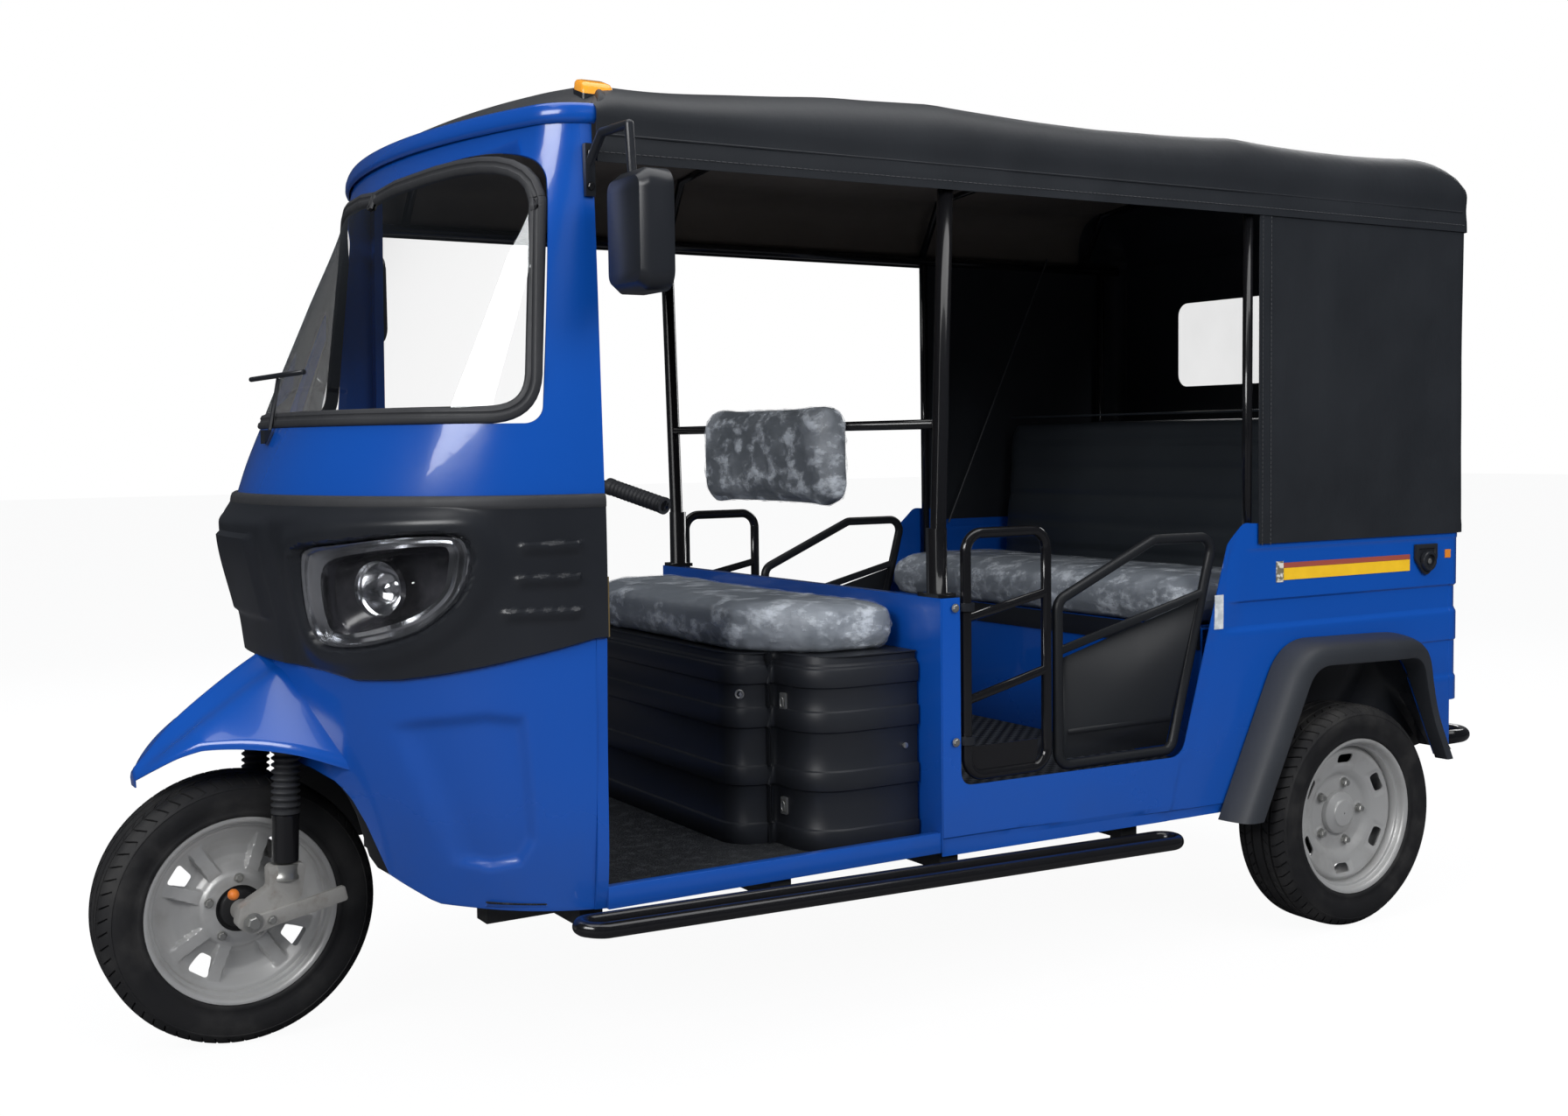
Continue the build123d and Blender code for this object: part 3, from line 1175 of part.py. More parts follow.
COLUMN_TOP = 1046.0
with BuildPart() as column:
    add(crown.part)
    add(bar(Vector(*steer_point(CROWN_HIGH)) - steer_dir * 12, steer_point(COLUMN_TOP), COLUMN_R))
write(column.part, "steering_column")

LEG_R, CYL_R, BELLOWS_R = 15.0, 24.0, 26.0
leg_top, leg_low = (LEG_TOP_X, FORK_HALF, CROWN_LOW), (LEG_LOW_X, FORK_HALF, CYL_LOW)
leg_run = Vector(*leg_low) - Vector(*leg_top)


def leg_point(height):
    """Point on the middle line of the left fork leg."""
    share = (CROWN_LOW - height) / (CROWN_LOW - CYL_LOW)
    return Vector(*leg_top) + leg_run * share


with BuildPart() as leg:
    add(bar(leg_point(CROWN_LOW - 0.8), leg_point(CYL_HIGH), LEG_R))
    add(bar(leg_point(CYL_HIGH), leg_point(CYL_LOW + 0.9), CYL_R))

BELLOWS_HIGH = CROWN_LOW - 14
FOLDS = 8
fold = (BELLOWS_HIGH - CYL_HIGH) / FOLDS
with BuildPart() as bellows:
    for row in range(FOLDS):
        low = CYL_HIGH + row * fold
        with BuildSketch(Plane(origin=leg_point(low), z_dir=-leg_run)):
            Circle(BELLOWS_R - 5)
        with BuildSketch(Plane(origin=leg_point(low + fold / 2), z_dir=-leg_run)):
            Circle(BELLOWS_R)
        with BuildSketch(Plane(origin=leg_point(low + fold), z_dir=-leg_run)):
            Circle(BELLOWS_R - 5)
        loft(ruled=True)
with BuildPart() as fork_leg:
    add(leg.part)
    add(bellows.part)
write(both_sides(fork_leg.part), "fork_legs")

CAST_HALF = 18.0
cast_outline = [
    (LEG_LOW_X - 34, CYL_LOW - GAP), (LEG_LOW_X + 34, CYL_LOW - GAP), (LEG_LOW_X + 34, AXLE_Z + 52),
    (FRONT_AXLE_X + 20, AXLE_Z + 22), (FRONT_AXLE_X + 26, AXLE_Z - 12), (FRONT_AXLE_X + 4, AXLE_Z - 27),
    (FRONT_AXLE_X - 30, AXLE_Z - 16), (LEG_LOW_X - 24, AXLE_Z + 30)]
casting = side_block(cast_outline, FORK_HALF - CAST_HALF, FORK_HALF + CAST_HALF, 10)

AXLE_END = FORK_HALF - CAST_HALF
with BuildPart() as front_axle:
    add(bar((FRONT_AXLE_X, -AXLE_END, AXLE_Z), (FRONT_AXLE_X, AXLE_END, AXLE_Z), AXLE_R))
    for side in (-1, 1):
        add(bar((FRONT_AXLE_X, side * 48, AXLE_Z), (FRONT_AXLE_X, side * AXLE_END, AXLE_Z), AXLE_R + 8))

ARM_IN, ARM_OUT = FORK_HALF + CAST_HALF, FORK_HALF + CAST_HALF + 10
arm_outline = [
    (FRONT_AXLE_X - 2, AXLE_Z - 26), (FRONT_AXLE_X + 14, AXLE_Z - 12), (FRONT_AXLE_X + 6, AXLE_Z + 4),
    (FRONT_AXLE_X - 40, AXLE_Z + 12), (FRONT_AXLE_X - 170, AXLE_Z + 40), (FRONT_AXLE_X - 176, AXLE_Z + 12),
    (FRONT_AXLE_X - 40, AXLE_Z - 16)]
with BuildPart() as fork_lower:
    add(both_sides(casting))
    add(front_axle.part)
    add(side_block(arm_outline, ARM_IN, ARM_OUT, 5))
write(fork_lower.part, "front_axle")

with BuildPart() as pedal:
    add(bar((WELL_BACK + 1, -150, BOX_BASE + 150), (WELL_BACK - 70, -150, BOX_BASE + 110), 7))
    with Locations((WELL_BACK - 74, -150, BOX_BASE + 115)):
        Box(12, 70, 50)

HEAD_PLATE = 8.0
column_run = bar(steer_point(HEAD_LOW - 60), steer_point(HEAD_HIGH + 60), COLUMN_R + RUNNING)
with BuildPart() as steering_head:
    add(bar(steer_point(HEAD_LOW - 60), steer_point(HEAD_HIGH), HEAD_R))
    split(bisect_by=Plane.XY.offset(HEAD_LOW), keep=Keep.TOP)
    with Locations((steer_point(HEAD_LOW)[0] - 4, 0, HEAD_LOW + HEAD_PLATE / 2)):
        Box(110, 220, HEAD_PLATE)
    add(wheel_well.part)
    add(column_run, mode=Mode.SUBTRACT)
    add(bar(steer_point(HEAD_LOW - 60), steer_point(HEAD_LOW + 2), COLUMN_R + 9), mode=Mode.SUBTRACT)
    add(pedal.part)
write(steering_head.part, "wheel_well")

BAR_Y_IN, BAR_Y_OUT = 245.0, 385.0
GRIP_IN = (FRONT_AXLE_X - 683, BAR_Y_IN, 1037)
GRIP_OUT = (FRONT_AXLE_X - 734, BAR_Y_OUT, 1000)
BAR_CENTRE_X = FRONT_AXLE_X - 448.0
BAR_CENTRE_Z = 1070.0
HANDLE_R = 11.0
right_in, right_out = (GRIP_IN[0], -BAR_Y_IN, GRIP_IN[2]), (GRIP_OUT[0], -BAR_Y_OUT, GRIP_OUT[2])
with BuildPart() as handlebar:
    add(tube_run([GRIP_OUT, GRIP_IN, (BAR_CENTRE_X, 105, BAR_CENTRE_Z), (BAR_CENTRE_X, -105, BAR_CENTRE_Z),
                  right_in, right_out], HANDLE_R, 40))
    with Locations(((steer_point(COLUMN_TOP)[0] + BAR_CENTRE_X) / 2, 0, (COLUMN_TOP + BAR_CENTRE_Z) / 2 + 8)):
        Box(96, 60, BAR_CENTRE_Z - COLUMN_TOP + 10)
    add(bar(steer_point(COLUMN_TOP - 80), steer_point(COLUMN_TOP), COLUMN_R + 0.1), mode=Mode.SUBTRACT)
write(handlebar.part, "handlebar")

GRIP_R = 17.0
grip_axis = Vector(*GRIP_OUT) - Vector(*GRIP_IN)
with BuildPart() as grip:
    add(bar(Vector(*GRIP_IN) + grip_axis * 0.18, Vector(*GRIP_OUT) + grip_axis * 0.05, GRIP_R))
    add(bar(GRIP_IN, Vector(*GRIP_OUT), HANDLE_R + GAP), mode=Mode.SUBTRACT)
write(both_sides(grip.part), "handle_grips")

# ---------------------------------------------------------------- gates and guards
GATE_R = 11.0
GATE_Y = 600.0
HINGE_X = DOOR_FRONT - 19.0
GATE_BACK = HINGE_X - 206.0
GATE_LOW, GATE_HIGH = DOOR_SILL + 5.5 + GATE_R, 934.0
GATE_BARS = [(600.0, 646.0), (765.0, 805.0)]
with BuildPart() as gate:
    add(tube_ring([(HINGE_X, GATE_Y, GATE_LOW), (HINGE_X, GATE_Y, GATE_HIGH), (GATE_BACK, GATE_Y, GATE_HIGH),
                   (GATE_BACK, GATE_Y, GATE_LOW)], GATE_R, 38))
    for front_z, back_z in GATE_BARS:
        add(bar((HINGE_X - 6, GATE_Y, front_z), (GATE_BACK + 6, GATE_Y, back_z), GATE_R - 2))
write(gate.part, "left_gate")
with BuildPart() as right_gate:
    mirror(gate.part, about=Plane.XZ)
write(right_gate.part, "right_gate")

HINGE_Z = [520.0, 788.0]
HINGE_TALL = 16.0
post_inner = BODY_FRONT_HALF - SHEET
with BuildPart() as gate_hinge:
    for z in HINGE_Z:
        with Locations((HINGE_X, GATE_Y, z)):
            Cylinder(GATE_R + 6, HINGE_TALL)
        with Locations((HINGE_X + 28, GATE_Y - 5, z)):
            Box(40, 15, HINGE_TALL)
        with Locations((HINGE_X, GATE_Y, z)):
            Cylinder(GATE_R + RUNNING, HINGE_TALL + 4, mode=Mode.SUBTRACT)
with BuildPart() as sides:
    add(side_panels.part)
    add(both_sides(wheelhouse.part))
    add(both_sides(gate_hinge.part))
write(sides.part, "side_panels")

slant = (DOOR_BACK_HIGH - DOOR_BACK_LOW) / (905 - DOOR_SILL)
GUARD_FRONT = GATE_BACK - 2 * GATE_R - 8
GUARD_LOW = DOOR_SILL + GAP + GATE_R
seat_in = (GATE_R + GAP) * sqrt(1 + slant ** 2)


def guard_back(z):
    """Middle of the guard's back tube, seated on the slanted door edge."""
    return DOOR_BACK_LOW + slant * (z - DOOR_SILL) + seat_in


GUARD_TOP = 901.0
with BuildPart() as guard:
    add(tube_ring([(GUARD_FRONT, GATE_Y, GUARD_LOW), (GUARD_FRONT, GATE_Y, 785), (GUARD_FRONT - 265, GATE_Y, GUARD_TOP),
                   (guard_back(GUARD_TOP), GATE_Y, GUARD_TOP), (guard_back(GUARD_LOW), GATE_Y, GUARD_LOW)],
                  GATE_R, 30))
    add(bar((GUARD_FRONT, GATE_Y, 680), (guard_back(780), GATE_Y, 780), GATE_R - 2))
with BuildPart() as guard_set:
    add(guard.part)
    add(side_block([(GUARD_FRONT - 14, GUARD_LOW + 14), (GUARD_FRONT - 14, 680 - 14), (guard_back(780) + 16, 780 - 14),
                    (guard_back(GUARD_LOW) + 16, GUARD_LOW + 14)], GATE_Y - 1.5, GATE_Y + 1.5))
    add(side_block([(GUARD_FRONT - 25, 506), (GUARD_FRONT - 25, 516), (guard_back(510) + 24, 516), (guard_back(510) + 24, 506)],
                   GATE_Y - 1.5, GATE_Y + 5))
write(both_sides(guard_set.part), "side_guards")

# ---------------------------------------------------------------- wiper and dashboard
with BuildPart() as wiper:
    with Locations((POST_X + 407, 0, SCREEN_LOW - 16)):
        Box(34, 30, 26)
    add(bar((POST_X + 412, 6, SCREEN_LOW - 10), (POST_X + 392, 4, SCREEN_LOW + 95), 4))
    add(bar((POST_X + 395, -190, SCREEN_LOW + 100), (POST_X + 395, 190, SCREEN_LOW + 100), 5))
    add(cab_seal, mode=Mode.SUBTRACT)
write(wiper.part, "wiper")

DASH_Z = 985.0
with BuildPart() as dashboard:
    with Locations((POST_X + 330, 0, DASH_Z)):
        Box(150, 820, 30)
    with Locations((POST_X + 262, 0, DASH_Z - 60)):
        Box(14, 360, 150)
    add(cab_inner, mode=Mode.INTERSECT)
write(dashboard.part, "dashboard")
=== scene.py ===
"""Auto rickshaw: the finished look, piece by piece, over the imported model.

Metres, +X forward, +Y the driver's left, +Z up, wheels on z = 0. Each section holds one piece or
a group of like pieces, from the steel body outwards, with its own sizes, finish and mesh.
"""
from contextlib import contextmanager
from math import acos, atan2, copysign, cos, exp, hypot, pi, radians, sin, sqrt
import bmesh
import bpy
from mathutils import Matrix, Vector, noise


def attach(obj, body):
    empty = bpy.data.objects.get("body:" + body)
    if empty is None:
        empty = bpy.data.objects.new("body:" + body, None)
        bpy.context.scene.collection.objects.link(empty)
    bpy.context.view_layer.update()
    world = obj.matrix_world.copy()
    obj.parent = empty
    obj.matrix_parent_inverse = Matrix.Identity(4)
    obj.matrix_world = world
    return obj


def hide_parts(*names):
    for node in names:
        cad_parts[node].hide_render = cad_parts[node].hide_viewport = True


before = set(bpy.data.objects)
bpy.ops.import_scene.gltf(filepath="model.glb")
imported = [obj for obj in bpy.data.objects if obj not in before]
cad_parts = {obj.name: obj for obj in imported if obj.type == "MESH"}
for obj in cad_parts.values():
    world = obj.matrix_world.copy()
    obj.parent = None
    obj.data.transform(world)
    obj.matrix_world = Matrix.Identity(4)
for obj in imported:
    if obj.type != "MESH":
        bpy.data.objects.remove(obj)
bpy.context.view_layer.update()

# ------------------------------------------------------------------ studio and camera
# A floor that shows white to the camera, under large soft lights, and a lens at chest height that
# looks along the left side from ahead of the front wheel.
def placed(name, data):
    """A new object in the scene from its data."""
    piece = bpy.data.objects.new(name, data)
    bpy.context.scene.collection.objects.link(piece)
    return piece


SENSOR = 36
FRAME_WIDTH, LENS_PIXELS, SHIFT_ACROSS, SHIFT_UP = 1792, 1948.34, -45.3, -19.16     # pixels
LOOK_YAW, LOOK_DOWN, LOOK_ROLL = radians(-122.17), radians(3.33), radians(-0.67)
eye = Vector((2.0915, 3.3154, 1.1191))
ahead = Vector((cos(LOOK_YAW) * cos(LOOK_DOWN), sin(LOOK_YAW) * cos(LOOK_DOWN), -sin(LOOK_DOWN)))
level = ahead.cross(Vector((0, 0, 1))).normalized()
lifted = level.cross(ahead)
across = level * cos(LOOK_ROLL) + lifted * sin(LOOK_ROLL)
upward = lifted * cos(LOOK_ROLL) - level * sin(LOOK_ROLL)
camera_data = bpy.data.cameras.new("camera")
camera_data.lens = SENSOR * LENS_PIXELS / FRAME_WIDTH
camera_data.shift_x, camera_data.shift_y = SHIFT_ACROSS / FRAME_WIDTH, SHIFT_UP / FRAME_WIDTH
camera = placed("camera", camera_data)
camera.matrix_world = Matrix((
    (across.x, upward.x, -ahead.x, eye.x),
    (across.y, upward.y, -ahead.y, eye.y),
    (across.z, upward.z, -ahead.z, eye.z),
    (0, 0, 0, 1)))
bpy.context.scene.camera = camera

world = bpy.data.worlds.new("studio")
world.use_nodes = True
sky = world.node_tree
seen = sky.nodes.new("ShaderNodeLightPath")


def even_light(colour, strength):
    """An even light from all round."""
    light = sky.nodes.new("ShaderNodeBackground")
    light.inputs["Color"].default_value, light.inputs["Strength"].default_value = (*colour, 1), strength
    return light.outputs[0]


def by_ray(ray, others, chosen):
    """One light for a kind of ray, and another for all the others."""
    choice = sky.nodes.new("ShaderNodeMixShader")
    for port, source in zip(choice.inputs, (seen.outputs[ray], others, chosen)):
        sky.links.new(source, port)
    return choice.outputs[0]


ROOM = (0.80, 0.88, 1.0)
lit = by_ray("Is Camera Ray", even_light(ROOM, 0.26), even_light((1, 1, 1), 1.0))
sky.links.new(by_ray("Is Glossy Ray", lit, even_light(ROOM, 0.05)),
              sky.nodes["World Output"].inputs["Surface"])
bpy.context.scene.world = world
bpy.context.scene.view_settings.view_transform = "Standard"

SOFT_LIGHTS = [
    # name, place, looks at, width, height, watts
    ("overhead", (0.2, 0.6, 5.4), (0.0, 0.0, 0.0), 7.0, 4.6, 200),
    ("left_side", (-0.6, 5.6, 3.7), (-0.3, 0.0, 0.6), 5.6, 2.2, 290),
    ("ahead", (5.4, 2.2, 3.3), (0.9, 0.0, 0.7), 3.4, 2.0, 190),
    ("behind", (-5.0, -2.4, 3.6), (-0.6, 0.0, 0.8), 3.0, 2.2, 90),
    ("far_side", (1.0, -5.0, 3.2), (0.3, 0.0, 0.8), 4.0, 2.2, 120),
]
for light_name, place, target, width, height, watts in SOFT_LIGHTS:
    soft = bpy.data.lights.new(light_name, "AREA")
    soft.shape, soft.size, soft.size_y, soft.energy = "RECTANGLE", width, height, watts
    lamp = placed(light_name, soft)
    lamp.location = place
    lamp.rotation_euler = (Vector(target) - Vector(place)).to_track_quat("-Z", "Y").to_euler()
    lamp.visible_glossy = light_name not in ("left_side", "far_side")


class Sum:
    """A number in a material's nodes, so that a finish is written as sums."""

    def __init__(self, tree, socket):
        self.tree, self.socket = tree, socket

    def apply(self, operation, *values):
        maths = self.tree.nodes.new("ShaderNodeMath")
        maths.operation = operation
        for port, value in zip(maths.inputs, values):
            if isinstance(value, Sum):
                self.tree.links.new(value.socket, port)
            else:
                port.default_value = value
        return Sum(self.tree, maths.outputs[0])

    def __add__(self, other):
        return self.apply("ADD", self, other)

    def __sub__(self, other):
        return self.apply("SUBTRACT", self, other)

    def __rsub__(self, other):
        return self.apply("SUBTRACT", other, self)

    def __mul__(self, other):
        return self.apply("MULTIPLY", self, other)

    def __truediv__(self, other):
        return self.apply("DIVIDE", self, other)

    __radd__, __rmul__ = __add__, __mul__

    def above(self, low, high):
        """0 below `low`, 1 above `high`, soft between them."""
        span = self.tree.nodes.new("ShaderNodeMapRange")
        span.interpolation_type = "SMOOTHSTEP"
        self.tree.links.new(self.socket, span.inputs["Value"])
        span.inputs["From Min"].default_value, span.inputs["From Max"].default_value = low, high
        return Sum(self.tree, span.outputs["Result"])


class Finish:
    """A material made of nodes round its principled shader."""

    def __init__(self, name, colour, roughness, **settings):
        self.material = bpy.data.materials.new(name)
        self.material.use_nodes = True
        self.tree = self.material.node_tree
        self.shader = self.tree.nodes["Principled BSDF"]
        self.put(Base_Color=(*colour, 1), Roughness=roughness, **settings)
        self.where = self.node("ShaderNodeTexCoord").outputs["Object"]
        split = self.node("ShaderNodeSeparateXYZ", Vector=self.where)
        self.x, self.y, self.z = (Sum(self.tree, port) for port in split.outputs)

    def node(self, kind, settings=(), **ports):
        """A node with its settings, and values or links in its sockets."""
        made = self.tree.nodes.new(kind)
        for key, value in dict(settings).items():
            if key == "stops":
                ramp = made.color_ramp.elements
                while len(ramp) < len(value):
                    ramp.new(0.5)
                for stop, (at, colour) in zip(ramp, value):
                    stop.position, stop.color = at, colour
            else:
                setattr(made, key, value)
        for port, value in ports.items():
            self.feed(made.inputs[port.replace("_", " ")], value)
        return made

    def feed(self, port, value):
        if isinstance(value, Sum):
            value = value.socket
        if isinstance(value, bpy.types.NodeSocket):
            self.tree.links.new(value, port)
        else:
            port.default_value = value

    def put(self, **ports):
        for port, value in ports.items():
            self.feed(self.shader.inputs[port.replace("_", " ")], value)

    def noise(self, scale, detail=3.0, stretch=(1, 1, 1), roughness=0.55):
        mapped = self.node("ShaderNodeMapping", Vector=self.where, Scale=stretch)
        made = self.node("ShaderNodeTexNoise", Vector=mapped.outputs[0], Scale=scale,
                         Detail=detail, Roughness=roughness)
        return Sum(self.tree, made.outputs["Fac"])

    def mix(self, share, first, second):
        """Colour between two colours, each a triple or a socket."""
        made = self.node("ShaderNodeMix", {"data_type": "RGBA"})
        self.feed(made.inputs["Factor"], share)
        for port, value in ((made.inputs[6], first), (made.inputs[7], second)):
            self.feed(port, (*value, 1) if isinstance(value, tuple) else value)
        return made.outputs[2]

    def relief(self, height, distance, strength=1.0, under=None):
        """Bump that feeds the shader's normal; `under` is a relief that lies below it."""
        made = self.node("ShaderNodeBump", Height=height, Distance=distance, Strength=strength)
        if under is not None:
            self.feed(made.inputs["Normal"], under)
        self.put(Normal=made.outputs[0])
        return made.outputs[0]


PALE, MIRRORED = (0.30, 0.30, 0.31), (0.07, 0.07, 0.075)
floor_finish = Finish("pale_floor", PALE, 0.75)
mirror_ray = Sum(floor_finish.tree, floor_finish.node("ShaderNodeLightPath").outputs["Is Glossy Ray"])
floor_finish.put(Base_Color=floor_finish.mix(mirror_ray, PALE, MIRRORED),
                 Roughness=0.7 + floor_finish.noise(0.8) * 0.1)
bright = floor_finish.node("ShaderNodeEmission", Strength=1.13)
in_view = floor_finish.node("ShaderNodeLightPath").outputs["Is Camera Ray"]
layers = floor_finish.node("ShaderNodeMixShader", Fac=Sum(floor_finish.tree, in_view) * 0.84)
floor_finish.tree.links.new(floor_finish.shader.outputs[0], layers.inputs[1])
floor_finish.tree.links.new(bright.outputs[0], layers.inputs[2])
floor_finish.tree.links.new(layers.outputs[0], floor_finish.tree.nodes["Material Output"].inputs["Surface"])
FLOOR_SPAN = 40
floor_mesh = bpy.data.meshes.new("studio_floor")
floor_mesh.from_pydata([(x * FLOOR_SPAN, y * FLOOR_SPAN, 0) for x, y in ((-1, -1), (1, -1), (1, 1), (-1, 1))],
                       [], [(0, 1, 2, 3)])
floor_mesh.materials.append(floor_finish.material)
studio_floor = placed("studio_floor", floor_mesh)

REAR, FRONT = -0.9755, 1.3415        # the two axles
POST = 0.8395                        # rear face of the door post


# ------------------------------------------------------------------ cab shell and door posts
# Pressed steel cab, spot welded, in gloss blue enamel with a faint orange peel. A panel is
# stamped into each lower cheek, and a post of folded steel closes the back edge.
def made(name, points, faces):
    """A piece from its points and faces."""
    mesh = bpy.data.meshes.new(name)
    mesh.from_pydata([tuple(p) for p in points], [], faces)
    mesh.validate()
    return placed(name, mesh)


def meshed(name, rows, ring=False, capped=False):
    """A skin through rows of points; a ring closes each row on itself, caps close the ends."""
    count = len(rows[0])
    faces = []
    for low in range(len(rows) - 1):
        for k in range(count if ring else count - 1):
            after = (k + 1) % count
            faces.append((low * count + k, low * count + after,
                          (low + 1) * count + after, (low + 1) * count + k))
    if capped:
        faces.append(tuple(reversed(range(count))))
        faces.append(tuple((len(rows) - 1) * count + k for k in range(count)))
    return made(name, [p for row in rows for p in row], faces)


@contextmanager
def reshaped(mesh, near):
    """The mesh as an editable shape with its doubled points merged, written back at the end."""
    shape = bmesh.new()
    shape.from_mesh(mesh)
    bmesh.ops.remove_doubles(shape, verts=shape.verts, dist=near)
    yield shape
    shape.to_mesh(mesh)
    shape.free()


def laid(name, rows, ring=False, capped=False):
    """A skin through rows of points, with its faces turned outwards."""
    piece = meshed(name, rows, ring, capped)
    with reshaped(piece.data, 1e-6) as shape:
        bmesh.ops.recalc_face_normals(shape, faces=shape.faces)
    return piece


def worked(piece):
    """The piece's mesh with its modifiers applied."""
    graph = bpy.context.evaluated_depsgraph_get()
    return bpy.data.meshes.new_from_object(piece.evaluated_get(graph), depsgraph=graph)


def thickened(piece, wall, offset=-1.0):
    """Give a skin its wall, inwards from its face."""
    solid = piece.modifiers.new("wall", "SOLIDIFY")
    solid.thickness, solid.offset = wall, offset


def rounded(piece, width, steps=2, angle=40):
    """Round a piece's hard edges."""
    bevel = piece.modifiers.new("round", "BEVEL")
    bevel.width, bevel.segments = width, steps
    bevel.limit_method, bevel.angle_limit = "ANGLE", radians(angle)


def settle(piece, finish, body, *nodes, sharp=34, slot=None):
    """Apply a piece's modifiers, finish it, and let it ride on its body in place of nodes."""
    mesh = worked(piece)
    if piece.type == "MESH":
        piece.modifiers.clear()
        piece.data = mesh
    else:
        curve = piece
        piece = placed(curve.name + "_mesh", mesh)
        bpy.data.objects.remove(curve)
    mesh.materials.clear()
    mesh.materials.append(finish.material)
    mesh.shade_smooth()
    mesh.set_sharp_from_angle(angle=radians(sharp))
    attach(piece, body)
    if nodes:
        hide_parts(*nodes)
    return piece


MERGE = 2e-5


def copied(name, node):
    """A piece with the node's own mesh."""
    return placed(name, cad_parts[node].data.copy())


def merged(node, finish, body, sharp=30, bevel=0.0):
    """The node's own shape with its points merged, so that its curves shade smoothly."""
    copy = copied(node + "_piece", node)
    with reshaped(copy.data, MERGE):
        pass
    if bevel:
        rounded(copy, bevel, 2, 50)
    return settle(copy, finish, body, node, sharp=sharp)


CAB_LINES = [
    # height, nose ahead of the post, half width, front radius, corner radius
    (0.300, 0.345, 0.600, 0.750, 0.330),
    (0.500, 0.395, 0.608, 0.780, 0.330),
    (0.760, 0.435, 0.613, 0.800, 0.330),
    (1.020, 0.455, 0.615, 0.800, 0.330),
    (1.170, 0.395, 0.610, 0.920, 0.260),
    (1.400, 0.290, 0.602, 1.150, 0.160),
    (1.600, 0.195, 0.592, 1.450, 0.100),
    (1.700, 0.170, 0.588, 1.550, 0.090),
]


def smooth_row(rows, at):
    """The values beside `at` in a table, smooth between its rows."""
    k = max(i for i in range(len(rows) - 1) if rows[i][0] <= at + 1e-9)
    low, high = rows[k], rows[k + 1]
    span = high[0] - low[0]
    t = (at - low[0]) / span
    sizes = []
    for n in range(1, len(low)):
        rise = (high[n] - low[n]) / span
        before = (low[n] - rows[k - 1][n]) / (low[0] - rows[k - 1][0]) if k else rise
        after = (rows[k + 2][n] - high[n]) / (rows[k + 2][0] - high[0]) if k + 2 < len(rows) else rise
        m0, m1 = (rise + before) / 2 * span, (rise + after) / 2 * span
        sizes.append((2 * t ** 3 - 3 * t ** 2 + 1) * low[n] + (t ** 3 - 2 * t ** 2 + t) * m0
                     + (3 * t ** 2 - 2 * t ** 3) * high[n] + (t ** 3 - t ** 2) * m1)
    return sizes


def cab_plan(height, grow):
    """Half width and radii of the grown cab at a height, with the centres and lean of its arcs."""
    height = min(max(height, CAB_LINES[0][0]), CAB_LINES[-1][0])
    nose, half, front_r, corner_r = smooth_row(CAB_LINES, height)
    nose, half, front_r, corner_r = POST + nose + grow, half + grow, front_r + grow, corner_r + grow
    centre = nose - front_r
    corner_y = half - corner_r
    corner_x = centre + sqrt((front_r - corner_r) ** 2 - corner_y ** 2)
    return half, front_r, corner_r, centre, corner_x, corner_y, atan2(corner_y, corner_x - centre)


def cab_point(turn, height, grow=0.0):
    """Point on the cab: turn 0 at the nose, 1 to 2 round the corner, 3 at the door post."""
    half, front_r, corner_r, centre, corner_x, corner_y, lean = cab_plan(height, grow)
    side = -1 if turn < 0 else 1
    t = abs(turn)
    if t <= 1:
        x, y = centre + front_r * cos(lean * t), front_r * sin(lean * t)
    elif t <= 2:
        angle = lean + (pi / 2 - lean) * (t - 1)
        x, y = corner_x + corner_r * cos(angle), corner_y + corner_r * sin(angle)
    else:
        x, y = corner_x + (POST - corner_x) * (t - 2), half
    return Vector((x, side * y, height))


def cab_turn(x, height, grow=0.0):
    """The turn at which the cab passes a place along the car."""
    half, front_r, corner_r, centre, corner_x, corner_y, lean = cab_plan(height, grow)
    if x <= corner_x:
        return 2 + (corner_x - x) / (corner_x - POST)
    if x <= corner_x + corner_r * cos(lean):
        return 1 + (acos(min(1, (x - corner_x) / corner_r)) - lean) / (pi / 2 - lean)
    return acos(min(1, (x - centre) / front_r)) / lean


def along(points, x):
    """Height at x of a line through (x, height) points."""
    if x <= points[0][0]:
        return points[0][1]
    for (x0, z0), (x1, z1) in zip(points, points[1:]):
        if x <= x1:
            return z0 + (z1 - z0) * (x - x0) / (x1 - x0)
    return points[-1][1]


def inside_by(outline, x, z):
    """How far a point lies inside a convex outline of (x, z), below zero outside it."""
    closest = 9.0
    for (x0, z0), (x1, z1) in zip(outline, outline[1:] + outline[:1]):
        closest = min(closest, ((x1 - x0) * (z - z0) - (z1 - z0) * (x - x0)) / hypot(x1 - x0, z1 - z0))
    return closest


def eased(value, low, high):
    """0 below `low`, 1 above `high`, smooth between them."""
    t = min(1.0, max(0.0, (value - low) / (high - low)))
    return t * t * (3 - 2 * t)


enamel = Finish("blue_enamel", (0.003, 0.066, 0.35), 0.24, Coat_Weight=0.6, Coat_Roughness=0.05)
cloud = enamel.noise(1.3, 2)
grime = enamel.noise(7.0, 5) * (1 - enamel.z.above(0.32, 0.6))
enamel.put(
    Base_Color=enamel.mix(grime * 0.25, enamel.mix(cloud, (0.002, 0.056, 0.31), (0.004, 0.074, 0.385)),
                          (0.03, 0.05, 0.10)),
    Roughness=0.20 + enamel.noise(3.5, 4) * 0.09 + grime * 0.12)
enamel.relief(enamel.noise(170.0, 2), 0.0006, 0.10)

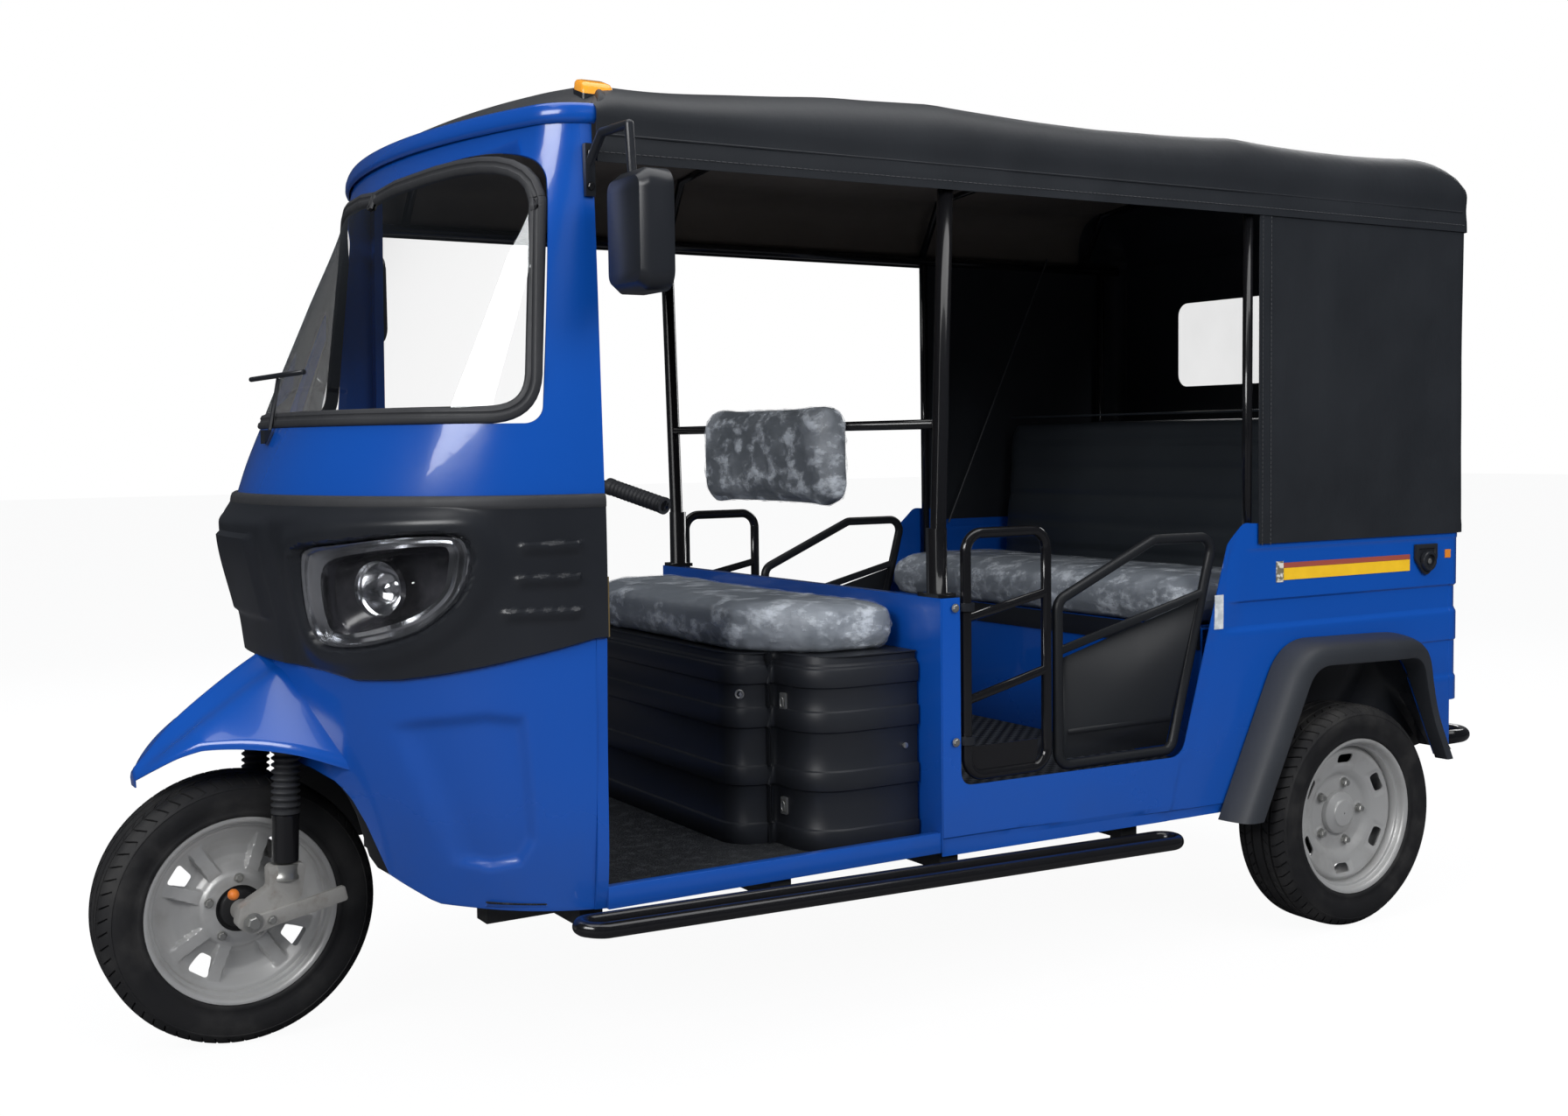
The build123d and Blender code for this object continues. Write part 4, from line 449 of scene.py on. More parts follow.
ARCH_LINE = [
    (POST + 0.020, 0.300), (POST + 0.238, 0.300), (POST + 0.270, 0.322), (POST + 0.297, 0.342),
    (POST + 0.312, 0.366), (POST + 0.333, 0.445), (POST + 0.350, 0.484), (POST + 0.366, 0.508),
    (POST + 0.388, 0.524), (POST + 0.460, 0.529),
]
MASK_LINE = [
    (POST + 0.023, 0.783), (POST + 0.141, 0.757), (POST + 0.241, 0.732), (POST + 0.314, 0.713),
    (POST + 0.363, 0.707), (POST + 0.400, 0.720), (POST + 0.600, 0.745),
]
CHEEK_PANEL = [
    # the stamped panel seen from the side, counter-clockwise
    (0.952, 0.432), (0.972, 0.386), (1.020, 0.371), (1.066, 0.380), (1.110, 0.470),
    (1.148, 0.600), (1.158, 0.628), (1.130, 0.648), (1.040, 0.664), (0.975, 0.656),
]
SKIN = 0.003


def cheek_depth(x, z):
    """How deep the stamped panel lies, with its rounded shoulder."""
    return 0.011 * eased(inside_by(CHEEK_PANEL, x, z), 0.0, 0.024)


def cab_columns(last, counts):
    """Turns round the cab from -last to last, with their counts up to 1, up to 2 and beyond it."""
    half = [0.0]
    for start, end, count in zip((0, 1, 2), (1, 2, last), counts):
        half += [start + (end - start) * k / count for k in range(1, count + 1)]
    return [-t for t in reversed(half[1:])] + half


SHELL_BACK = POST + 0.020
LAST_TURN = 2.93
lower_rows = []
LOWER_STEPS = 62
for step in range(LOWER_STEPS + 1):
    row = []
    for turn in cab_columns(LAST_TURN, (24, 34, 34)):
        low, high = 0.5, 0.75
        for _ in range(6):
            low = along(ARCH_LINE, cab_point(turn, low).x)
            high = along(MASK_LINE, cab_point(turn, high).x) + 0.02
        z = low + (high - low) * step / LOWER_STEPS
        bent = turn
        if abs(turn) > 1:
            bent = copysign(1 + (abs(turn) - 1) * (cab_turn(SHELL_BACK, z) - 1) / (LAST_TURN - 1), turn)
        row.append(cab_point(bent, z, -cheek_depth(cab_point(bent, z).x, z)))
    lower_rows.append(row)
cab_lower = laid("cab_lower_skin", lower_rows)
thickened(cab_lower, SKIN)
rounded(cab_lower, 0.0012, 2, 60)
settle(cab_lower, enamel, "chassis", "cab_lower_shell")
merged("cab_upper_shell", enamel, "chassis")
merged("door_posts", enamel, "chassis")


# ------------------------------------------------------------------ windscreen and its seal
# One bent pane of laminated glass, held in the steel opening by an extruded rubber seal with a
# groove along its middle.
SCREEN_LOW, SCREEN_BACK, SCREEN_TOP, SCREEN_SLOPE = 1.157, POST + 0.076, 1.672, 41 / 92
SEAL_WIDTH = 0.030


def cab_within(point, grow=0.0):
    """How far a point lies inside the grown cab, below zero outside it."""
    half, front_r, corner_r, centre, corner_x, corner_y, lean = cab_plan(point.z, grow)
    x, y = point.x, abs(point.y)
    if x <= corner_x:
        return half - y
    if atan2(y, x - centre) <= lean:
        return front_r - hypot(x - centre, y)
    return corner_r - hypot(x - corner_x, y - corner_y)


def cab_normal(turn, height):
    """The way the cab's surface faces."""
    side = cab_point(turn + 0.01, height) - cab_point(turn - 0.01, height)
    rise = cab_point(turn, height + 0.002) - cab_point(turn, height - 0.002)
    if abs(turn) < 0.01:
        side = Vector((0, 1, 0))
    return side.cross(rise).normalized()


def softened(points, radii, steps=8):
    """An open line of 2-D points with its inner corners rounded."""
    line = [points[0]]
    for k in range(1, len(points) - 1):
        here, radius = Vector(points[k]), radii[k - 1]
        back, on = (Vector(points[k - 1]) - here).normalized(), (Vector(points[k + 1]) - here).normalized()
        half = back.angle(on) / 2
        reach = radius / max(1e-6, sin(half) / cos(half))
        start, end = here + back * reach, here + on * reach
        for n in range(steps + 1):
            t = n / steps
            line.append(tuple(start * (1 - t) ** 2 + here * 2 * t * (1 - t) + end * t ** 2))
    line.append(points[-1])
    return line


def screen_edge(inset, count=26):
    """Half of the opening's outline as (turn, height), from the low middle to the top middle."""
    low, back, top = SCREEN_LOW + inset, SCREEN_BACK + inset, SCREEN_TOP - inset
    far = 1.10
    corner = softened(
        [(far, low), (back + 0.032, low), (back, top - 0.12), (back - 0.004, top),
         (far, top - SCREEN_SLOPE * (far - back))], (0.075, 0.2, 0.085), 10)
    side = [(cab_turn(x, z), z) for x, z in corner]
    under = [(side[0][0] * k / count, low) for k in range(count)]
    over = []
    for k in range(count - 1, -1, -1):
        turn, z = side[-1][0] * k / count, 1.62
        for _ in range(8):
            z = top - SCREEN_SLOPE * (cab_point(turn, z).x - back)
        over.append((turn, z))
    return under + side + over


def screen_loop(inset):
    half = screen_edge(inset)
    return half + [(-turn, z) for turn, z in reversed(half[1:-1])]


rubber = Finish("black_rubber", (0.022, 0.023, 0.026), 0.55)
rubber.put(Roughness=0.45 + rubber.noise(60, 3) * 0.25,
           Base_Color=rubber.mix(rubber.noise(5, 4), (0.015, 0.016, 0.018), (0.035, 0.036, 0.04)))
rubber.relief(rubber.noise(900, 2), 0.0002, 0.3)

SEAL_SHAPE = [
    # across the seal from its outer lip, height over the glass
    (-0.5, -0.6), (-0.5, 0.45), (-0.40, 0.9), (-0.16, 1.0), (-0.10, 0.72), (0.10, 0.72), (0.16, 1.0),
    (0.38, 0.9), (0.5, 0.35), (0.5, -0.6),
]
SEAL_RISE = 0.0075
centre_line = screen_loop(SEAL_WIDTH / 2)
seal_rows = []
for k, (turn, z) in enumerate(centre_line):
    before, after = centre_line[k - 1], centre_line[(k + 1) % len(centre_line)]
    run = (cab_point(*after) - cab_point(*before)).normalized()
    facing = cab_normal(turn, z)
    inward = facing.cross(run).normalized()
    place = cab_point(turn, z)
    seal_rows.append([place + inward * (SEAL_WIDTH * a) + facing * (SEAL_RISE * b) for a, b in SEAL_SHAPE])
seal = laid("windscreen_seal_piece", seal_rows + seal_rows[:1], ring=True)
settle(seal, rubber, "chassis", "windscreen_seal", sharp=50)

screen_glass = Finish("clear_screen", (0.92, 0.95, 0.96), 0.03, Metallic=1.0)
graze = screen_glass.node("ShaderNodeLayerWeight", Blend=0.32)
streak = screen_glass.noise(3.0, 3, (1, 1, 0.25))
screen_glass.put(Alpha=Sum(screen_glass.tree, graze.outputs["Fresnel"]) * 0.85 + 0.035 + streak * 0.02,
                 Roughness=0.02 + streak * 0.03)
PANE_IN, PANE_STEPS = 0.021, 40
pane_rows = []
for step in range(PANE_STEPS + 1):
    z_share = step / PANE_STEPS
    row = []
    for k in range(-PANE_STEPS, PANE_STEPS + 1):
        share = k / PANE_STEPS
        low, high, back = SCREEN_LOW + PANE_IN, SCREEN_TOP - PANE_IN, SCREEN_BACK + PANE_IN
        turn, z = 1.0, 1.3
        for _ in range(6):
            edge_x = back + 0.032 * max(0.0, 1 - (z - low) / 0.37)
            turn = cab_turn(edge_x, z) * share
            ceiling = high - SCREEN_SLOPE * (cab_point(turn, z).x - back)
            z = low + (ceiling - low) * z_share
        row.append(cab_point(turn, z, 0.001))
    pane_rows.append(row)
pane = laid("windscreen_pane", pane_rows)
settle(pane, screen_glass, "chassis", "windscreen")

# ------------------------------------------------------------------ nose mask
# One satin black moulding across the nose and round both cheeks, under a rubber belt strip. It
# has a blunt beak, a lit upper bevel, a raised rim round each lamp, and three pressed louvres.
BELT = 1.022
LAMP_TURN = radians(35.0)
lamp_origin = Vector((POST + 0.315, 0.420, 0.865))
lamp_across = Vector((-sin(LAMP_TURN), cos(LAMP_TURN), 0))
lamp_ahead = Vector((cos(LAMP_TURN), sin(LAMP_TURN), 0))
LAMP_EDGE = [
    (-0.203, 0.053), (-0.179, 0.077), (-0.086, 0.088), (0.052, 0.102), (0.142, 0.102), (0.164, 0.087),
    (0.166, 0.053), (0.152, 0.012), (0.119, -0.027), (0.058, -0.065), (-0.040, -0.092),
    (-0.127, -0.100), (-0.180, -0.089), (-0.205, -0.042)]
LAMP_WINDOW = [
    (-0.152, 0.028), (-0.125, 0.054), (-0.062, 0.068), (0.020, 0.078), (0.105, 0.084), (0.124, 0.076),
    (0.122, 0.050), (0.112, 0.012), (0.088, -0.014), (0.045, -0.038), (-0.030, -0.060),
    (-0.112, -0.074), (-0.146, -0.064), (-0.156, -0.022)]


def loop_through(points, count):
    """A smooth closed line through 2-D points."""
    line = []
    total = len(points)
    for k in range(count):
        at = k * total / count
        n, t = int(at), at - int(at)
        p = [Vector(points[(n + j - 1) % total]) for j in range(4)]
        line.append(tuple(0.5 * (2 * p[1] + (p[2] - p[0]) * t
                                 + (2 * p[0] - 5 * p[1] + 4 * p[2] - p[3]) * t * t
                                 + (3 * p[1] - p[0] - 3 * p[2] + p[3]) * t ** 3)))
    return line


def lamp_point(u, v, deep, side=1):
    """Point in the lamp's face plane, `deep` in front of it."""
    place = lamp_origin + lamp_across * u + Vector((0, 0, v)) + lamp_ahead * deep
    return Vector((place.x, side * place.y, place.z))


def lamp_face(u, v, grow, side=1):
    """Where the lamp's line of sight leaves the grown cab."""
    near, far = -0.20, 0.20
    for _ in range(24):
        middle = (near + far) / 2
        if cab_within(lamp_point(u, v, middle), grow) > 0:
            near = middle
        else:
            far = middle
    return lamp_point(u, v, near, side)


LAMP_COUNT = 84
lamp_edge, lamp_window = loop_through(LAMP_EDGE, LAMP_COUNT), loop_through(LAMP_WINDOW, LAMP_COUNT)


def beyond_lamp(point):
    """How far a point of the skin lies outside the lamp's edge, below zero inside it."""
    away = Vector((point.x, abs(point.y), point.z)) - lamp_origin
    if away.dot(lamp_ahead) < -0.25:
        return 9.0
    here = Vector((away.dot(lamp_across), away.z))
    if abs(here.x) > 0.30 or abs(here.y) > 0.20:
        return 9.0
    closest, crossings = 9.0, 0
    for a, b in zip(lamp_edge, lamp_edge[1:] + lamp_edge[:1]):
        a, b = Vector(a), Vector(b)
        t = min(1.0, max(0.0, (here - a).dot(b - a) / (b - a).length_squared))
        closest = min(closest, (here - a - (b - a) * t).length)
        if (a.y > here.y) != (b.y > here.y) and here.x < a.x + (here.y - a.y) * (b.x - a.x) / (b.y - a.y):
            crossings += 1
    return -closest if crossings % 2 else closest


LOUVRES = [
    # height, front end, back end, along the car
    (0.952, 0.999, 0.889), (0.896, 1.006, 0.889), (0.838, 1.026, 0.889)]
MASK_RISE = 0.009


def mask_rise(point):
    """How far the mask stands off the cab's skin at a place."""
    y, z = abs(point.y), point.z
    fade = eased(point.x, 1.00, 1.16)
    crest = 0.986
    bevel = eased(z, BELT + 0.002, crest) if z > crest else eased(z, 0.78, crest)
    rise = MASK_RISE + 0.014 * fade * bevel
    rise += 0.008 * (1 - eased(y, 0.150, 0.176)) * (1 - eased(z, crest - 0.008, crest + 0.014))
    rise += 0.009 * (1 - eased(y, 0.112, 0.124)) * eased(z, 0.800, 0.812) * (1 - eased(z, 0.955, 0.963))
    rim = beyond_lamp(point)
    if rim < 0.09:
        rise += 0.007 * eased(rim, 0.0, 0.008) * (1 - eased(rim, 0.020, 0.055))
        rise -= (rise - MASK_RISE + 0.003) * (1 - eased(rim, 0.0, 0.006))
    for height, front, back in LOUVRES:
        over = z - height
        if -0.030 < over < 0.006 and back < point.x < front:
            ends = eased(point.x, back, back + 0.006) * (1 - eased(point.x, front - 0.022, front))
            rise += 0.0085 * ends * (eased(over, -0.026, -0.002) - eased(over, -0.001, 0.003))
    return rise


def mottled(name, colour, roughness, drift, dark, light, rough, spread, grain=None):
    """A finish whose colour and roughness drift together, with a fine grain of (noise, depth, strength)."""
    finish = Finish(name, colour, roughness)
    tone = finish.noise(*drift)
    finish.put(Base_Color=finish.mix(tone, dark, light), Roughness=rough + tone * spread)
    if grain:
        fine, depth, strength = grain
        finish.relief(finish.noise(*fine), depth, strength)
    return finish


black_moulding = mottled("black_moulding", (0.012, 0.014, 0.017), 0.32, (4.0, 4), (0.007, 0.008, 0.010),
                         (0.019, 0.021, 0.026), 0.24, 0.15, ((700, 2), 0.0002, 0.22))

mask_sides = cab_columns(2.925, (44, 54, 34))
MASK_STEPS = 66
mask_rows = []
for step in range(-2, MASK_STEPS + 1):
    row = []
    for turn in mask_sides:
        low = 0.75
        for _ in range(6):
            low = along(MASK_LINE, cab_point(turn, low, MASK_RISE).x)
        share = max(0, step) / MASK_STEPS
        z = low + (BELT - low) * share
        rise = mask_rise(cab_point(turn, z, MASK_RISE))
        if step <= 0:
            rise = (0.0005, 0.6 * rise, rise)[step + 2]
            z += (0, 0.0005, 0.003)[step + 2]
        row.append(cab_point(turn, z, rise))
    mask_rows.append(row)
mask = laid("nose_mask_piece", mask_rows)
thickened(mask, 0.0025)


def lamp_plug(outline, near, far, side):
    """A plug with the lamp's outline, used as a cutter."""
    rows = [[lamp_point(u, v, deep, side) for u, v in outline] for deep in (near, far)]
    return laid("plug", rows, ring=True, capped=True)


def cut_from(piece, cutter):
    """Cut a plug out of a piece."""
    cut = piece.modifiers.new("cut", "BOOLEAN")
    cut.operation, cut.object, cut.solver = "DIFFERENCE", cutter, "EXACT"


plugs = [lamp_plug(lamp_edge, -0.25, 0.15, side) for side in (1, -1)]
for plug in plugs:
    cut_from(mask, plug)
settle(mask, black_moulding, "chassis", "nose_mask", sharp=42)
for plug in plugs:
    bpy.data.objects.remove(plug)

BELT_HIGH = 0.013
BELT_SHAPE = [(-1, 0.0), (-1, 0.55), (-0.7, 0.95), (-0.2, 1.0), (0.3, 0.98), (0.75, 0.85), (1, 0.45),
              (1, 0.0)]
belt_rows = [
    [cab_point(turn, BELT + BELT_HIGH * a, 0.0005 + 0.0105 * b) for a, b in BELT_SHAPE]
    for turn in mask_sides[::2]]
belt = laid("belt_strip", belt_rows)
settle(belt, rubber, "chassis", sharp=60, slot="rubber")

# ------------------------------------------------------------------ headlamps
# A moulded chromed surround with stepped flutes, a dark bowl with a round reflector and bulb
# behind it, and a clear cover bonded over both.
chrome = Finish("bright_chrome", (0.80, 0.81, 0.83), 0.14, Metallic=1.0)
chrome.put(Roughness=0.10 + chrome.noise(30, 3) * 0.12,
           Base_Color=chrome.mix(chrome.noise(14, 2), (0.62, 0.63, 0.66), (0.90, 0.91, 0.93)))
bowl_black = Finish("dark_bowl", (0.02, 0.02, 0.024), 0.22)
bowl_black.put(Base_Color=bowl_black.mix(bowl_black.noise(40, 3), (0.008, 0.008, 0.01), (0.05, 0.05, 0.06)))
lamp_cover = Finish("lamp_cover", (0.95, 0.96, 0.97), 0.03, Metallic=1.0)
cover_graze = lamp_cover.node("ShaderNodeLayerWeight", Blend=0.30)
lamp_cover.put(Alpha=Sum(lamp_cover.tree, cover_graze.outputs["Fresnel"]) * 0.7 + 0.04,
               Roughness=0.02 + lamp_cover.noise(8, 2) * 0.03)


def blended(first, second, share):
    """An outline a share of the way between two others."""
    return [((1 - share) * a[0] + share * b[0], (1 - share) * a[1] + share * b[1])
            for a, b in zip(first, second)]


def shrunk(outline, share):
    """The outline drawn towards its middle."""
    middle = (sum(p[0] for p in outline) / len(outline), sum(p[1] for p in outline) / len(outline))
    return [(middle[0] + (u - middle[0]) * share, middle[1] + (v - middle[1]) * share) for u, v in outline]


SIDES = ((1, "left"), (-1, "right"))
REFLECTOR = (-0.045, 0.005)
for side, label in SIDES:
    frame_rows = []
    for share, grow in ((-0.02, -0.004), (0.0, 0.008), (0.10, 0.0125), (0.24, 0.011), (0.30, 0.005),
                        (0.62, 0.001), (0.68, 0.006), (0.94, 0.004), (1.0, -0.004), (1.03, -0.030)):
        frame_rows.append([lamp_face(u, v, grow, side) for u, v in blended(lamp_edge, lamp_window, share)])
    surround = laid(f"headlamp_surround_{label}", frame_rows, ring=True)
    settle(surround, chrome, "chassis", "headlamp_frames", sharp=28)
    bowl_rows = [[lamp_face(u, v, -0.028, side) for u, v in lamp_window]]
    for scale, deep in ((0.93, -0.045), (0.80, -0.062), (0.55, -0.070), (0.28, -0.073), (0.02, -0.074)):
        bowl_rows.append([lamp_point(u, v, deep, side) for u, v in shrunk(lamp_window, scale)])
    bowl = laid(f"headlamp_bowl_{label}", bowl_rows, ring=True)
    settle(bowl, bowl_black, "chassis", "headlamp_bowls", sharp=50)
    reflector_rows = []
    for radius, deep in ((0.047, -0.020), (0.050, -0.016), (0.050, -0.030), (0.046, -0.032), (0.036, -0.052),
                         (0.022, -0.062), (0.010, -0.064), (0.009, -0.040), (0.001, -0.036)):
        reflector_rows.append([
            lamp_point(REFLECTOR[0] + radius * cos(turn), REFLECTOR[1] + radius * sin(turn), deep, side)
            for turn in (2 * pi * k / 40 for k in range(40))])
    reflector = laid(f"headlamp_reflector_{label}", reflector_rows, ring=True)
    settle(reflector, chrome, "chassis", slot="chrome")
    cover_rows = [[lamp_face(u, v, grow, side) for u, v in shrunk(lamp_edge, scale)]
                  for scale, grow in ((0.99, 0.009), (0.97, 0.0135), (0.8, 0.0145), (0.5, 0.015),
                                      (0.2, 0.015),
                                      (0.01, 0.015))]
    cover = laid(f"headlamp_cover_{label}", cover_rows, ring=True)
    settle(cover, lamp_cover, "chassis", "headlamp_lenses")

# ------------------------------------------------------------------ front mudguard
# Pressed steel in body colour: a long tongue over the wheel with a centre ridge between two
# shallow flutes, and a rolled skirt along its edge.
GUARD_LINES = [
    # ahead of the axle, half width, lower edge, top of the ridge
    (-0.150, 0.268, 0.520, 0.770), (-0.060, 0.225, 0.552, 0.726), (0.030, 0.160, 0.562, 0.665),
    (0.110, 0.108, 0.553, 0.600), (0.152, 0.062, 0.530, 0.556), (0.172, 0.026, 0.512, 0.536)]
GUARD_WALL = 0.003

guard_rows = []
GUARD_STEPS, GUARD_BACK, GUARD_LENGTH = 60, -0.150, 0.322
for step in range(GUARD_STEPS + 1):
    station = GUARD_BACK + GUARD_LENGTH * step / GUARD_STEPS
    half, edge, ridge = smooth_row(GUARD_LINES, station)
    skirt = min(0.030, (ridge - edge) * 0.45)
    row = []
    for k in range(-36, 37):
        share = abs(k) / 34
        if share <= 1:
            y = half * share
            z = edge + skirt + (ridge - edge - skirt) * (1 - share ** 1.75)
            wide = min(1.0, half / 0.12)
            z += 0.007 * wide * exp(-(y / 0.016) ** 2)
            z -= 0.009 * wide * exp(-((y - 0.052 * wide) / 0.026) ** 2)
        else:
            y = half + 0.002 * (share - 1) * 17
            z = edge + skirt * (2 - (share - 1) * 17) / 2
        row.append(Vector((FRONT + station, y if k > 0 else -y, z)))
    guard_rows.append(row)
tip = guard_rows[-1]
guard_rows.append([Vector((p.x + 0.004, p.y * 0.7, min(p.z, 0.530) - 0.004)) for p in tip])
guard_rows.append([Vector((p.x + 0.003, p.y * 0.6, 0.500)) for p in tip])
mudguard = laid("mudguard", guard_rows)
thickened(mudguard, GUARD_WALL)
rounded(mudguard, 0.0012, 2, 60)
settle(mudguard, enamel, "chassis", "front_fender", sharp=50)


# ------------------------------------------------------------------ canopy and visor
# Black PVC-coated cloth stretched over four tube bows. It sags a little between the bows, rolls
# over a welted seam at each side and rolls down at the back, and ends in a stitched hem.
BODY_BACK = REAR - 0.480
CANOPY_FRONT, CANOPY_BACK = POST - 0.002, BODY_BACK - 0.0071
CANOPY_FRONT_HALF, CANOPY_BACK_HALF, TAPER_END = 0.608, 0.6401, REAR + 0.300
HEM, SHOULDER, SHOULDER_IN, SHOULDER_TOP, ROOF_TOP = 1.605, 1.690, 0.112, 1.788, 1.818
BOWS = [POST - 0.060, REAR + 1.068, REAR + 0.262, REAR - 0.330]


def canopy_half(x):
    share = min(1.0, (CANOPY_FRONT - x) / (CANOPY_FRONT - TAPER_END))
    return CANOPY_FRONT_HALF + (CANOPY_BACK_HALF - CANOPY_FRONT_HALF) * max(0.0, share)


def roof_line(half, count=24):
    """Half of the roof's section from the hem to the middle, as (y, z)."""
    line = [(half, HEM + (SHOULDER - HEM) * k / 8) for k in range(8)]
    round_in = half - SHOULDER_IN
    for k in range(14):
        t = k / 14
        start, knee, end = (half, SHOULDER), (half - 0.004, SHOULDER_TOP - 0.006), (round_in, SHOULDER_TOP)
        line.append(tuple((1 - t) ** 2 * start[n] + 2 * t * (1 - t) * knee[n] + t * t * end[n]
                          for n in (0, 1)))
    for k in range(count + 1):
        y = round_in * (1 - k / count)
        line.append((y, ROOF_TOP - (ROOF_TOP - SHOULDER_TOP) * (y / round_in) ** 2))
    return line


def over_roof(section):
    """A half section's points from the left hem over to the right one, as (side, y, z)."""
    return [(1, y, z) for y, z in section] + [(-1, y, z) for y, z in section[-2::-1]]


def slack(x):
    """Sag of the cloth between its bows, and its fall towards the front bow."""
    sag = 0.010
    fall = 0.033 * eased(x, 0.28, 0.82)
    for front, back in zip(BOWS, BOWS[1:]):
        if back <= x <= front:
            return fall + sag * sin(pi * (front - x) / (front - back)) ** 0.8
    return fall + sag * 0.4 * min(1.0, max(0.0, (BOWS[-1] - x) / 0.15))


vinyl = Finish("black_vinyl", (0.018, 0.020, 0.024), 0.5)
weathering = vinyl.noise(2.2, 5)
dusty = vinyl.noise(9.0, 6)
vinyl.put(
    Base_Color=vinyl.mix(weathering * 0.6 + dusty * 0.3, (0.007, 0.008, 0.010), (0.024, 0.027, 0.032)),
    Roughness=0.40 + weathering * 0.16 + dusty * 0.06)
crease = vinyl.relief(vinyl.noise(6.0, 5, (1.6, 1.6, 0.5)), 0.010, 0.28)
vinyl.relief(vinyl.noise(420, 2), 0.0004, 0.35, under=crease)

CANOPY_WALL = 0.003
BACK_ROLL, SIDE_ROLL = 0.120, 0.045
roof_rows = []
STATIONS = 100
for step in range(STATIONS + 1):
    x = CANOPY_FRONT + (CANOPY_BACK - CANOPY_FRONT) * step / STATIONS
    half = canopy_half(x)
    top_in, side_in = (roll - sqrt(max(0.0, roll ** 2 - max(0.0, CANOPY_BACK + roll - x) ** 2))
                       for roll in (BACK_ROLL, SIDE_ROLL))
    nose_in = 0.022 * (1 - eased(CANOPY_FRONT - x, 0.0, 0.034)) ** 1.5
    row = []
    for side, y, z in over_roof(roof_line(half)):
        level_share = eased(z, SHOULDER - 0.02, SHOULDER_TOP)
        over = eased(z, HEM, SHOULDER)
        flat_z = min(z, ROOF_TOP - top_in)
        if z > SHOULDER:
            flat_z = SHOULDER + (z - SHOULDER) * (1 - top_in / (ROOF_TOP - SHOULDER) * 0.98)
        wave = noise.noise(Vector((x * 2.1, y * 2.6, z * 2.0))) * 0.005
        wave += noise.noise(Vector((x * 7.0, y * 6.0 + 9, z * 6.0))) * 0.0016
        lie = flat_z - slack(x) * level_share - nose_in * level_share - (0.002 - wave) * level_share
        out = y - side_in - 0.004 * over * sin(pi * over) + wave * 0.7 * (1 - level_share)
        out = min(out, half - side_in)
        row.append(Vector((x, side * max(0.0, out), lie)))
    roof_rows.append(row)
last = roof_rows[-1]
for step in range(1, 9):
    share = step / 8
    roof_rows.append([Vector((p.x - 0.0015 * sin(pi * share), p.y, p.z + (HEM - p.z) * share)) for p in last])
roof = laid("canopy_cloth", roof_rows)
thickened(roof, CANOPY_WALL)
settle(roof, vinyl, "chassis", "canopy", sharp=60)

liner = Finish("brown_headlining", (0.10, 0.085, 0.07), 0.8)
liner.put(Base_Color=liner.mix(liner.noise(3, 4), (0.075, 0.062, 0.050), (0.135, 0.115, 0.098)),
          Roughness=0.72 + liner.noise(30, 3) * 0.15)
liner.relief(liner.noise(9, 4), 0.012, 0.3)
liner_rows = []
LINER_STEPS, LINER_FRONT_IN, LINER_BACK_IN = 48, 0.01, 0.16
for step in range(LINER_STEPS + 1):
    x = CANOPY_FRONT - LINER_FRONT_IN
    x += (CANOPY_BACK + LINER_BACK_IN - CANOPY_FRONT + LINER_FRONT_IN) * step / LINER_STEPS
    section = [(y, z) for y, z in roof_line(canopy_half(x), 16) if z > 1.63]
    liner_rows.append([Vector((x, side * y * 0.982, z - 0.0085 - slack(x) * eased(z, SHOULDER, SHOULDER_TOP)))
                       for side, y, z in over_roof(section)])
headlining = laid("headlining", liner_rows)
settle(headlining, liner, "chassis", slot="vinyl_black")

VISOR_Z = 1.7015
rear_section = [(y, z) for y, z in roof_line(CANOPY_FRONT_HALF - 0.004, 30) if z >= VISOR_Z - 0.012]
visor_rows = []
VISOR_STEPS = 32
for step in range(VISOR_STEPS + 1):
    share = step / VISOR_STEPS
    row = []
    count = len(rear_section)
    for side in (1, -1):
        order = range(count) if side > 0 else range(count - 2, -1, -1)
        for k in order:
            y, z = rear_section[k]
            rear = Vector((POST - 0.030, y, z - 0.033 * eased(z, SHOULDER - 0.02, SHOULDER_TOP)))
            turn = 2.75 * (1 - k / (count - 1))
            rim = cab_point(turn, VISOR_Z, 0.008)
            swell = sin(pi * min(1.0, share * 1.1)) * 0.008 * eased(z, VISOR_Z, 1.76)
            point = rear.lerp(rim, share)
            point.z = max(VISOR_Z, point.z + swell)
            row.append(Vector((point.x, side * point.y, point.z)))
    visor_rows.append(row)
visor = laid("visor_cloth", visor_rows)
thickened(visor, CANOPY_WALL)
settle(visor, vinyl, "chassis", sharp=60, slot="vinyl_black")
lip_rows = [[cab_point(turn, z, grow) for turn in (-2.75 + 5.5 * k / 160 for k in range(161))]
            for z, grow in ((1.706, 0.001), (1.705, 0.0060), (1.700, 0.0090), (1.690, 0.0105),
                            (1.680, 0.0095),
                            (1.674, 0.0060), (1.671, 0.0005))]
visor_lip = laid("visor_lip", lip_rows)
settle(visor_lip, enamel, "chassis", slot="blue_paint", sharp=50)

# ------------------------------------------------------------------ welts and hems of the cloth
# Folded piping where the roof meets its side flap, and a run of stitches along each hem.
PIPE_Z = 1.652


def pipe_along(name, points, radius, finish, slot, steps=8, nodes=(), body="chassis"):
    """A round cord, rod or tube that follows points."""
    curve = bpy.data.curves.new(name, "CURVE")
    curve.dimensions, curve.bevel_depth, curve.bevel_resolution = "3D", radius, steps // 4
    curve.use_fill_caps = True
    run = curve.splines.new("POLY")
    run.points.add(len(points) - 1)
    for spot, point in zip(run.points, points):
        spot.co = (*point, 1)
    return settle(placed(name, curve), finish, body, *nodes, slot=slot, sharp=60)


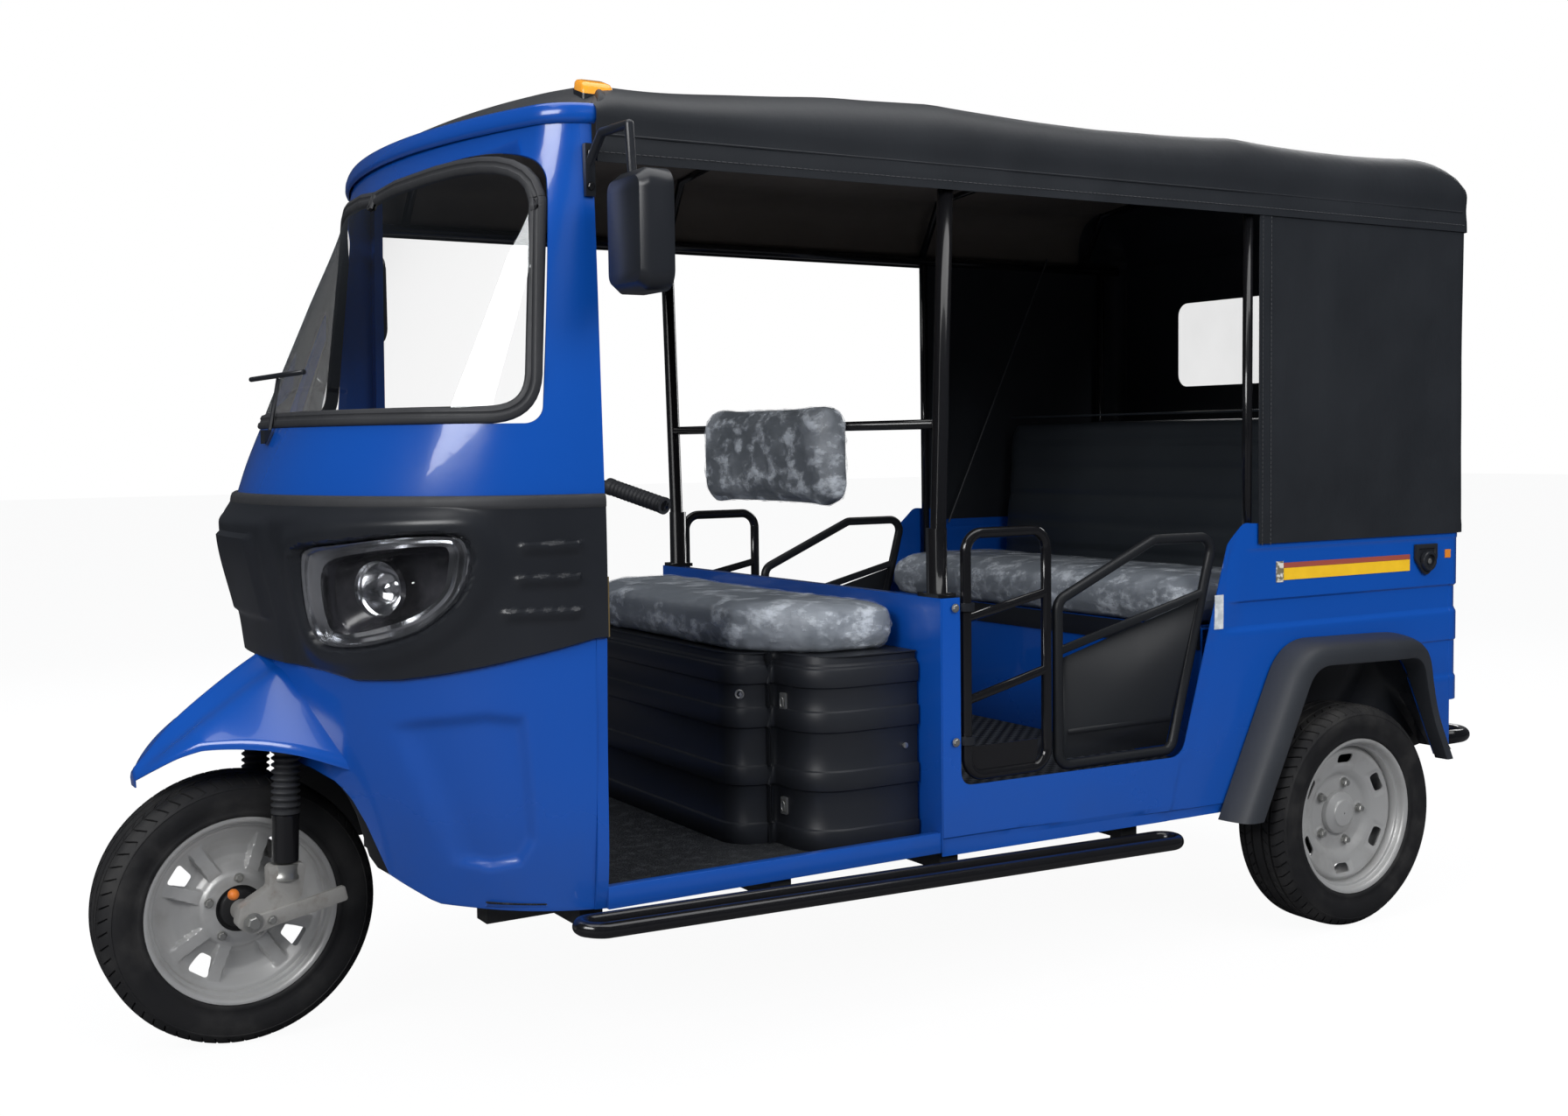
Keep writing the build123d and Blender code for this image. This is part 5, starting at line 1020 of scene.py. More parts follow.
def stitched(name, points, pitch, length, radius, finish, slot, body="chassis"):
    """Stitches laid along a line of points by a node tree."""
    tree = bpy.data.node_groups.new(name + "_tree", "GeometryNodeTree")
    tree.interface.new_socket("Line", in_out="INPUT", socket_type="NodeSocketGeometry")
    for label, value in (("Pitch", pitch), ("Length", length), ("Radius", radius)):
        port = tree.interface.new_socket(label, in_out="INPUT", socket_type="NodeSocketFloat")
        port.default_value = value
    tree.interface.new_socket("Stitches", in_out="OUTPUT", socket_type="NodeSocketGeometry")
    given, result = tree.nodes.new("NodeGroupInput"), tree.nodes.new("NodeGroupOutput")
    line = tree.nodes.new("GeometryNodeMeshToCurve")
    spots = tree.nodes.new("GeometryNodeCurveToPoints")
    spots.mode = "LENGTH"
    thread = tree.nodes.new("GeometryNodeMeshCylinder")
    thread.inputs["Vertices"].default_value = 6
    laid_on = tree.nodes.new("GeometryNodeInstanceOnPoints")
    real = tree.nodes.new("GeometryNodeRealizeInstances")
    dye = tree.nodes.new("GeometryNodeSetMaterial")
    dye.inputs["Material"].default_value = finish.material
    join = tree.links.new
    join(given.outputs["Line"], line.inputs["Mesh"])
    join(line.outputs[0], spots.inputs["Curve"])
    join(given.outputs["Pitch"], spots.inputs["Length"])
    join(given.outputs["Radius"], thread.inputs["Radius"])
    join(given.outputs["Length"], thread.inputs["Depth"])
    join(spots.outputs["Points"], laid_on.inputs["Points"])
    join(spots.outputs["Rotation"], laid_on.inputs["Rotation"])
    join(thread.outputs["Mesh"], laid_on.inputs["Instance"])
    join(laid_on.outputs[0], real.inputs[0])
    join(real.outputs[0], dye.inputs["Geometry"])
    join(dye.outputs[0], result.inputs[0])
    base = bpy.data.meshes.new(name)
    base.from_pydata([tuple(p) for p in points], [(k, k + 1) for k in range(len(points) - 1)], [])
    seam = placed(name, base)
    seam.modifiers.new("stitches", "NODES").node_group = tree
    return settle(seam, finish, body, slot=slot, sharp=60)


def uneven(name, colour, roughness, rough, scale, detail, spread, **settings):
    """A finish of one colour whose roughness drifts."""
    finish = Finish(name, colour, roughness, **settings)
    finish.put(Roughness=rough + finish.noise(scale, detail) * spread)
    return finish


thread = uneven("grey_thread", (0.06, 0.062, 0.066), 0.8, 0.75, 300, 2, 0.2)
for side, label in SIDES:
    seam_line = []
    for k in range(61):
        x = CANOPY_FRONT - 0.004 + (CANOPY_BACK + 0.05 - CANOPY_FRONT) * k / 60
        over = eased(PIPE_Z, HEM, SHOULDER)
        seam_line.append(Vector((x, side * (canopy_half(x) - 0.004 * over * sin(pi * over) - 0.0006),
                                 PIPE_Z)))
    pipe_along(f"roof_welt_{label}", seam_line, 0.0024, vinyl, "vinyl_black")
    hem_line = [Vector((p.x, side * (abs(p.y) + 0.0035), HEM + 0.016)) for p in seam_line]
    stitched(f"hem_stitches_{label}", hem_line, 0.012, 0.008, 0.0008, thread, "vinyl_black")

# ------------------------------------------------------------------ side and rear curtains
# The same cloth hangs behind the doorway. The front edge has a wide stitched hem, and the foot
# is snapped to the body. A clear vinyl window is welded into the back.
CURTAIN_FRONT, CURTAIN_FOOT, CURTAIN_HEAD, CURTAIN_HALF = REAR + 0.242, 0.882, 1.632, 0.6334
CORNER = 0.045


def curtain_plan(share, side):
    """Point and outward way on the curtain's plan: 0 at the front hem, 1 at the rear corner's end."""
    run = CURTAIN_FRONT - BODY_BACK - CORNER
    arc = CORNER * pi / 2
    at = share * (run + arc)
    y = CURTAIN_HALF
    if at <= run:
        return Vector((CURTAIN_FRONT - at, side * y, 0)), Vector((0, side, 0))
    angle = (at - run) / CORNER
    return (Vector((BODY_BACK + CORNER - CORNER * sin(angle), side * (y - CORNER + CORNER * cos(angle)), 0)),
            Vector((-sin(angle), side * cos(angle), 0)))


for side, label in SIDES:
    rows = []
    for step in range(45):
        z = CURTAIN_FOOT + (CURTAIN_HEAD - CURTAIN_FOOT) * step / 44
        row = []
        for k in range(71):
            share = k / 70
            point, out = curtain_plan(share, side)
            held = eased(share, 0.0, 0.02) * (1 - eased(share, 0.93, 1.0))
            lift = min(1.0, (z - CURTAIN_FOOT) / 0.2) * min(1.0, max(0.0, (1.60 - z) / 0.3))
            wave = noise.noise(Vector((share * 3.2 + side * 3, z * 1.3, 0.5))) * 0.010
            wave += noise.noise(Vector((share * 9.0, z * 2.6 + 4, side * 2.0))) * 0.0035
            hem = 0.0012 if share < 0.055 or z < CURTAIN_FOOT + 0.028 else 0.0
            place = point + out * (0.0012 + hem + max(-0.004, wave) * held * lift)
            row.append(Vector((place.x, place.y, z)))
        rows.append(row)
    curtain = laid(f"side_curtain_{label}", rows)
    thickened(curtain, 0.0022, 0.0)
    settle(curtain, vinyl, "chassis", "curtains", sharp=50)
    for offset in (0.010, 0.036):
        line = [Vector((CURTAIN_FRONT - offset, side * 0.6370, CURTAIN_FOOT + 0.72 * k / 8))
                for k in range(9)]
        stitched(f"curtain_stitches_{label}_{int(offset * 1000)}", line, 0.010, 0.0065, 0.0007, thread,
                 "vinyl_black")

WINDOW_HALF, WINDOW_LOW, WINDOW_HIGH, WINDOW_R = 0.368, 1.268, 1.508, 0.036
WINDOW_MIDDLE = 1.388


def round_frame(half, low, high, radius, count=8):
    """Rounded rectangle in (y, z)."""
    line = []
    for cy, cz, start in ((half - radius, high - radius, 0), (-half + radius, high - radius, 90),
                          (-half + radius, low + radius, 180), (half - radius, low + radius, 270)):
        for k in range(count + 1):
            angle = radians(start + 90 * k / count)
            line.append((cy + radius * cos(angle), cz + radius * sin(angle)))
    return line


REAR_CLOTH_X = BODY_BACK - 0.0016
opening = round_frame(WINDOW_HALF, WINDOW_LOW, WINDOW_HIGH, WINDOW_R)
outer_edge = round_frame(0.588, CURTAIN_FOOT, 1.63, 0.010)
rear_rows = []
for share in (0.0, 0.04, 0.10, 0.18, 0.28, 0.40, 0.55, 0.70, 0.85, 1.0):
    row = []
    for (y0, z0), (y1, z1) in zip(opening, outer_edge):
        y, z = y0 + (y1 - y0) * share, z0 + (z1 - z0) * share
        wave = noise.noise(Vector((y * 3.0, z * 2.2, 7.0))) * 0.004 * sin(pi * share)
        row.append(Vector((REAR_CLOTH_X + min(0.001, wave) - 0.0006, y, z)))
    rear_rows.append(row)
rear_curtain = laid("rear_curtain_cloth", rear_rows, ring=True)
thickened(rear_curtain, 0.0022, 0.0)
settle(rear_curtain, vinyl, "chassis", "curtains", sharp=50)
film = Finish("clear_film", (0.85, 0.88, 0.90), 0.10, Alpha=0.22)
film.put(Alpha=0.16 + film.noise(5, 4) * 0.14, Roughness=0.08 + film.noise(7, 3) * 0.1)
film.relief(film.noise(5, 3), 0.01, 0.4)
pane_line = round_frame(WINDOW_HALF + 0.012, WINDOW_LOW - 0.012, WINDOW_HIGH + 0.012, WINDOW_R + 0.012)
window_rows = [[Vector((REAR_CLOTH_X - 0.0028, y * scale, WINDOW_MIDDLE + (z - WINDOW_MIDDLE) * scale))
                for y, z in pane_line]
               for scale in (1.0, 0.7, 0.35, 0.01)]
window = laid("rear_window_film", window_rows, ring=True)
settle(window, film, "chassis", "rear_window")

# ------------------------------------------------------------------ tyres
# Tubeless radial tyres. The tread has four grooves round it, sipes across its ribs and open
# shoulder slots, and the walls carry a rim guard and a fine line under the shoulder.
AXLE = 0.254
WHEELS = [
    # name, axle, middle, side that faces out
    ("front", FRONT, 0.0, 1),
    ("rear_left", REAR, 0.642, 1),
    ("rear_right", REAR, -0.642, -1),
]
BLOCKS = 62
SLOT_CUTS = [0.0, 0.18, 0.37, 0.395, 0.50, 0.525, 0.76]     # shares of one tread block
TREAD = [
    # radius, half width, depth of the slot across it, lean of the slot
    (0.1665, 0.0500, 0, 0), (0.1685, 0.0560, 0, 0), (0.1740, 0.0598, 0, 0), (0.1775, 0.0618, 0, 0),
    (0.1790, 0.0652, 0, 0), (0.1825, 0.0668, 0, 0), (0.1872, 0.0668, 0, 0), (0.1895, 0.0660, 0, 0),
    (0.1990, 0.0694, 0, 0), (0.2080, 0.0715, 0, 0), (0.2170, 0.0724, 0, 0), (0.2260, 0.0719, 0, 0),
    (0.2318, 0.0704, 0, 0), (0.2328, 0.0712, 0, 0), (0.2352, 0.0704, 0, 0), (0.2362, 0.0690, 0, 0),
    (0.2395, 0.0664, 0.0030, 0.9), (0.2432, 0.0630, 0.0046, 0.8), (0.2470, 0.0588, 0.0052, 0.7),
    (0.2498, 0.0545, 0.0054, 0.55), (0.2517, 0.0500, 0.0054, 0.4), (0.2527, 0.0450, 0.0050, 0.2),
    (0.2531, 0.0405, 0.0040, 0), (0.2532, 0.0392, 0, 0), (0.2470, 0.0384, 0, 0), (0.2470, 0.0340, 0, 0),
    (0.2534, 0.0331, 0, 0), (0.2536, 0.0322, 0.0024, -0.2), (0.2537, 0.0260, 0.0032, -0.6),
    (0.2538, 0.0186, 0.0024, -1.0), (0.2538, 0.0176, 0, 0), (0.2476, 0.0168, 0, 0),
    (0.2476, 0.0126, 0, 0), (0.2539, 0.0117, 0, 0), (0.2540, 0.0060, 0, 0), (0.2540, 0.0, 0, 0),
]

tread_black = Finish("tyre_rubber", (0.010, 0.010, 0.011), 0.72)
road_dust = tread_black.noise(11, 5)
tread_black.put(Base_Color=tread_black.mix(road_dust.above(0.42, 0.85), (0.0085, 0.0085, 0.0095),
                                           (0.030, 0.029, 0.028)),
                Roughness=0.58 + road_dust * 0.25)
tread_black.relief(tread_black.noise(260, 2), 0.0005, 0.35)


def circle(centre, side, up, radius, count):
    """Points round a centre, from `side` towards `up`."""
    return [centre + (side * cos(turn) + up * sin(turn)) * radius
            for turn in (2 * pi * k / count for k in range(count))]


def turned(name, x, y, outline, side=1, count=144):
    """A ring about a wheel's axle from its closed outline of (radius, offset)."""
    rows = [circle(Vector((x, y + side * offset, AXLE)), Vector((1, 0, 0)), Vector((0, 0, 1)), radius, count)
            for radius, offset in outline]
    return laid(name, rows + [rows[0]], ring=True)


for label, wheel_x, wheel_y, side in WHEELS:
    section = [(r, w, deep, lean) for r, w, deep, lean in TREAD]
    section += [(r, -w, deep, lean) for r, w, deep, lean in TREAD[-2::-1]]
    rows = []
    for radius, offset, deep, lean in section:
        row = []
        for block in range(BLOCKS):
            for cut in SLOT_CUTS:
                turn = (block + cut + lean * (abs(offset) - 0.04) * 22) * 2 * pi / BLOCKS
                if offset < 0:
                    turn += pi / BLOCKS
                low = radius - (deep if cut in SLOT_CUTS[3:5] else 0.0)
                row.append(Vector((wheel_x + low * cos(turn), wheel_y + offset, AXLE + low * sin(turn))))
        rows.append(row)
    tyre = laid(f"{label}_tyre_rubber", rows + [rows[0]], ring=True)
    body = "front_wheel" if label == "front" else label + "_wheel"
    settle(tyre, tread_black, body, label + "_tyre", sharp=42)

# ------------------------------------------------------------------ front wheel
# Pressed steel wheel in silver paint: eight flat spokes stand proud of a dished disc, in pairs
# round four windows, and five studs hold it to a black hub.
silver = Finish("silver_wheel_paint", (0.46, 0.46, 0.455), 0.40, Metallic=0.55)
brake_dust = silver.noise(16, 5)
silver.put(Base_Color=silver.mix(brake_dust.above(0.45, 0.9) * 0.6, (0.50, 0.50, 0.495), (0.30, 0.285, 0.27)),
           Roughness=0.34 + brake_dust * 0.16)
silver.relief(silver.noise(120, 3), 0.0006, 0.15)
hub_black = uneven("hub_black", (0.012, 0.012, 0.013), 0.45, 0.38, 40, 3, 0.2)
zinc = uneven("zinc_plated", (0.55, 0.55, 0.53), 0.34, 0.28, 60, 3, 0.2, Metallic=0.9)

BARREL = [
    # radius and offset of the rim's outer side, then its inner side
    (0.1565, 0.0300), (0.1572, 0.0400), (0.1590, 0.0440),
    (0.1640, 0.0455), (0.1655, 0.0480), (0.1660, 0.0555),
    (0.1672, 0.0598), (0.1700, 0.0625), (0.1735, 0.0640), (0.1765, 0.0640), (0.1775, 0.0622),
    (0.1768, 0.0600), (0.1745, 0.0590), (0.1715, 0.0583), (0.1690, 0.0572), (0.1668, 0.0520),
]
barrel_outline = BARREL + [(0.1640, 0.0300), (0.1600, 0.0180), (0.1600, -0.0180), (0.1640, -0.0300)]
barrel_outline += [(r, -w) for r, w in reversed(BARREL)]
SPOKE_TURNS = [radians(start + quarter * 90) for quarter in range(4) for start in (57.0, 111.0)]
WINDOW_TURNS = [radians(34 + 90 * quarter) for quarter in range(4)]
DISC = [
    # radius, offset of the disc's outer face
    (0.0440, 0.0385), (0.0560, 0.0385), (0.0660, 0.0375),
    (0.0720, 0.0330), (0.0780, 0.0245), (0.0860, 0.0185),
    (0.1000, 0.0160), (0.1180, 0.0165), (0.1320, 0.0205),
    (0.1420, 0.0270), (0.1500, 0.0325), (0.1580, 0.0350),
]


def turn_gap(turn, marks):
    """Smallest angle from a turn to any of the marks."""
    return min(abs((turn - mark + pi) % (2 * pi) - pi) for mark in marks)


disc_rows = []
DISC_RINGS, DISC_TURNS, SLOT_TURNS = 50, 288, 228
for step in range(DISC_RINGS + 1):
    radius = 0.044 + (0.1585 - 0.044) * step / DISC_RINGS
    row = []
    for k in range(DISC_TURNS):
        turn = 2 * pi * k / DISC_TURNS
        away = radius * turn_gap(turn, SPOKE_TURNS)
        spoke = ((1 - eased(away, 0.0115, 0.0155)) * eased(radius, 0.068, 0.078)
                 * (1 - eased(radius, 0.144, 0.156)))
        dish = 0.0035 * sin(pi * eased(radius, 0.080, 0.145)) * (1 - spoke)
        lift = spoke * max(0.0, 0.0325 - 0.004 * eased(radius, 0.08, 0.12) - along(DISC, radius))
        row.append(Vector((FRONT + radius * cos(turn), along(DISC, radius) - dish + lift,
                           AXLE + radius * sin(turn))))
    disc_rows.append(row)
front_disc = laid("front_wheel_disc", disc_rows, ring=True)
thickened(front_disc, 0.0035, 1.0 if sum(f.normal.y for f in front_disc.data.polygons) < 0 else -1.0)


def window_block(name, x, y, turn, near, far, half_near, half_far, deep, corner):
    """A rounded wedge through a wheel's disc."""
    outline = softened([(near, 0.0), (near, half_near), (far, half_far), (far, 0.0)], [corner, corner], 6)
    loop = outline + [(r, -s) for r, s in outline[-2:0:-1]]
    rows = []
    for offset in (-deep, deep):
        rows.append([Vector((x + r * cos(turn) - s * sin(turn), y + offset,
                             AXLE + r * sin(turn) + s * cos(turn)))
                     for r, s in loop])
    return laid(name, rows, ring=True, capped=True)


def pierced(piece, blocks):
    """Cut the blocks out of a piece."""
    for block in blocks:
        cut_from(piece, block)
    mesh = worked(piece)
    piece.modifiers.clear()
    piece.data = mesh
    for block in blocks:
        bpy.data.objects.remove(block)


pierced(front_disc, [window_block(f"window_{n}", FRONT, 0.0, turn, 0.103, 0.141, 0.011, 0.0215, 0.09, 0.007)
                     for n, turn in enumerate(WINDOW_TURNS)])
settle(front_disc, silver, "front_wheel", "front_rim", sharp=38)
settle(turned("front_wheel_barrel", FRONT, 0.0, barrel_outline), silver, "front_wheel", "front_rim", sharp=38)
HUB = [(0.0125, 0.0460), (0.0300, 0.0460), (0.0345, 0.0440), (0.0370, 0.0400), (0.0380, 0.0330),
       (0.0470, 0.0330),
       (0.0470, 0.0100), (0.0640, 0.0080), (0.0650, -0.0380), (0.0600, -0.0400), (0.0125, -0.0400)]
settle(turned("front_hub", FRONT, 0.0, HUB, count=96), hub_black, "front_wheel", "front_rim", sharp=30)


def hex_head(name, centre, axis, radius, height, finish, body, slot, washer=1.25):
    """A hexagon nut or bolt head on its washer."""
    axis = axis.normalized()
    side = axis.orthogonal().normalized()
    up = axis.cross(side)

    def rim(size, rise, count):
        return circle(centre + axis * rise, side, up, size, count)

    plate = laid(name + "_washer", [rim(radius * washer, rise, 24) for rise in (0, 0.0016)], ring=True,
                 capped=True)
    settle(plate, finish, body, slot=slot, sharp=30)
    head = laid(name, [rim(radius, 0.0014, 6), rim(radius, height * 0.8, 6), rim(radius * 0.82, height, 6),
                       rim(radius * 0.35, height * 1.02, 6)], ring=True, capped=True)
    return settle(head, finish, body, slot=slot, sharp=25)


for n in range(5):
    turn = radians(18 + 72 * n)
    seat = Vector((FRONT + 0.0585 * cos(turn), 0.0385, AXLE + 0.0585 * sin(turn)))
    hex_head(f"front_stud_{n}", seat, Vector((0, 1, 0)), 0.0072, 0.0085, zinc, "front_wheel", "chrome")

# ------------------------------------------------------------------ rear wheels
# Pressed steel wheels in silver paint, dished inwards to a plate with five nuts. Six slots are
# pierced near the edge, and a stepped steel cap covers the end of the half shaft.
REAR_FACE = [
    (0.0180, 0.0060), (0.0560, 0.0060), (0.0640, 0.0055),
    (0.0780, 0.0050), (0.0860, 0.0075), (0.0930, 0.0140),
    (0.1010, 0.0190), (0.1120, 0.0225), (0.1220, 0.0262),
    (0.1330, 0.0305), (0.1400, 0.0330), (0.1450, 0.0332),
    (0.1500, 0.0300), (0.1540, 0.0245), (0.1580, 0.0230),
]
REAR_SLOTS = [radians(92 + 60 * n) for n in range(6)]
REAR_NUTS = [radians(35 + 72 * n) for n in range(5)]
for label, wheel_x, wheel_y, side in WHEELS[1:]:
    body = label + "_wheel"
    rows = []
    for step in range(DISC_RINGS + 1):
        radius = 0.018 + (0.1585 - 0.018) * step / DISC_RINGS
        row = []
        for k in range(SLOT_TURNS):
            turn = 2 * pi * k / SLOT_TURNS
            slot_share = 1 - eased(radius * turn_gap(turn, REAR_SLOTS), 0.026, 0.036)
            lip = 0.003 * slot_share * (1 - eased(abs(radius - 0.127), 0.010, 0.018))
            boss = 0.004 * (1 - eased(hypot(radius - 0.070, 0.070 * turn_gap(turn, REAR_NUTS)), 0.010, 0.016))
            row.append(Vector((wheel_x + radius * cos(turn),
                               wheel_y + side * (along(REAR_FACE, radius) + boss - lip),
                               AXLE + radius * sin(turn))))
        rows.append(row)
    disc = laid(f"{label}_wheel_disc", rows, ring=True)
    looks_out = sum(f.normal.y for f in disc.data.polygons) * side > 0
    thickened(disc, 0.0035, -1.0 if looks_out else 1.0)
    pierced(disc, [window_block(f"slot_{n}", wheel_x, wheel_y, turn, 0.1165, 0.1375, 0.021, 0.025, 0.09,
                                0.009)
                   for n, turn in enumerate(REAR_SLOTS)])
    settle(disc, silver, body, label + "_rim", sharp=38)
    settle(turned(f"{label}_wheel_barrel", wheel_x, wheel_y, barrel_outline), silver, body, label + "_rim",
           sharp=38)
    cap = [(0.002, 0.0300), (0.0240, 0.0298), (0.0290, 0.0285), (0.0310, 0.0255), (0.0330, 0.0235),
           (0.0430, 0.0205),
           (0.0475, 0.0170), (0.0490, 0.0110), (0.0490, 0.0062), (0.002, 0.0062)]
    settle(turned(f"{label}_hub_cap", wheel_x, wheel_y, cap, side, 96), silver, body, label + "_rim",
           sharp=30)
    drum = [(0.0205, -0.0060), (0.0900, -0.0060), (0.1050, -0.0120), (0.1080, -0.0180), (0.1080, -0.0500),
            (0.0205, -0.0500)]
    settle(turned(f"{label}_brake_drum", wheel_x, wheel_y, drum, side, 96), hub_black, body, label + "_rim")
    for n, turn in enumerate(REAR_NUTS):
        seat = Vector((wheel_x + 0.070 * cos(turn), wheel_y + side * 0.0092, AXLE + 0.070 * sin(turn)))
        hex_head(f"{label}_nut_{n}", seat, Vector((0, side, 0)), 0.0085, 0.013, zinc, body, "chrome", 1.35)

# ------------------------------------------------------------------ front fork
# Gloss black damper tubes slide in ribbed rubber bellows. A rough cast foot holds the axle, and a
# welded silver torque arm reaches back from the left one.
gloss_black = uneven("gloss_black_tube", (0.006, 0.006, 0.007), 0.16, 0.12, 9, 4, 0.16, Coat_Weight=0.5,
                     Coat_Roughness=0.05)
cast_metal = Finish("rough_casting", (0.40, 0.39, 0.37), 0.5, Metallic=0.6)
scale_rust = cast_metal.noise(32, 6)
cast_metal.put(Base_Color=cast_metal.mix(scale_rust.above(0.5, 0.85) * 0.7, (0.44, 0.43, 0.41),
                                         (0.20, 0.165, 0.13)),
               Roughness=0.42 + scale_rust * 0.2)
cast_metal.relief(cast_metal.noise(140, 4), 0.0010, 0.5)
LEG_LOW, LEG_HIGH = 0.347, 0.578
LEG_TOP, LEG_FOOT = Vector((FRONT - 0.076, 0.112, LEG_HIGH)), Vector((FRONT - 0.068, 0.112, LEG_LOW))


def leg_rings(name, side, outline, count=72):
    """A ring turned about a fork leg, from (height, radius) points up or down the leg."""
    flat = Vector((0, 1, 0))
    ahead_way = flat.cross((LEG_TOP - LEG_FOOT).normalized())
    rows = []
    for height, radius in outline:
        centre = LEG_FOOT + (LEG_TOP - LEG_FOOT) * ((height - LEG_LOW) / (LEG_HIGH - LEG_LOW))
        rows.append([Vector((p.x, side * p.y, p.z)) for p in circle(centre, flat, ahead_way, radius, count)])
    return laid(name, rows, ring=True, capped=True)


folds = [(0.440, 0.0225), (0.4405, 0.0262), (0.4470, 0.0268)]
for fold in range(9):
    low = 0.449 + fold * 0.0125
    folds += [(low, 0.0205), (low + 0.0030, 0.0222), (low + 0.0055, 0.0264), (low + 0.0070, 0.0268),
              (low + 0.0085, 0.0264), (low + 0.0110, 0.0222)]
folds += [(0.5625, 0.0205), (0.5632, 0.0180)]
tube = [(0.3482, 0.0215), (0.3500, 0.0240), (0.3530, 0.0245), (0.4270, 0.0245), (0.4300, 0.0252),
        (0.4370, 0.0252),
        (0.4395, 0.0235)]
for side, label in SIDES:
    settle(leg_rings(f"fork_bellows_{label}", side, folds), rubber, "steering", "fork_legs", sharp=50)
    settle(leg_rings(f"damper_tube_{label}", side, tube), gloss_black, "steering", "fork_legs", sharp=30)
    settle(leg_rings(f"leg_rod_{label}", side, [(0.5600, 0.0150), (0.5772, 0.0150)], 32), hub_black,
           "steering",
           "fork_legs", sharp=30)
    settle(leg_rings(f"foot_collar_{label}", side, [(0.3160, 0.0255), (0.3180, 0.0275), (0.3240, 0.0275),
                                                    (0.3270, 0.0255), (0.3400, 0.0250), (0.3440, 0.0262),
                                                    (0.3466, 0.0262)], 48), zinc, "steering",
                                                    slot="rim_silver")
merged("front_axle", cast_metal, "steering", bevel=0.0035)
for side, label in SIDES:
    hex_head(f"axle_nut_{label}", Vector((FRONT, side * (0.1405 if side > 0 else 0.1302), AXLE - 0.004)),
             Vector((0, side, 0)), 0.0125, 0.013, zinc, "steering", "chrome", 1.45)
hex_head("arm_bolt_front", Vector((FRONT - 0.034, 0.1402, AXLE - 0.004)), Vector((0, 1, 0)), 0.0068, 0.008,
         zinc,
         "steering", "chrome")
dust_orange = uneven("orange_cap", (0.60, 0.16, 0.02), 0.45, 0.4, 50, 2, 0.1)
cap_rows = []
for step in range(9):
    bend = pi / 2 * step / 8
    cap_rows.append([Vector((FRONT + 0.024 + 0.0105 * cos(bend) * cos(2 * pi * k / 24),
                             0.0945 + 0.013 * sin(bend),
                             AXLE + 0.042 + 0.0105 * cos(bend) * sin(2 * pi * k / 24))) for k in range(24)])
cap = laid("bleed_nipple_cap", cap_rows[:-1], ring=True, capped=True)
settle(cap, dust_orange, "steering", slot="amber_lens", sharp=40)

# ------------------------------------------------------------------ side panels of the passenger body
# Pressed steel skins with rolled swages, spot welded to a folded sill. The door opening has a
# raised rim, and a black inner wheel box closes the arch.
BULK, DOOR_FRONT, DOOR_SILL = REAR + 1.091, REAR + 1.045, 0.430
DOOR_FOOT, DOOR_HEAD, BODY_TOP, LOBE_TOP, BODY_LOW = REAR + 0.464, REAR + 0.333, 0.895, 0.930, 0.292
TAPER_BACK, CORNER_START = REAR + 0.300, BODY_BACK + 0.060
BODY_FRONT_HALF, BODY_HALF = 0.604, 0.633
PANEL_TOP_LINE = softened(
    [(-BULK + 0.003, 0.808), (-DOOR_FRONT, 0.808), (-DOOR_FRONT + 0.0006, DOOR_SILL), (-DOOR_FOOT, DOOR_SILL),
     (-DOOR_HEAD, 0.885), (-DOOR_HEAD + 0.050, LOBE_TOP), (-DOOR_HEAD + 0.120, LOBE_TOP - 0.004),
     (-DOOR_HEAD + 0.150, BODY_TOP), (-CORNER_START, BODY_TOP)],
    [0.0001, 0.030, 0.045, 0.030, 0.030, 0.020, 0.020], 8)
PANEL_LOW_LINE = softened(
    [(-BULK + 0.003, BODY_LOW), (-REAR - 0.296, BODY_LOW), (-REAR - 0.134, 0.612), (-REAR + 0.236, 0.604),
     (-REAR + 0.366, 0.345), (-CORNER_START, 0.352)],
    [0.002, 0.075, 0.075, 0.004], 10)


def body_half(x):
    """Half width of the passenger body, which widens towards the rear wheels."""
    share = min(1.0, max(0.0, (BULK - x) / (BULK - TAPER_BACK)))
    return BODY_FRONT_HALF + (BODY_HALF - BODY_FRONT_HALF) * share


def swage(x, z):
    """How far the skin is pressed in at a place on the side or the back."""
    edge = DOOR_FOOT + (DOOR_HEAD - DOOR_FOOT) * (z - DOOR_SILL) / (0.905 - DOOR_SILL)
    behind = edge - x
    depth = 0.0055 * eased(0.7575 - z, 0.0, 0.005) * eased(z - 0.688, 0.0, 0.013) * eased(behind, 0.030, 0.10)
    depth += 0.0035 * eased(0.6225 - z, 0.0, 0.004) * eased(z - 0.528, 0.0, 0.008) * eased(-x, 1.25, 1.31)
    depth += 0.0016 * eased(0.872 - z, 0.0, 0.004) * eased(behind, 0.05, 0.12)
    if x > TAPER_BACK or behind < 0.0:
        line = 0.330 - 0.017 * eased(-x, 0.0, 0.62)
        depth += 0.0040 * eased(line - z, 0.0, 0.004)
    if behind >= 0:
        rim = behind if 0.425 < z < 0.93 else 0.1
        depth += 0.0018 * eased(rim, 0.014, 0.018)
    return depth


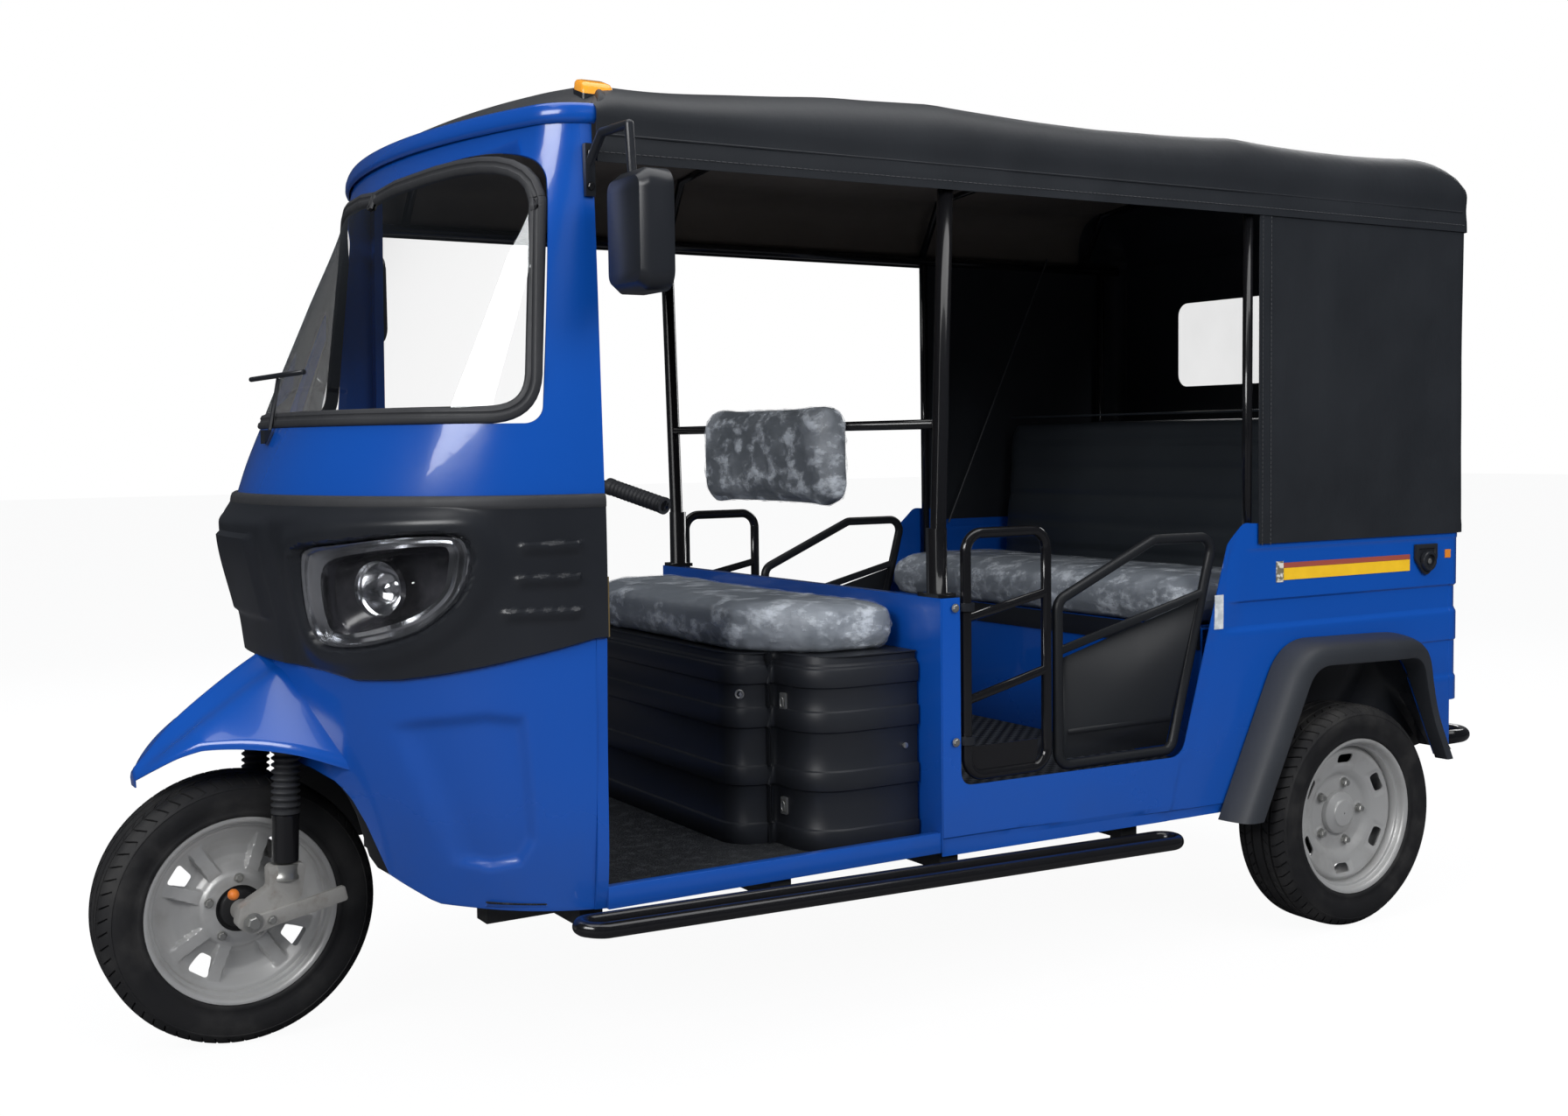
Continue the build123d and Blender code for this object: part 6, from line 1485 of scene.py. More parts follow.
heights = sorted({round(BODY_LOW + (LOBE_TOP - BODY_LOW) * k / 56, 5) for k in range(57)}
                 | {0.7575, 0.755, 0.7525, 0.701, 0.6945, 0.688, 0.872, 0.870, 0.868, 0.6225, 0.6205, 0.6185,
                    0.536, 0.532, 0.528, 0.330, 0.328, 0.326, 0.315, 0.313, 0.311})
marks = {round(p[0], 5) for p in PANEL_TOP_LINE + PANEL_LOW_LINE}
marks |= {round(-BULK + 0.003 + (BULK - 0.003 - CORNER_START) * k / 104, 5) for k in range(105)}
stations = sorted(marks)
for side, label in SIDES:
    rows = []
    for level_z in heights:
        row = []
        for back_x in stations:
            x = -back_x
            z = min(max(level_z, along(PANEL_LOW_LINE, back_x)), along(PANEL_TOP_LINE, back_x))
            row.append(Vector((x, side * (body_half(x) - swage(x, z)), z)))
        rows.append(row)
    skin = meshed(f"side_skin_{label}", rows)
    with reshaped(skin.data, MERGE) as shape:
        bmesh.ops.dissolve_degenerate(shape, edges=shape.edges, dist=MERGE)
        bmesh.ops.recalc_face_normals(shape, faces=shape.faces)
    out_facing = sum(f.normal.y * f.area for f in skin.data.polygons) * side > 0
    thickened(skin, 0.0028, -1.0 if out_facing else 1.0)
    settle(skin, enamel, "chassis", "side_panels", sharp=28)

inner_parts = copied("wheel_boxes_and_hinges", "side_panels")
HINGES = (0.520, 0.788)


def on_skin(face):
    """True for a face of the outer skin, which has its own piece."""
    if all(abs(v.co.z - HINGES[0]) < 0.010 or abs(v.co.z - HINGES[1]) < 0.010 for v in face.verts):
        return not all(0.02 < v.co.x < 0.11 for v in face.verts)
    return all(abs(v.co.y) > body_half(v.co.x) - 0.0034 for v in face.verts)


BOX_FOOT = 0.352
with reshaped(inner_parts.data, MERGE) as shape:
    bmesh.ops.delete(shape, geom=[f for f in shape.faces if on_skin(f)], context="FACES")
    for vertex in shape.verts:
        if vertex.co.x < REAR - 0.2 and vertex.co.z < BOX_FOOT:
            vertex.co.z = BOX_FOOT
settle(inner_parts, black_moulding, "chassis", "side_panels", sharp=30)

# ------------------------------------------------------------------ rear panel and bulkhead
# The rear skin turns round both corners with the same swages as the sides. The bulkhead behind
# the driver is one sheet with its top edge rolled over.
REAR_LOW, BENCH_MIDDLE = 0.470, Vector((-0.9, 0, 0))
BODY_CORNER = 0.060
plan = [Vector((CORNER_START - 0.0002, BODY_HALF, 0))]
for k in range(13):
    angle = pi / 2 * k / 12
    plan.append(Vector((CORNER_START - BODY_CORNER * sin(angle),
                        BODY_HALF - BODY_CORNER + BODY_CORNER * cos(angle), 0)))
plan += [Vector((BODY_BACK, 0.573 * (1 - k / 20), 0)) for k in range(1, 21)]
plan += [Vector((p.x, -p.y, 0)) for p in plan[-2::-1]]
rear_rows = []
for level_z in [z for z in heights if REAR_LOW < z < BODY_TOP] + [BODY_TOP]:
    row = []
    for k, point in enumerate(plan):
        before, after = plan[max(0, k - 1)], plan[min(len(plan) - 1, k + 1)]
        way = (after - before).normalized()
        inward_way = Vector((-way.y, way.x, 0))
        if inward_way.dot(BENCH_MIDDLE - point) < 0:
            inward_way.negate()
        row.append(Vector((point.x, point.y, level_z)) + inward_way * swage(-1.4, level_z))
    rear_rows.append(row)
rear_skin = laid("rear_skin", rear_rows)
thickened(rear_skin, 0.0028, 0.0)
settle(rear_skin, enamel, "chassis", "rear_panel", sharp=28)
merged("bulkhead", enamel, "chassis", bevel=0.0012)
merged("bench_frame", enamel, "chassis", bevel=0.001)

# ------------------------------------------------------------------ arch flares
# Moulded black plastic with a fine grain, screwed to the skin round each rear arch: a sloping
# upper face rolls over into an upright outer one.
flare_plastic = mottled("flare_plastic", (0.022, 0.025, 0.030), 0.5, (5, 5), (0.016, 0.018, 0.022),
                        (0.036, 0.040, 0.047), 0.42, 0.16, ((340, 2), 0.0005, 0.35))
FLARE_SECTION = [
    # growth beyond the wheel opening, distance from the car's middle
    (0.0500, 0.6336), (0.0498, 0.6420), (0.0482, 0.6600),
    (0.0450, 0.6800), (0.0405, 0.6965), (0.0350, 0.7065),
    (0.0280, 0.7112), (0.0200, 0.7125), (0.0060, 0.7122), (0.0020, 0.7105), (0.0006, 0.7070), (0.0, 0.6336),
]


def arch_offset(grow, low_front, low_back, count=110):
    """The wheel opening's outline grown by `grow`, as evenly spaced (x, z) points."""
    corners = [(REAR + 0.296, 0.285), (REAR + 0.136, 0.606), (REAR - 0.238, 0.598), (REAR - 0.364, 0.340)]
    lines = []
    for (x0, z0), (x1, z1) in zip(corners, corners[1:]):
        run = hypot(x1 - x0, z1 - z0)
        away = ((z1 - z0) / run * grow, -(x1 - x0) / run * grow)
        lines.append((Vector((x0 + away[0], z0 + away[1])), Vector((x1 + away[0], z1 + away[1]))))

    def cross(first, second):
        (a, b), (c, d) = first, second
        r, s = b - a, d - c
        t = ((c.x - a.x) * s.y - (c.y - a.y) * s.x) / (r.x * s.y - r.y * s.x)
        return a + r * t

    foot_front = cross(lines[0], (Vector((0, low_front)), Vector((1, low_front))))
    foot_back = cross(lines[-1], (Vector((0, low_back)), Vector((1, low_back))))
    route = softened([tuple(foot_front), tuple(cross(lines[0], lines[1])), tuple(cross(lines[1], lines[2])),
                      tuple(foot_back)], [0.075 + grow, 0.075 + grow], 24)
    lengths = [0.0]
    for (x0, z0), (x1, z1) in zip(route, route[1:]):
        lengths.append(lengths[-1] + hypot(x1 - x0, z1 - z0))
    points = []
    for k in range(count):
        at = lengths[-1] * k / (count - 1)
        n = max(i for i in range(len(lengths) - 1) if lengths[i] <= at + 1e-9)
        t = (at - lengths[n]) / max(1e-9, lengths[n + 1] - lengths[n])
        points.append((route[n][0] + (route[n + 1][0] - route[n][0]) * t,
                       route[n][1] + (route[n + 1][1] - route[n][1]) * t))
    return points


FLARE_ROOT = 0.6336
flare_lines = [(arch_offset(grow * 1.16, 0.280, 0.338), y) for grow, y in FLARE_SECTION]
arch_line = flare_lines[-1][0]
for side, label in SIDES:
    rows = []
    for k, (edge_x, edge_z) in enumerate(arch_line):
        slim = eased(k / (len(arch_line) - 1), 0.60, 0.92)
        rows.append([Vector((edge_x + (line[k][0] - edge_x) * (1 - 0.45 * slim),
                             side * (FLARE_ROOT + (y - FLARE_ROOT) * (1 - 0.55 * slim)),
                             edge_z + (line[k][1] - edge_z) * (1 - 0.45 * slim))) for line, y in flare_lines])
    flare = laid(f"arch_flare_{label}", rows, ring=True, capped=True)
    settle(flare, flare_plastic, "chassis", "arch_flares", sharp=38)

# ------------------------------------------------------------------ stripe, reflectors, port and label
# Retro-reflective tape and a plain paper label are stuck to the paint. The charging socket sits
# under a small moulded hood.
tape_yellow = Finish("yellow_tape", (0.78, 0.46, 0.012), 0.42)
tape_yellow.put(Base_Color=tape_yellow.mix(tape_yellow.noise(26, 3), (0.70, 0.40, 0.010),
                                           (0.84, 0.52, 0.020)))
tape_red = uneven("red_tape", (0.30, 0.065, 0.045), 0.4, 0.34, 60, 3, 0.16)
tape_pale = Finish("pale_tape", (0.50, 0.47, 0.40), 0.4)
tape_pale.put(Base_Color=tape_pale.mix(tape_pale.noise(90, 2).above(0.45, 0.6), (0.16, 0.14, 0.10),
                                       (0.62, 0.60, 0.54)))
orange_tape = uneven("orange_reflector", (0.62, 0.20, 0.02), 0.35, 0.3, 200, 1, 0.2)
paper = Finish("white_label", (0.62, 0.64, 0.64), 0.6)
paper.put(Base_Color=paper.mix(paper.noise(60, 3).above(0.35, 0.75), (0.42, 0.45, 0.47), (0.66, 0.68, 0.68)))


def stuck_on(name, x0, x1, z0, z1, side, finish, slot, lean=0.0, lift=0.0009):
    """A thin strip on the side skin between two stations and two heights."""
    rows = []
    for step in range(3):
        z = z0 + (z1 - z0) * step / 2
        rows.append([Vector((x, side * (body_half(x) - swage(x, z) + lift), z + lean * (x - x0)))
                     for x in (x0 + (x1 - x0) * k / 12 for k in range(13))])
    strip = laid(name, rows)
    thickened(strip, 0.0007, 0.0)
    return settle(strip, finish, "chassis", slot=slot, sharp=30)


for side, label in SIDES:
    stuck_on(f"yellow_stripe_{label}", REAR + 0.157, REAR - 0.270, 0.797, 0.824, side, tape_yellow,
             "amber_lens")
    stuck_on(f"red_stripe_{label}", REAR + 0.157, REAR - 0.270, 0.8245, 0.8360, side, tape_red, "red_lens")
    stuck_on(f"stripe_end_{label}", REAR + 0.181, REAR + 0.158, 0.793, 0.840, side, tape_pale, "mirror")
    stuck_on(f"corner_reflector_{label}", REAR - 0.398, REAR - 0.419, 0.8220, 0.8420, side, orange_tape,
             "amber_lens")
stuck_on("paper_label", REAR + 0.372, REAR + 0.345, 0.700, 0.775, 1, paper, "mirror", lift=0.0012)

PORT = Vector((REAR - 0.324, BODY_HALF, 0.818))
hood_shape = softened([(0.040, 0.041), (0.040, 0.004), (0.0, -0.046), (-0.040, 0.004), (-0.040, 0.041)],
                      [0.020, 0.026, 0.020], 8)
hood_rows = []
for rise, size in ((0.0002, 1.0), (0.0050, 0.98), (0.0068, 0.90), (0.0066, 0.74), (0.0030, 0.70),
                   (0.0024, 0.05)):
    hood_rows.append([PORT + Vector((x * size, rise - 0.0010, z * size)) for x, z in hood_shape])
hood = laid("port_hood", hood_rows, ring=True, capped=True)
settle(hood, black_moulding, "chassis", "charge_port", sharp=35)


def side_turned(name, centre, outline, finish, body, *nodes, slot=None, count=40):
    """A round piece that faces the left, from (height above the skin, radius) points."""
    rows = [circle(centre + Vector((0, rise, 0)), Vector((1, 0, 0)), Vector((0, 0, 1)), radius, count)
            for rise, radius in outline]
    return settle(laid(name, rows, ring=True, capped=True), finish, body, *nodes, slot=slot, sharp=30)


side_turned("port_socket", PORT, [(0.0040, 0.0240), (0.0130, 0.0235), (0.0155, 0.0215), (0.0158, 0.0165),
                                  (0.0090, 0.0150), (0.0090, 0.0020)], black_moulding, "chassis",
                                  "charge_port")
side_turned("port_pin", PORT, [(0.0080, 0.0068), (0.0130, 0.0066), (0.0145, 0.0045), (0.0146, 0.0008)], zinc,
            "chassis", "charge_port")

# ------------------------------------------------------------------ driver's seat box
# Black polyethylene moulding with three raised bands round it. It bulges in the middle and at
# each side, with a valley between where two plated latches and a key lock are let in.
BOX_BACK, BOX_FRONT, BOX_VALLEY, BOX_MID, BOX_SIDE = BULK + 0.006, BULK + 0.345, BULK + 0.258, 0.385, 0.535
BOX_BASE, BOX_TOP = 0.315, 0.700
box_half = softened([(BOX_FRONT, 0.0), (BOX_FRONT, BOX_MID), (BOX_VALLEY, BOX_MID), (BOX_VALLEY, BOX_SIDE),
                     (BOX_BACK, BOX_SIDE)], [0.082, 0.012, 0.110], 18)
box_half = [(BOX_FRONT, BOX_MID * k / 10 * 0.7) for k in range(10)] + box_half[1:]
box_plan = [(x, -y) for x, y in reversed(box_half[1:])] + box_half


def box_inset(z):
    """How far the moulding's wall lies in: bands stand out, with a lip at the top."""
    inset = 0.0055
    for low, high in ((0.3150, 0.3580), (0.4340, 0.4740), (0.5500, 0.5920), (0.6380, 0.6760)):
        inset -= 0.0055 * eased(z, low - 0.0015, low + 0.0015) * (1 - eased(z, high - 0.0020, high + 0.0004))
    return inset + 0.006 * eased(z, 0.680, 0.684)


moulded = mottled("seat_box_plastic", (0.012, 0.013, 0.016), 0.34, (4, 5), (0.0085, 0.0095, 0.012),
                  (0.020, 0.022, 0.027), 0.36, 0.18, ((7, 4), 0.004, 0.10))
box_heights = sorted({BOX_BASE, BOX_TOP - 0.0005, 0.680, 0.684}
                     | {z + d for low, high in ((0.4340, 0.4740), (0.5500, 0.5920), (0.6380, 0.6760))
                        for z, d in ((low, -0.0015), (low, 0), (low, 0.0015), (high, -0.002), (high, 0.0004))}
                     | {0.356, 0.3584, 0.40, 0.454, 0.51, 0.571, 0.615, 0.657})


def plan_rows(outline, heights, inset):
    """Rows round an open plan, drawn in by inset(z) square to it."""
    rows = []
    for z in heights:
        row = []
        for k, (x, y) in enumerate(outline):
            x0, y0 = outline[max(0, k - 1)]
            x1, y1 = outline[min(len(outline) - 1, k + 1)]
            run = max(1e-9, hypot(x1 - x0, y1 - y0))
            row.append(Vector((x - (y1 - y0) / run * inset(z), y + (x1 - x0) / run * inset(z), z)))
        rows.append(row)
    return rows


seat_box = laid("seat_box_wall", plan_rows(box_plan, box_heights, box_inset))
front_facing = sum(f.normal.x * f.area for f in seat_box.data.polygons) > 0
thickened(seat_box, 0.005, -1.0 if front_facing else 1.0)
rounded(seat_box, 0.0008, 1, 40)
settle(seat_box, moulded, "chassis", "driver_seat_box", sharp=50)
lid_rows = [[Vector((x - 0.010 * (x > BOX_BACK + 0.02), y * 0.988, z)) for x, y in box_plan]
            for z in (0.6975, 0.6998)]
box_lid = laid("seat_box_lid", lid_rows, ring=True, capped=True)
settle(box_lid, moulded, "chassis", "driver_seat_box", sharp=40)


def front_turned(name, centre, out, outline, finish, slot, count=32):
    """A small round piece that faces along `out`, from (height, radius) points."""
    out = out.normalized()
    side = out.orthogonal().normalized()
    up = out.cross(side)
    rows = [circle(centre + out * rise, side, up, radius, count) for rise, radius in outline]
    return settle(laid(name, rows, ring=True, capped=True), finish, "chassis", slot=slot, sharp=30)


def latch(name, centre, out):
    """A small pressed latch plate with its eye."""
    out = out.normalized()
    across_way = Vector((0, 0, 1)).cross(out).normalized()
    plate_line = softened([(0, 0.0175), (0.011, 0.0175), (0.011, -0.0175), (-0.011, -0.0175),
                           (-0.011, 0.0175),
                           (0, 0.0175)], [0.004] * 4, 4)
    rows = [[centre + across_way * a * size + Vector((0, 0, b * size)) + out * rise
             for a, b in plate_line[:-1]]
            for rise, size in ((-0.002, 1.0), (0.0016, 1.0), (0.0022, 0.92), (0.0022, 0.6), (0.0010, 0.54),
                               (0.0010, 0.05))]
    plate = laid(name, rows, ring=True, capped=True)
    settle(plate, zinc, "chassis", slot="chrome", sharp=35)
    loop = [centre + across_way * 0.0055 * cos(t) + Vector((0, 0, 0.010 * sin(t) - 0.001)) + out * 0.0042
            for t in (2 * pi * k / 20 for k in range(21))]
    pipe_along(name + "_eye", loop, 0.0013, zinc, "chrome")


latch("upper_latch", Vector((BOX_VALLEY - 0.0035, BOX_MID + 0.036, 0.605)), Vector((1, 0.12, 0)))
latch("lower_latch", Vector((BOX_VALLEY - 0.0035, BOX_MID + 0.036, 0.396)), Vector((1, 0.12, 0)))
key_centre = Vector((BOX_FRONT - 0.0255, BOX_MID - 0.0255, 0.618))
front_turned("box_key_lock", key_centre, Vector((0.75, 0.66, 0)),
             [(-0.004, 0.0100), (0.0020, 0.0098), (0.0030, 0.0085), (0.0026, 0.0060), (0.0014, 0.0056),
              (0.0016, 0.0010)], zinc, "chrome")
front_turned("box_side_screw", Vector((BOX_BACK + 0.030, BOX_SIDE - 0.0050, 0.510)), Vector((0, 1, 0)),
             [(-0.002, 0.0060), (0.0020, 0.0058), (0.0030, 0.0040), (0.0030, 0.0008)], zinc, "chrome")

# ------------------------------------------------------------------ cushions and backrests
# Grey coated cloth over foam. Each starts slightly small and is blown up by a cloth simulation,
# then the sewn lines are pulled in. All but the bench backrest keep their clear delivery film.
WEAVE = ((420, 2), 0.0004, 0.3)
seat_grey = mottled("grey_seat_cloth", (0.10, 0.115, 0.135), 0.5, (3, 4), (0.075, 0.088, 0.105),
                    (0.15, 0.17, 0.195), 0.40, 0.16, WEAVE)
back_grey = mottled("dark_seat_cloth", (0.030, 0.037, 0.046), 0.45, (3, 4), (0.020, 0.025, 0.032),
                    (0.045, 0.055, 0.066), 0.36, 0.16, WEAVE)
bench_black = mottled("dark_bench_cloth", (0.017, 0.021, 0.026), 0.45, (2.5, 4), (0.012, 0.015, 0.019),
                      (0.028, 0.034, 0.041), 0.38, 0.14, WEAVE)
GRAIN, CLOTH_FRAMES = 0.020, 14


def pad_block(name, outline, near, far, place, edge=0.018):
    """A closed block from its outline, with its edges eased off."""
    middle = [sum(p[n] for p in outline) / len(outline) for n in (0, 1)]
    reach = [max(abs(p[n] - middle[n]) for p in outline) for n in (0, 1)]
    rows = []
    for depth, small in ((near, edge), (near + edge * 0.3, edge * 0.3), (near + edge, 0), (far - edge, 0),
                         (far - edge * 0.3, edge * 0.3), (far, edge)):
        rows.append([place(middle[0] + (u - middle[0]) * (1 - small / reach[0]),
                           middle[1] + (v - middle[1]) * (1 - small / reach[1]), depth) for u, v in outline])
    return laid(name, rows, ring=True, capped=True)


def lying(u, v, w):
    """Place on a cushion that lies flat: along, across and up."""
    return Vector((u, v, w))


def swollen(piece, cap, hold, pull=None, pressure=4.0):
    """Blow a foam piece up, cap how far each point goes, keep it in `hold`, pull its seams in."""
    grain = piece.modifiers.new("grain", "REMESH")
    grain.mode, grain.voxel_size = "VOXEL", GRAIN
    piece.data = worked(piece)
    piece.modifiers.clear()
    start = [v.co.copy() for v in piece.data.vertices]
    cloth = piece.modifiers.new("cloth", "CLOTH")
    cloth.settings.use_pressure = True
    cloth.settings.uniform_pressure_force = pressure
    cloth.settings.effector_weights.gravity = 0
    cloth.point_cache.frame_end = CLOTH_FRAMES
    for step in range(1, CLOTH_FRAMES + 1):
        bpy.context.scene.frame_set(step)
    graph = bpy.context.evaluated_depsgraph_get()
    blown = piece.evaluated_get(graph)
    ends = [v.co.copy() for v in blown.data.vertices]
    piece.modifiers.clear()
    bpy.context.scene.frame_set(1)
    for vertex, old, new in zip(piece.data.vertices, start, ends):
        move = new - old
        if move.length > cap:
            move *= cap / move.length
        vertex.co = old + move
    for vertex in piece.data.vertices:
        vertex.co = hold(vertex.co)
    finer = piece.modifiers.new("finer", "SUBSURF")
    finer.levels = finer.render_levels = 1
    piece.data = worked(piece)
    piece.modifiers.clear()
    if pull:
        for vertex in piece.data.vertices:
            vertex.co = hold(vertex.co - vertex.normal * pull(vertex.co))
    return piece


clear_wrap = Finish("clear_wrap", (0.78, 0.83, 0.90), 0.16, Alpha=0.2)
fine_folds = clear_wrap.noise(17, 6, (1, 1, 1.6), 0.62)
broad_folds = clear_wrap.noise(6, 4)
# Painted highlights: the film's pale colour is made more opaque along its folds, where the creases would
# catch the light. The fold bumps and roughness below are real relief.
fold_highlights = fine_folds.above(0.47, 0.68) * 0.46 + broad_folds.above(0.46, 0.72) * 0.22
clear_wrap.put(Alpha=0.10 + fold_highlights, Roughness=0.12 + fine_folds * 0.12)
crumple = clear_wrap.relief(broad_folds, 0.020, 0.5)
clear_wrap.relief(fine_folds, 0.010, 0.7, under=crumple)


def wrapped(name, piece, lift, crinkle, hold):
    """Thin film over a cushion, loose enough to crease."""
    sheet = placed(name, piece.data.copy())
    for vertex, bare in zip(sheet.data.vertices, piece.data.vertices):
        p, n = bare.co, bare.normal
        fold = 1 - abs(noise.noise(Vector((p.x * 16, p.y * 16, p.z * 26)))) * 2.4
        fold = max(0.0, fold) ** 3 * (0.35 + 0.65 * (1 - abs(n.z)))
        soft = noise.noise(Vector((p.x * 5 + 3, p.y * 5, p.z * 7))) * 0.5 + 0.5
        vertex.co = hold(p + n * (lift + crinkle * fold + 0.0012 * soft))
    return settle(sheet, clear_wrap, "chassis", slot="clear", sharp=75)


def in_box(low, high):
    """Keeps a point inside a box."""
    def hold(point):
        return Vector(min(max(point[n], low[n]), high[n]) for n in range(3))
    return hold


seat_line = softened([(BOX_BACK + 0.016, 0.0), (BOX_BACK + 0.016, -0.490), (BOX_FRONT - 0.135, -0.490),
                      (BOX_FRONT - 0.012, -0.335), (BOX_FRONT - 0.012, 0.335), (BOX_FRONT - 0.135, 0.490),
                      (BOX_BACK + 0.016, 0.490), (BOX_BACK + 0.016, 0.0)],
                     [0.03, 0.060, 0.060, 0.060, 0.060, 0.03], 8)[:-1]
driver_seat = pad_block("driver_cushion_cloth", seat_line, 0.702, 0.7885, lying, 0.010)
seat_hold = in_box((BOX_BACK, -0.512, 0.7008), (BOX_FRONT + 0.010, 0.512, 0.800))
swollen(driver_seat, 0.009, seat_hold, lambda p: 0.0035 * exp(-((p.z - 0.7185) / 0.006) ** 2))
wrapped("driver_cushion_film", driver_seat, 0.0012, 0.0055,
        in_box((BOX_BACK, -0.517, 0.7006), (BOX_FRONT + 0.014, 0.517, 0.8025)))
settle(driver_seat, seat_grey, "chassis", "driver_cushion", sharp=75)

PAD_X = REAR + 1.120
pad_line = softened([(0.0, 0.979), (0.284, 0.979), (0.284, 1.201), (-0.284, 1.201), (-0.284, 0.979),
                     (0.0, 0.979)],
                    [0.045, 0.060, 0.060, 0.045], 8)[:-1]
driver_back = pad_block("driver_backrest_cloth", pad_line, PAD_X - 0.034, PAD_X + 0.026,
                        lambda u, v, w: Vector((w, u, v)), 0.014)
back_hold = in_box((PAD_X - 0.0355, -0.289, 0.974), (PAD_X + 0.040, 0.289, 1.206))
swollen(driver_back, 0.010, back_hold, lambda p: 0.0030 * exp(-((p.x - PAD_X - 0.020) / 0.005) ** 2))
wrapped("driver_backrest_film", driver_back, 0.0010, 0.0045,
        in_box((PAD_X - 0.0358, -0.293, 0.970), (PAD_X + 0.044, 0.293, 1.210)))
settle(driver_back, back_grey, "chassis", "driver_backrest", sharp=75)

bench_line = [(REAR + 0.046, -0.578), (REAR + 0.424, -0.578), (REAR + 0.424, 0.578), (REAR + 0.046, 0.578)]
bench_line = softened(bench_line + bench_line[:1], [0.045, 0.045, 0.02], 6)[:-1]
bench_seat = pad_block("bench_cushion_cloth", bench_line, 0.7035, 0.797, lying, 0.026)
bench_hold = in_box((REAR + 0.038, -0.588, 0.7008), (REAR + 0.440, 0.588, 0.816))
swollen(bench_seat, 0.016, bench_hold,
        lambda p: 0.0032 * exp(-((p.z - 0.722) / 0.006) ** 2)
        + 0.0020 * exp(-((p.x - REAR - 0.385) / 0.006) ** 2)
        * eased(p.z, 0.78, 0.79))
wrapped("bench_cushion_film", bench_seat, 0.0010, 0.0040,
        in_box((REAR + 0.038, -0.590, 0.7006), (REAR + 0.444, 0.590, 0.820)))
settle(bench_seat, seat_grey, "chassis", "bench_cushion", sharp=75)

ROLL, LEAN_FOOT, LEAN_HEAD, REST_FOOT, REST_HEAD = 0.074, REAR + 0.022, REAR - 0.018, 0.7003, 1.180


def leaning(u, v, w):
    """Place on the leaning backrest: across, height, and depth from its face backwards."""
    share = (v - REST_FOOT) / (REST_HEAD - REST_FOOT)
    return Vector((LEAN_FOOT + (LEAN_HEAD - LEAN_FOOT) * share - w, u, v))


rest_line = softened([(0.0, 0.712), (0.584, 0.708), (0.584, 1.176), (-0.584, 1.176), (-0.584, 0.708),
                      (0.0, 0.712)],
                     [0.02, 0.055, 0.055, 0.02], 8)[:-1]
bench_rest = pad_block("bench_backrest_cloth", rest_line, 0.004, 0.060, leaning, 0.016)


def rest_hold(point):
    share = (point.z - REST_FOOT) / (REST_HEAD - REST_FOOT)
    front = REAR + 0.030 + 0.006 - 0.040 * share
    back = REAR - 0.060 - 0.025 * share
    return Vector((min(max(point.x, back + 0.001), front), min(max(point.y, -0.588), 0.588),
                   min(max(point.z, 0.7012), 1.186)))


swollen(bench_rest, 0.008, rest_hold,
        lambda p: 0.0055 * exp(-((((p.z - 0.745) / ROLL + 0.5) % 1.0 - 0.5) * ROLL / 0.0085) ** 2)
        * eased(p.x, REAR - 0.04, REAR - 0.01) * (1 - eased(abs(p.y), 0.556, 0.575)))
settle(bench_rest, bench_black, "chassis", "bench_backrest", sharp=75)
top_welt = [Vector((LEAN_HEAD + 0.004, 0.560 - 1.120 * k / 30, 1.1830)) for k in range(31)]
pipe_along("backrest_top_welt", top_welt, 0.0030, bench_black, "vinyl_grey")
lid_edge = [[Vector((REAR + 0.3805 + lift, y, z)) for y in (-0.596, 0.596)] for z, lift in
            ((0.652, 0.0), (0.652, 0.004), (0.6985, 0.004), (0.6985, 0.0))]
bench_lip = laid("bench_lid_edge", lid_edge + [lid_edge[0]])
rounded(bench_lip, 0.001)
settle(bench_lip, black_moulding, "chassis", slot="black_plastic", sharp=30)

# ------------------------------------------------------------------ floors and mats
# Chequered rubber lies on the passenger floor, speckled loop mat on the driver's, both trimmed
# to the steel trays under them.
mat_loop = Finish("speckled_mat", (0.030, 0.032, 0.036), 0.9)
speckle = mat_loop.noise(330, 2)
patches = mat_loop.noise(38, 5)
passenger_end = mat_loop.x.above(BULK - 0.0401, BULK - 0.04)
grid = mat_loop.node("ShaderNodeTexChecker", Vector=mat_loop.where, Scale=62.0,
                     Color1=(1, 1, 1, 1), Color2=(0, 0, 0, 1))
squares = Sum(mat_loop.tree, grid.outputs["Fac"])
flecks = speckle.above(0.52, 0.72) * 0.75 + patches.above(0.45, 0.8) * 0.35
mat_loop.put(Base_Color=mat_loop.mix(flecks * passenger_end + squares * (1 - passenger_end) * 0.7,
                                     (0.010, 0.011, 0.013), (0.085, 0.092, 0.10)),
             Roughness=0.85 + speckle * 0.12)
mat_loop.relief(speckle * passenger_end + squares * (1 - passenger_end), 0.003, 0.8)
merged("floor_mats", mat_loop, "chassis")
merged("floors", enamel, "chassis", bevel=0.001)

# ------------------------------------------------------------------ chassis, axle, tubes and gates
# Welded box rails, cross members and wheel well in satin black, over a cast rear axle. The steps,
# bumper, roof frame and gates are bent tube dipped in gloss black. The front bow is set lower.
WELL_HALF = 0.545
frame_black = mottled("frame_black", (0.013, 0.014, 0.016), 0.5, (9, 5), (0.009, 0.010, 0.012),
                      (0.030, 0.030, 0.030), 0.42, 0.2)
for node in ("chassis_rails", "cross_members", "wheel_well"):
    beam = merged(node, frame_black, "chassis", bevel=0.0012)
    for vertex in beam.data.vertices:
        if vertex.co.x > 0.80 and abs(vertex.co.y) > WELL_HALF:
            vertex.co.y = copysign(WELL_HALF, vertex.co.y)
merged("rear_axle", cast_metal, "chassis", sharp=34)
for node in ("rear_bumper", "roof_rails", "roof_posts", "backrest_bar"):
    merged(node, gloss_black, "chassis", sharp=40)
guard_black = uneven("guard_black", (0.010, 0.011, 0.013), 0.42, 0.36, 12, 4, 0.14)
merged("side_guards", guard_black, "chassis", sharp=40)
bows_piece = merged("roof_bows", gloss_black, "chassis", sharp=40)
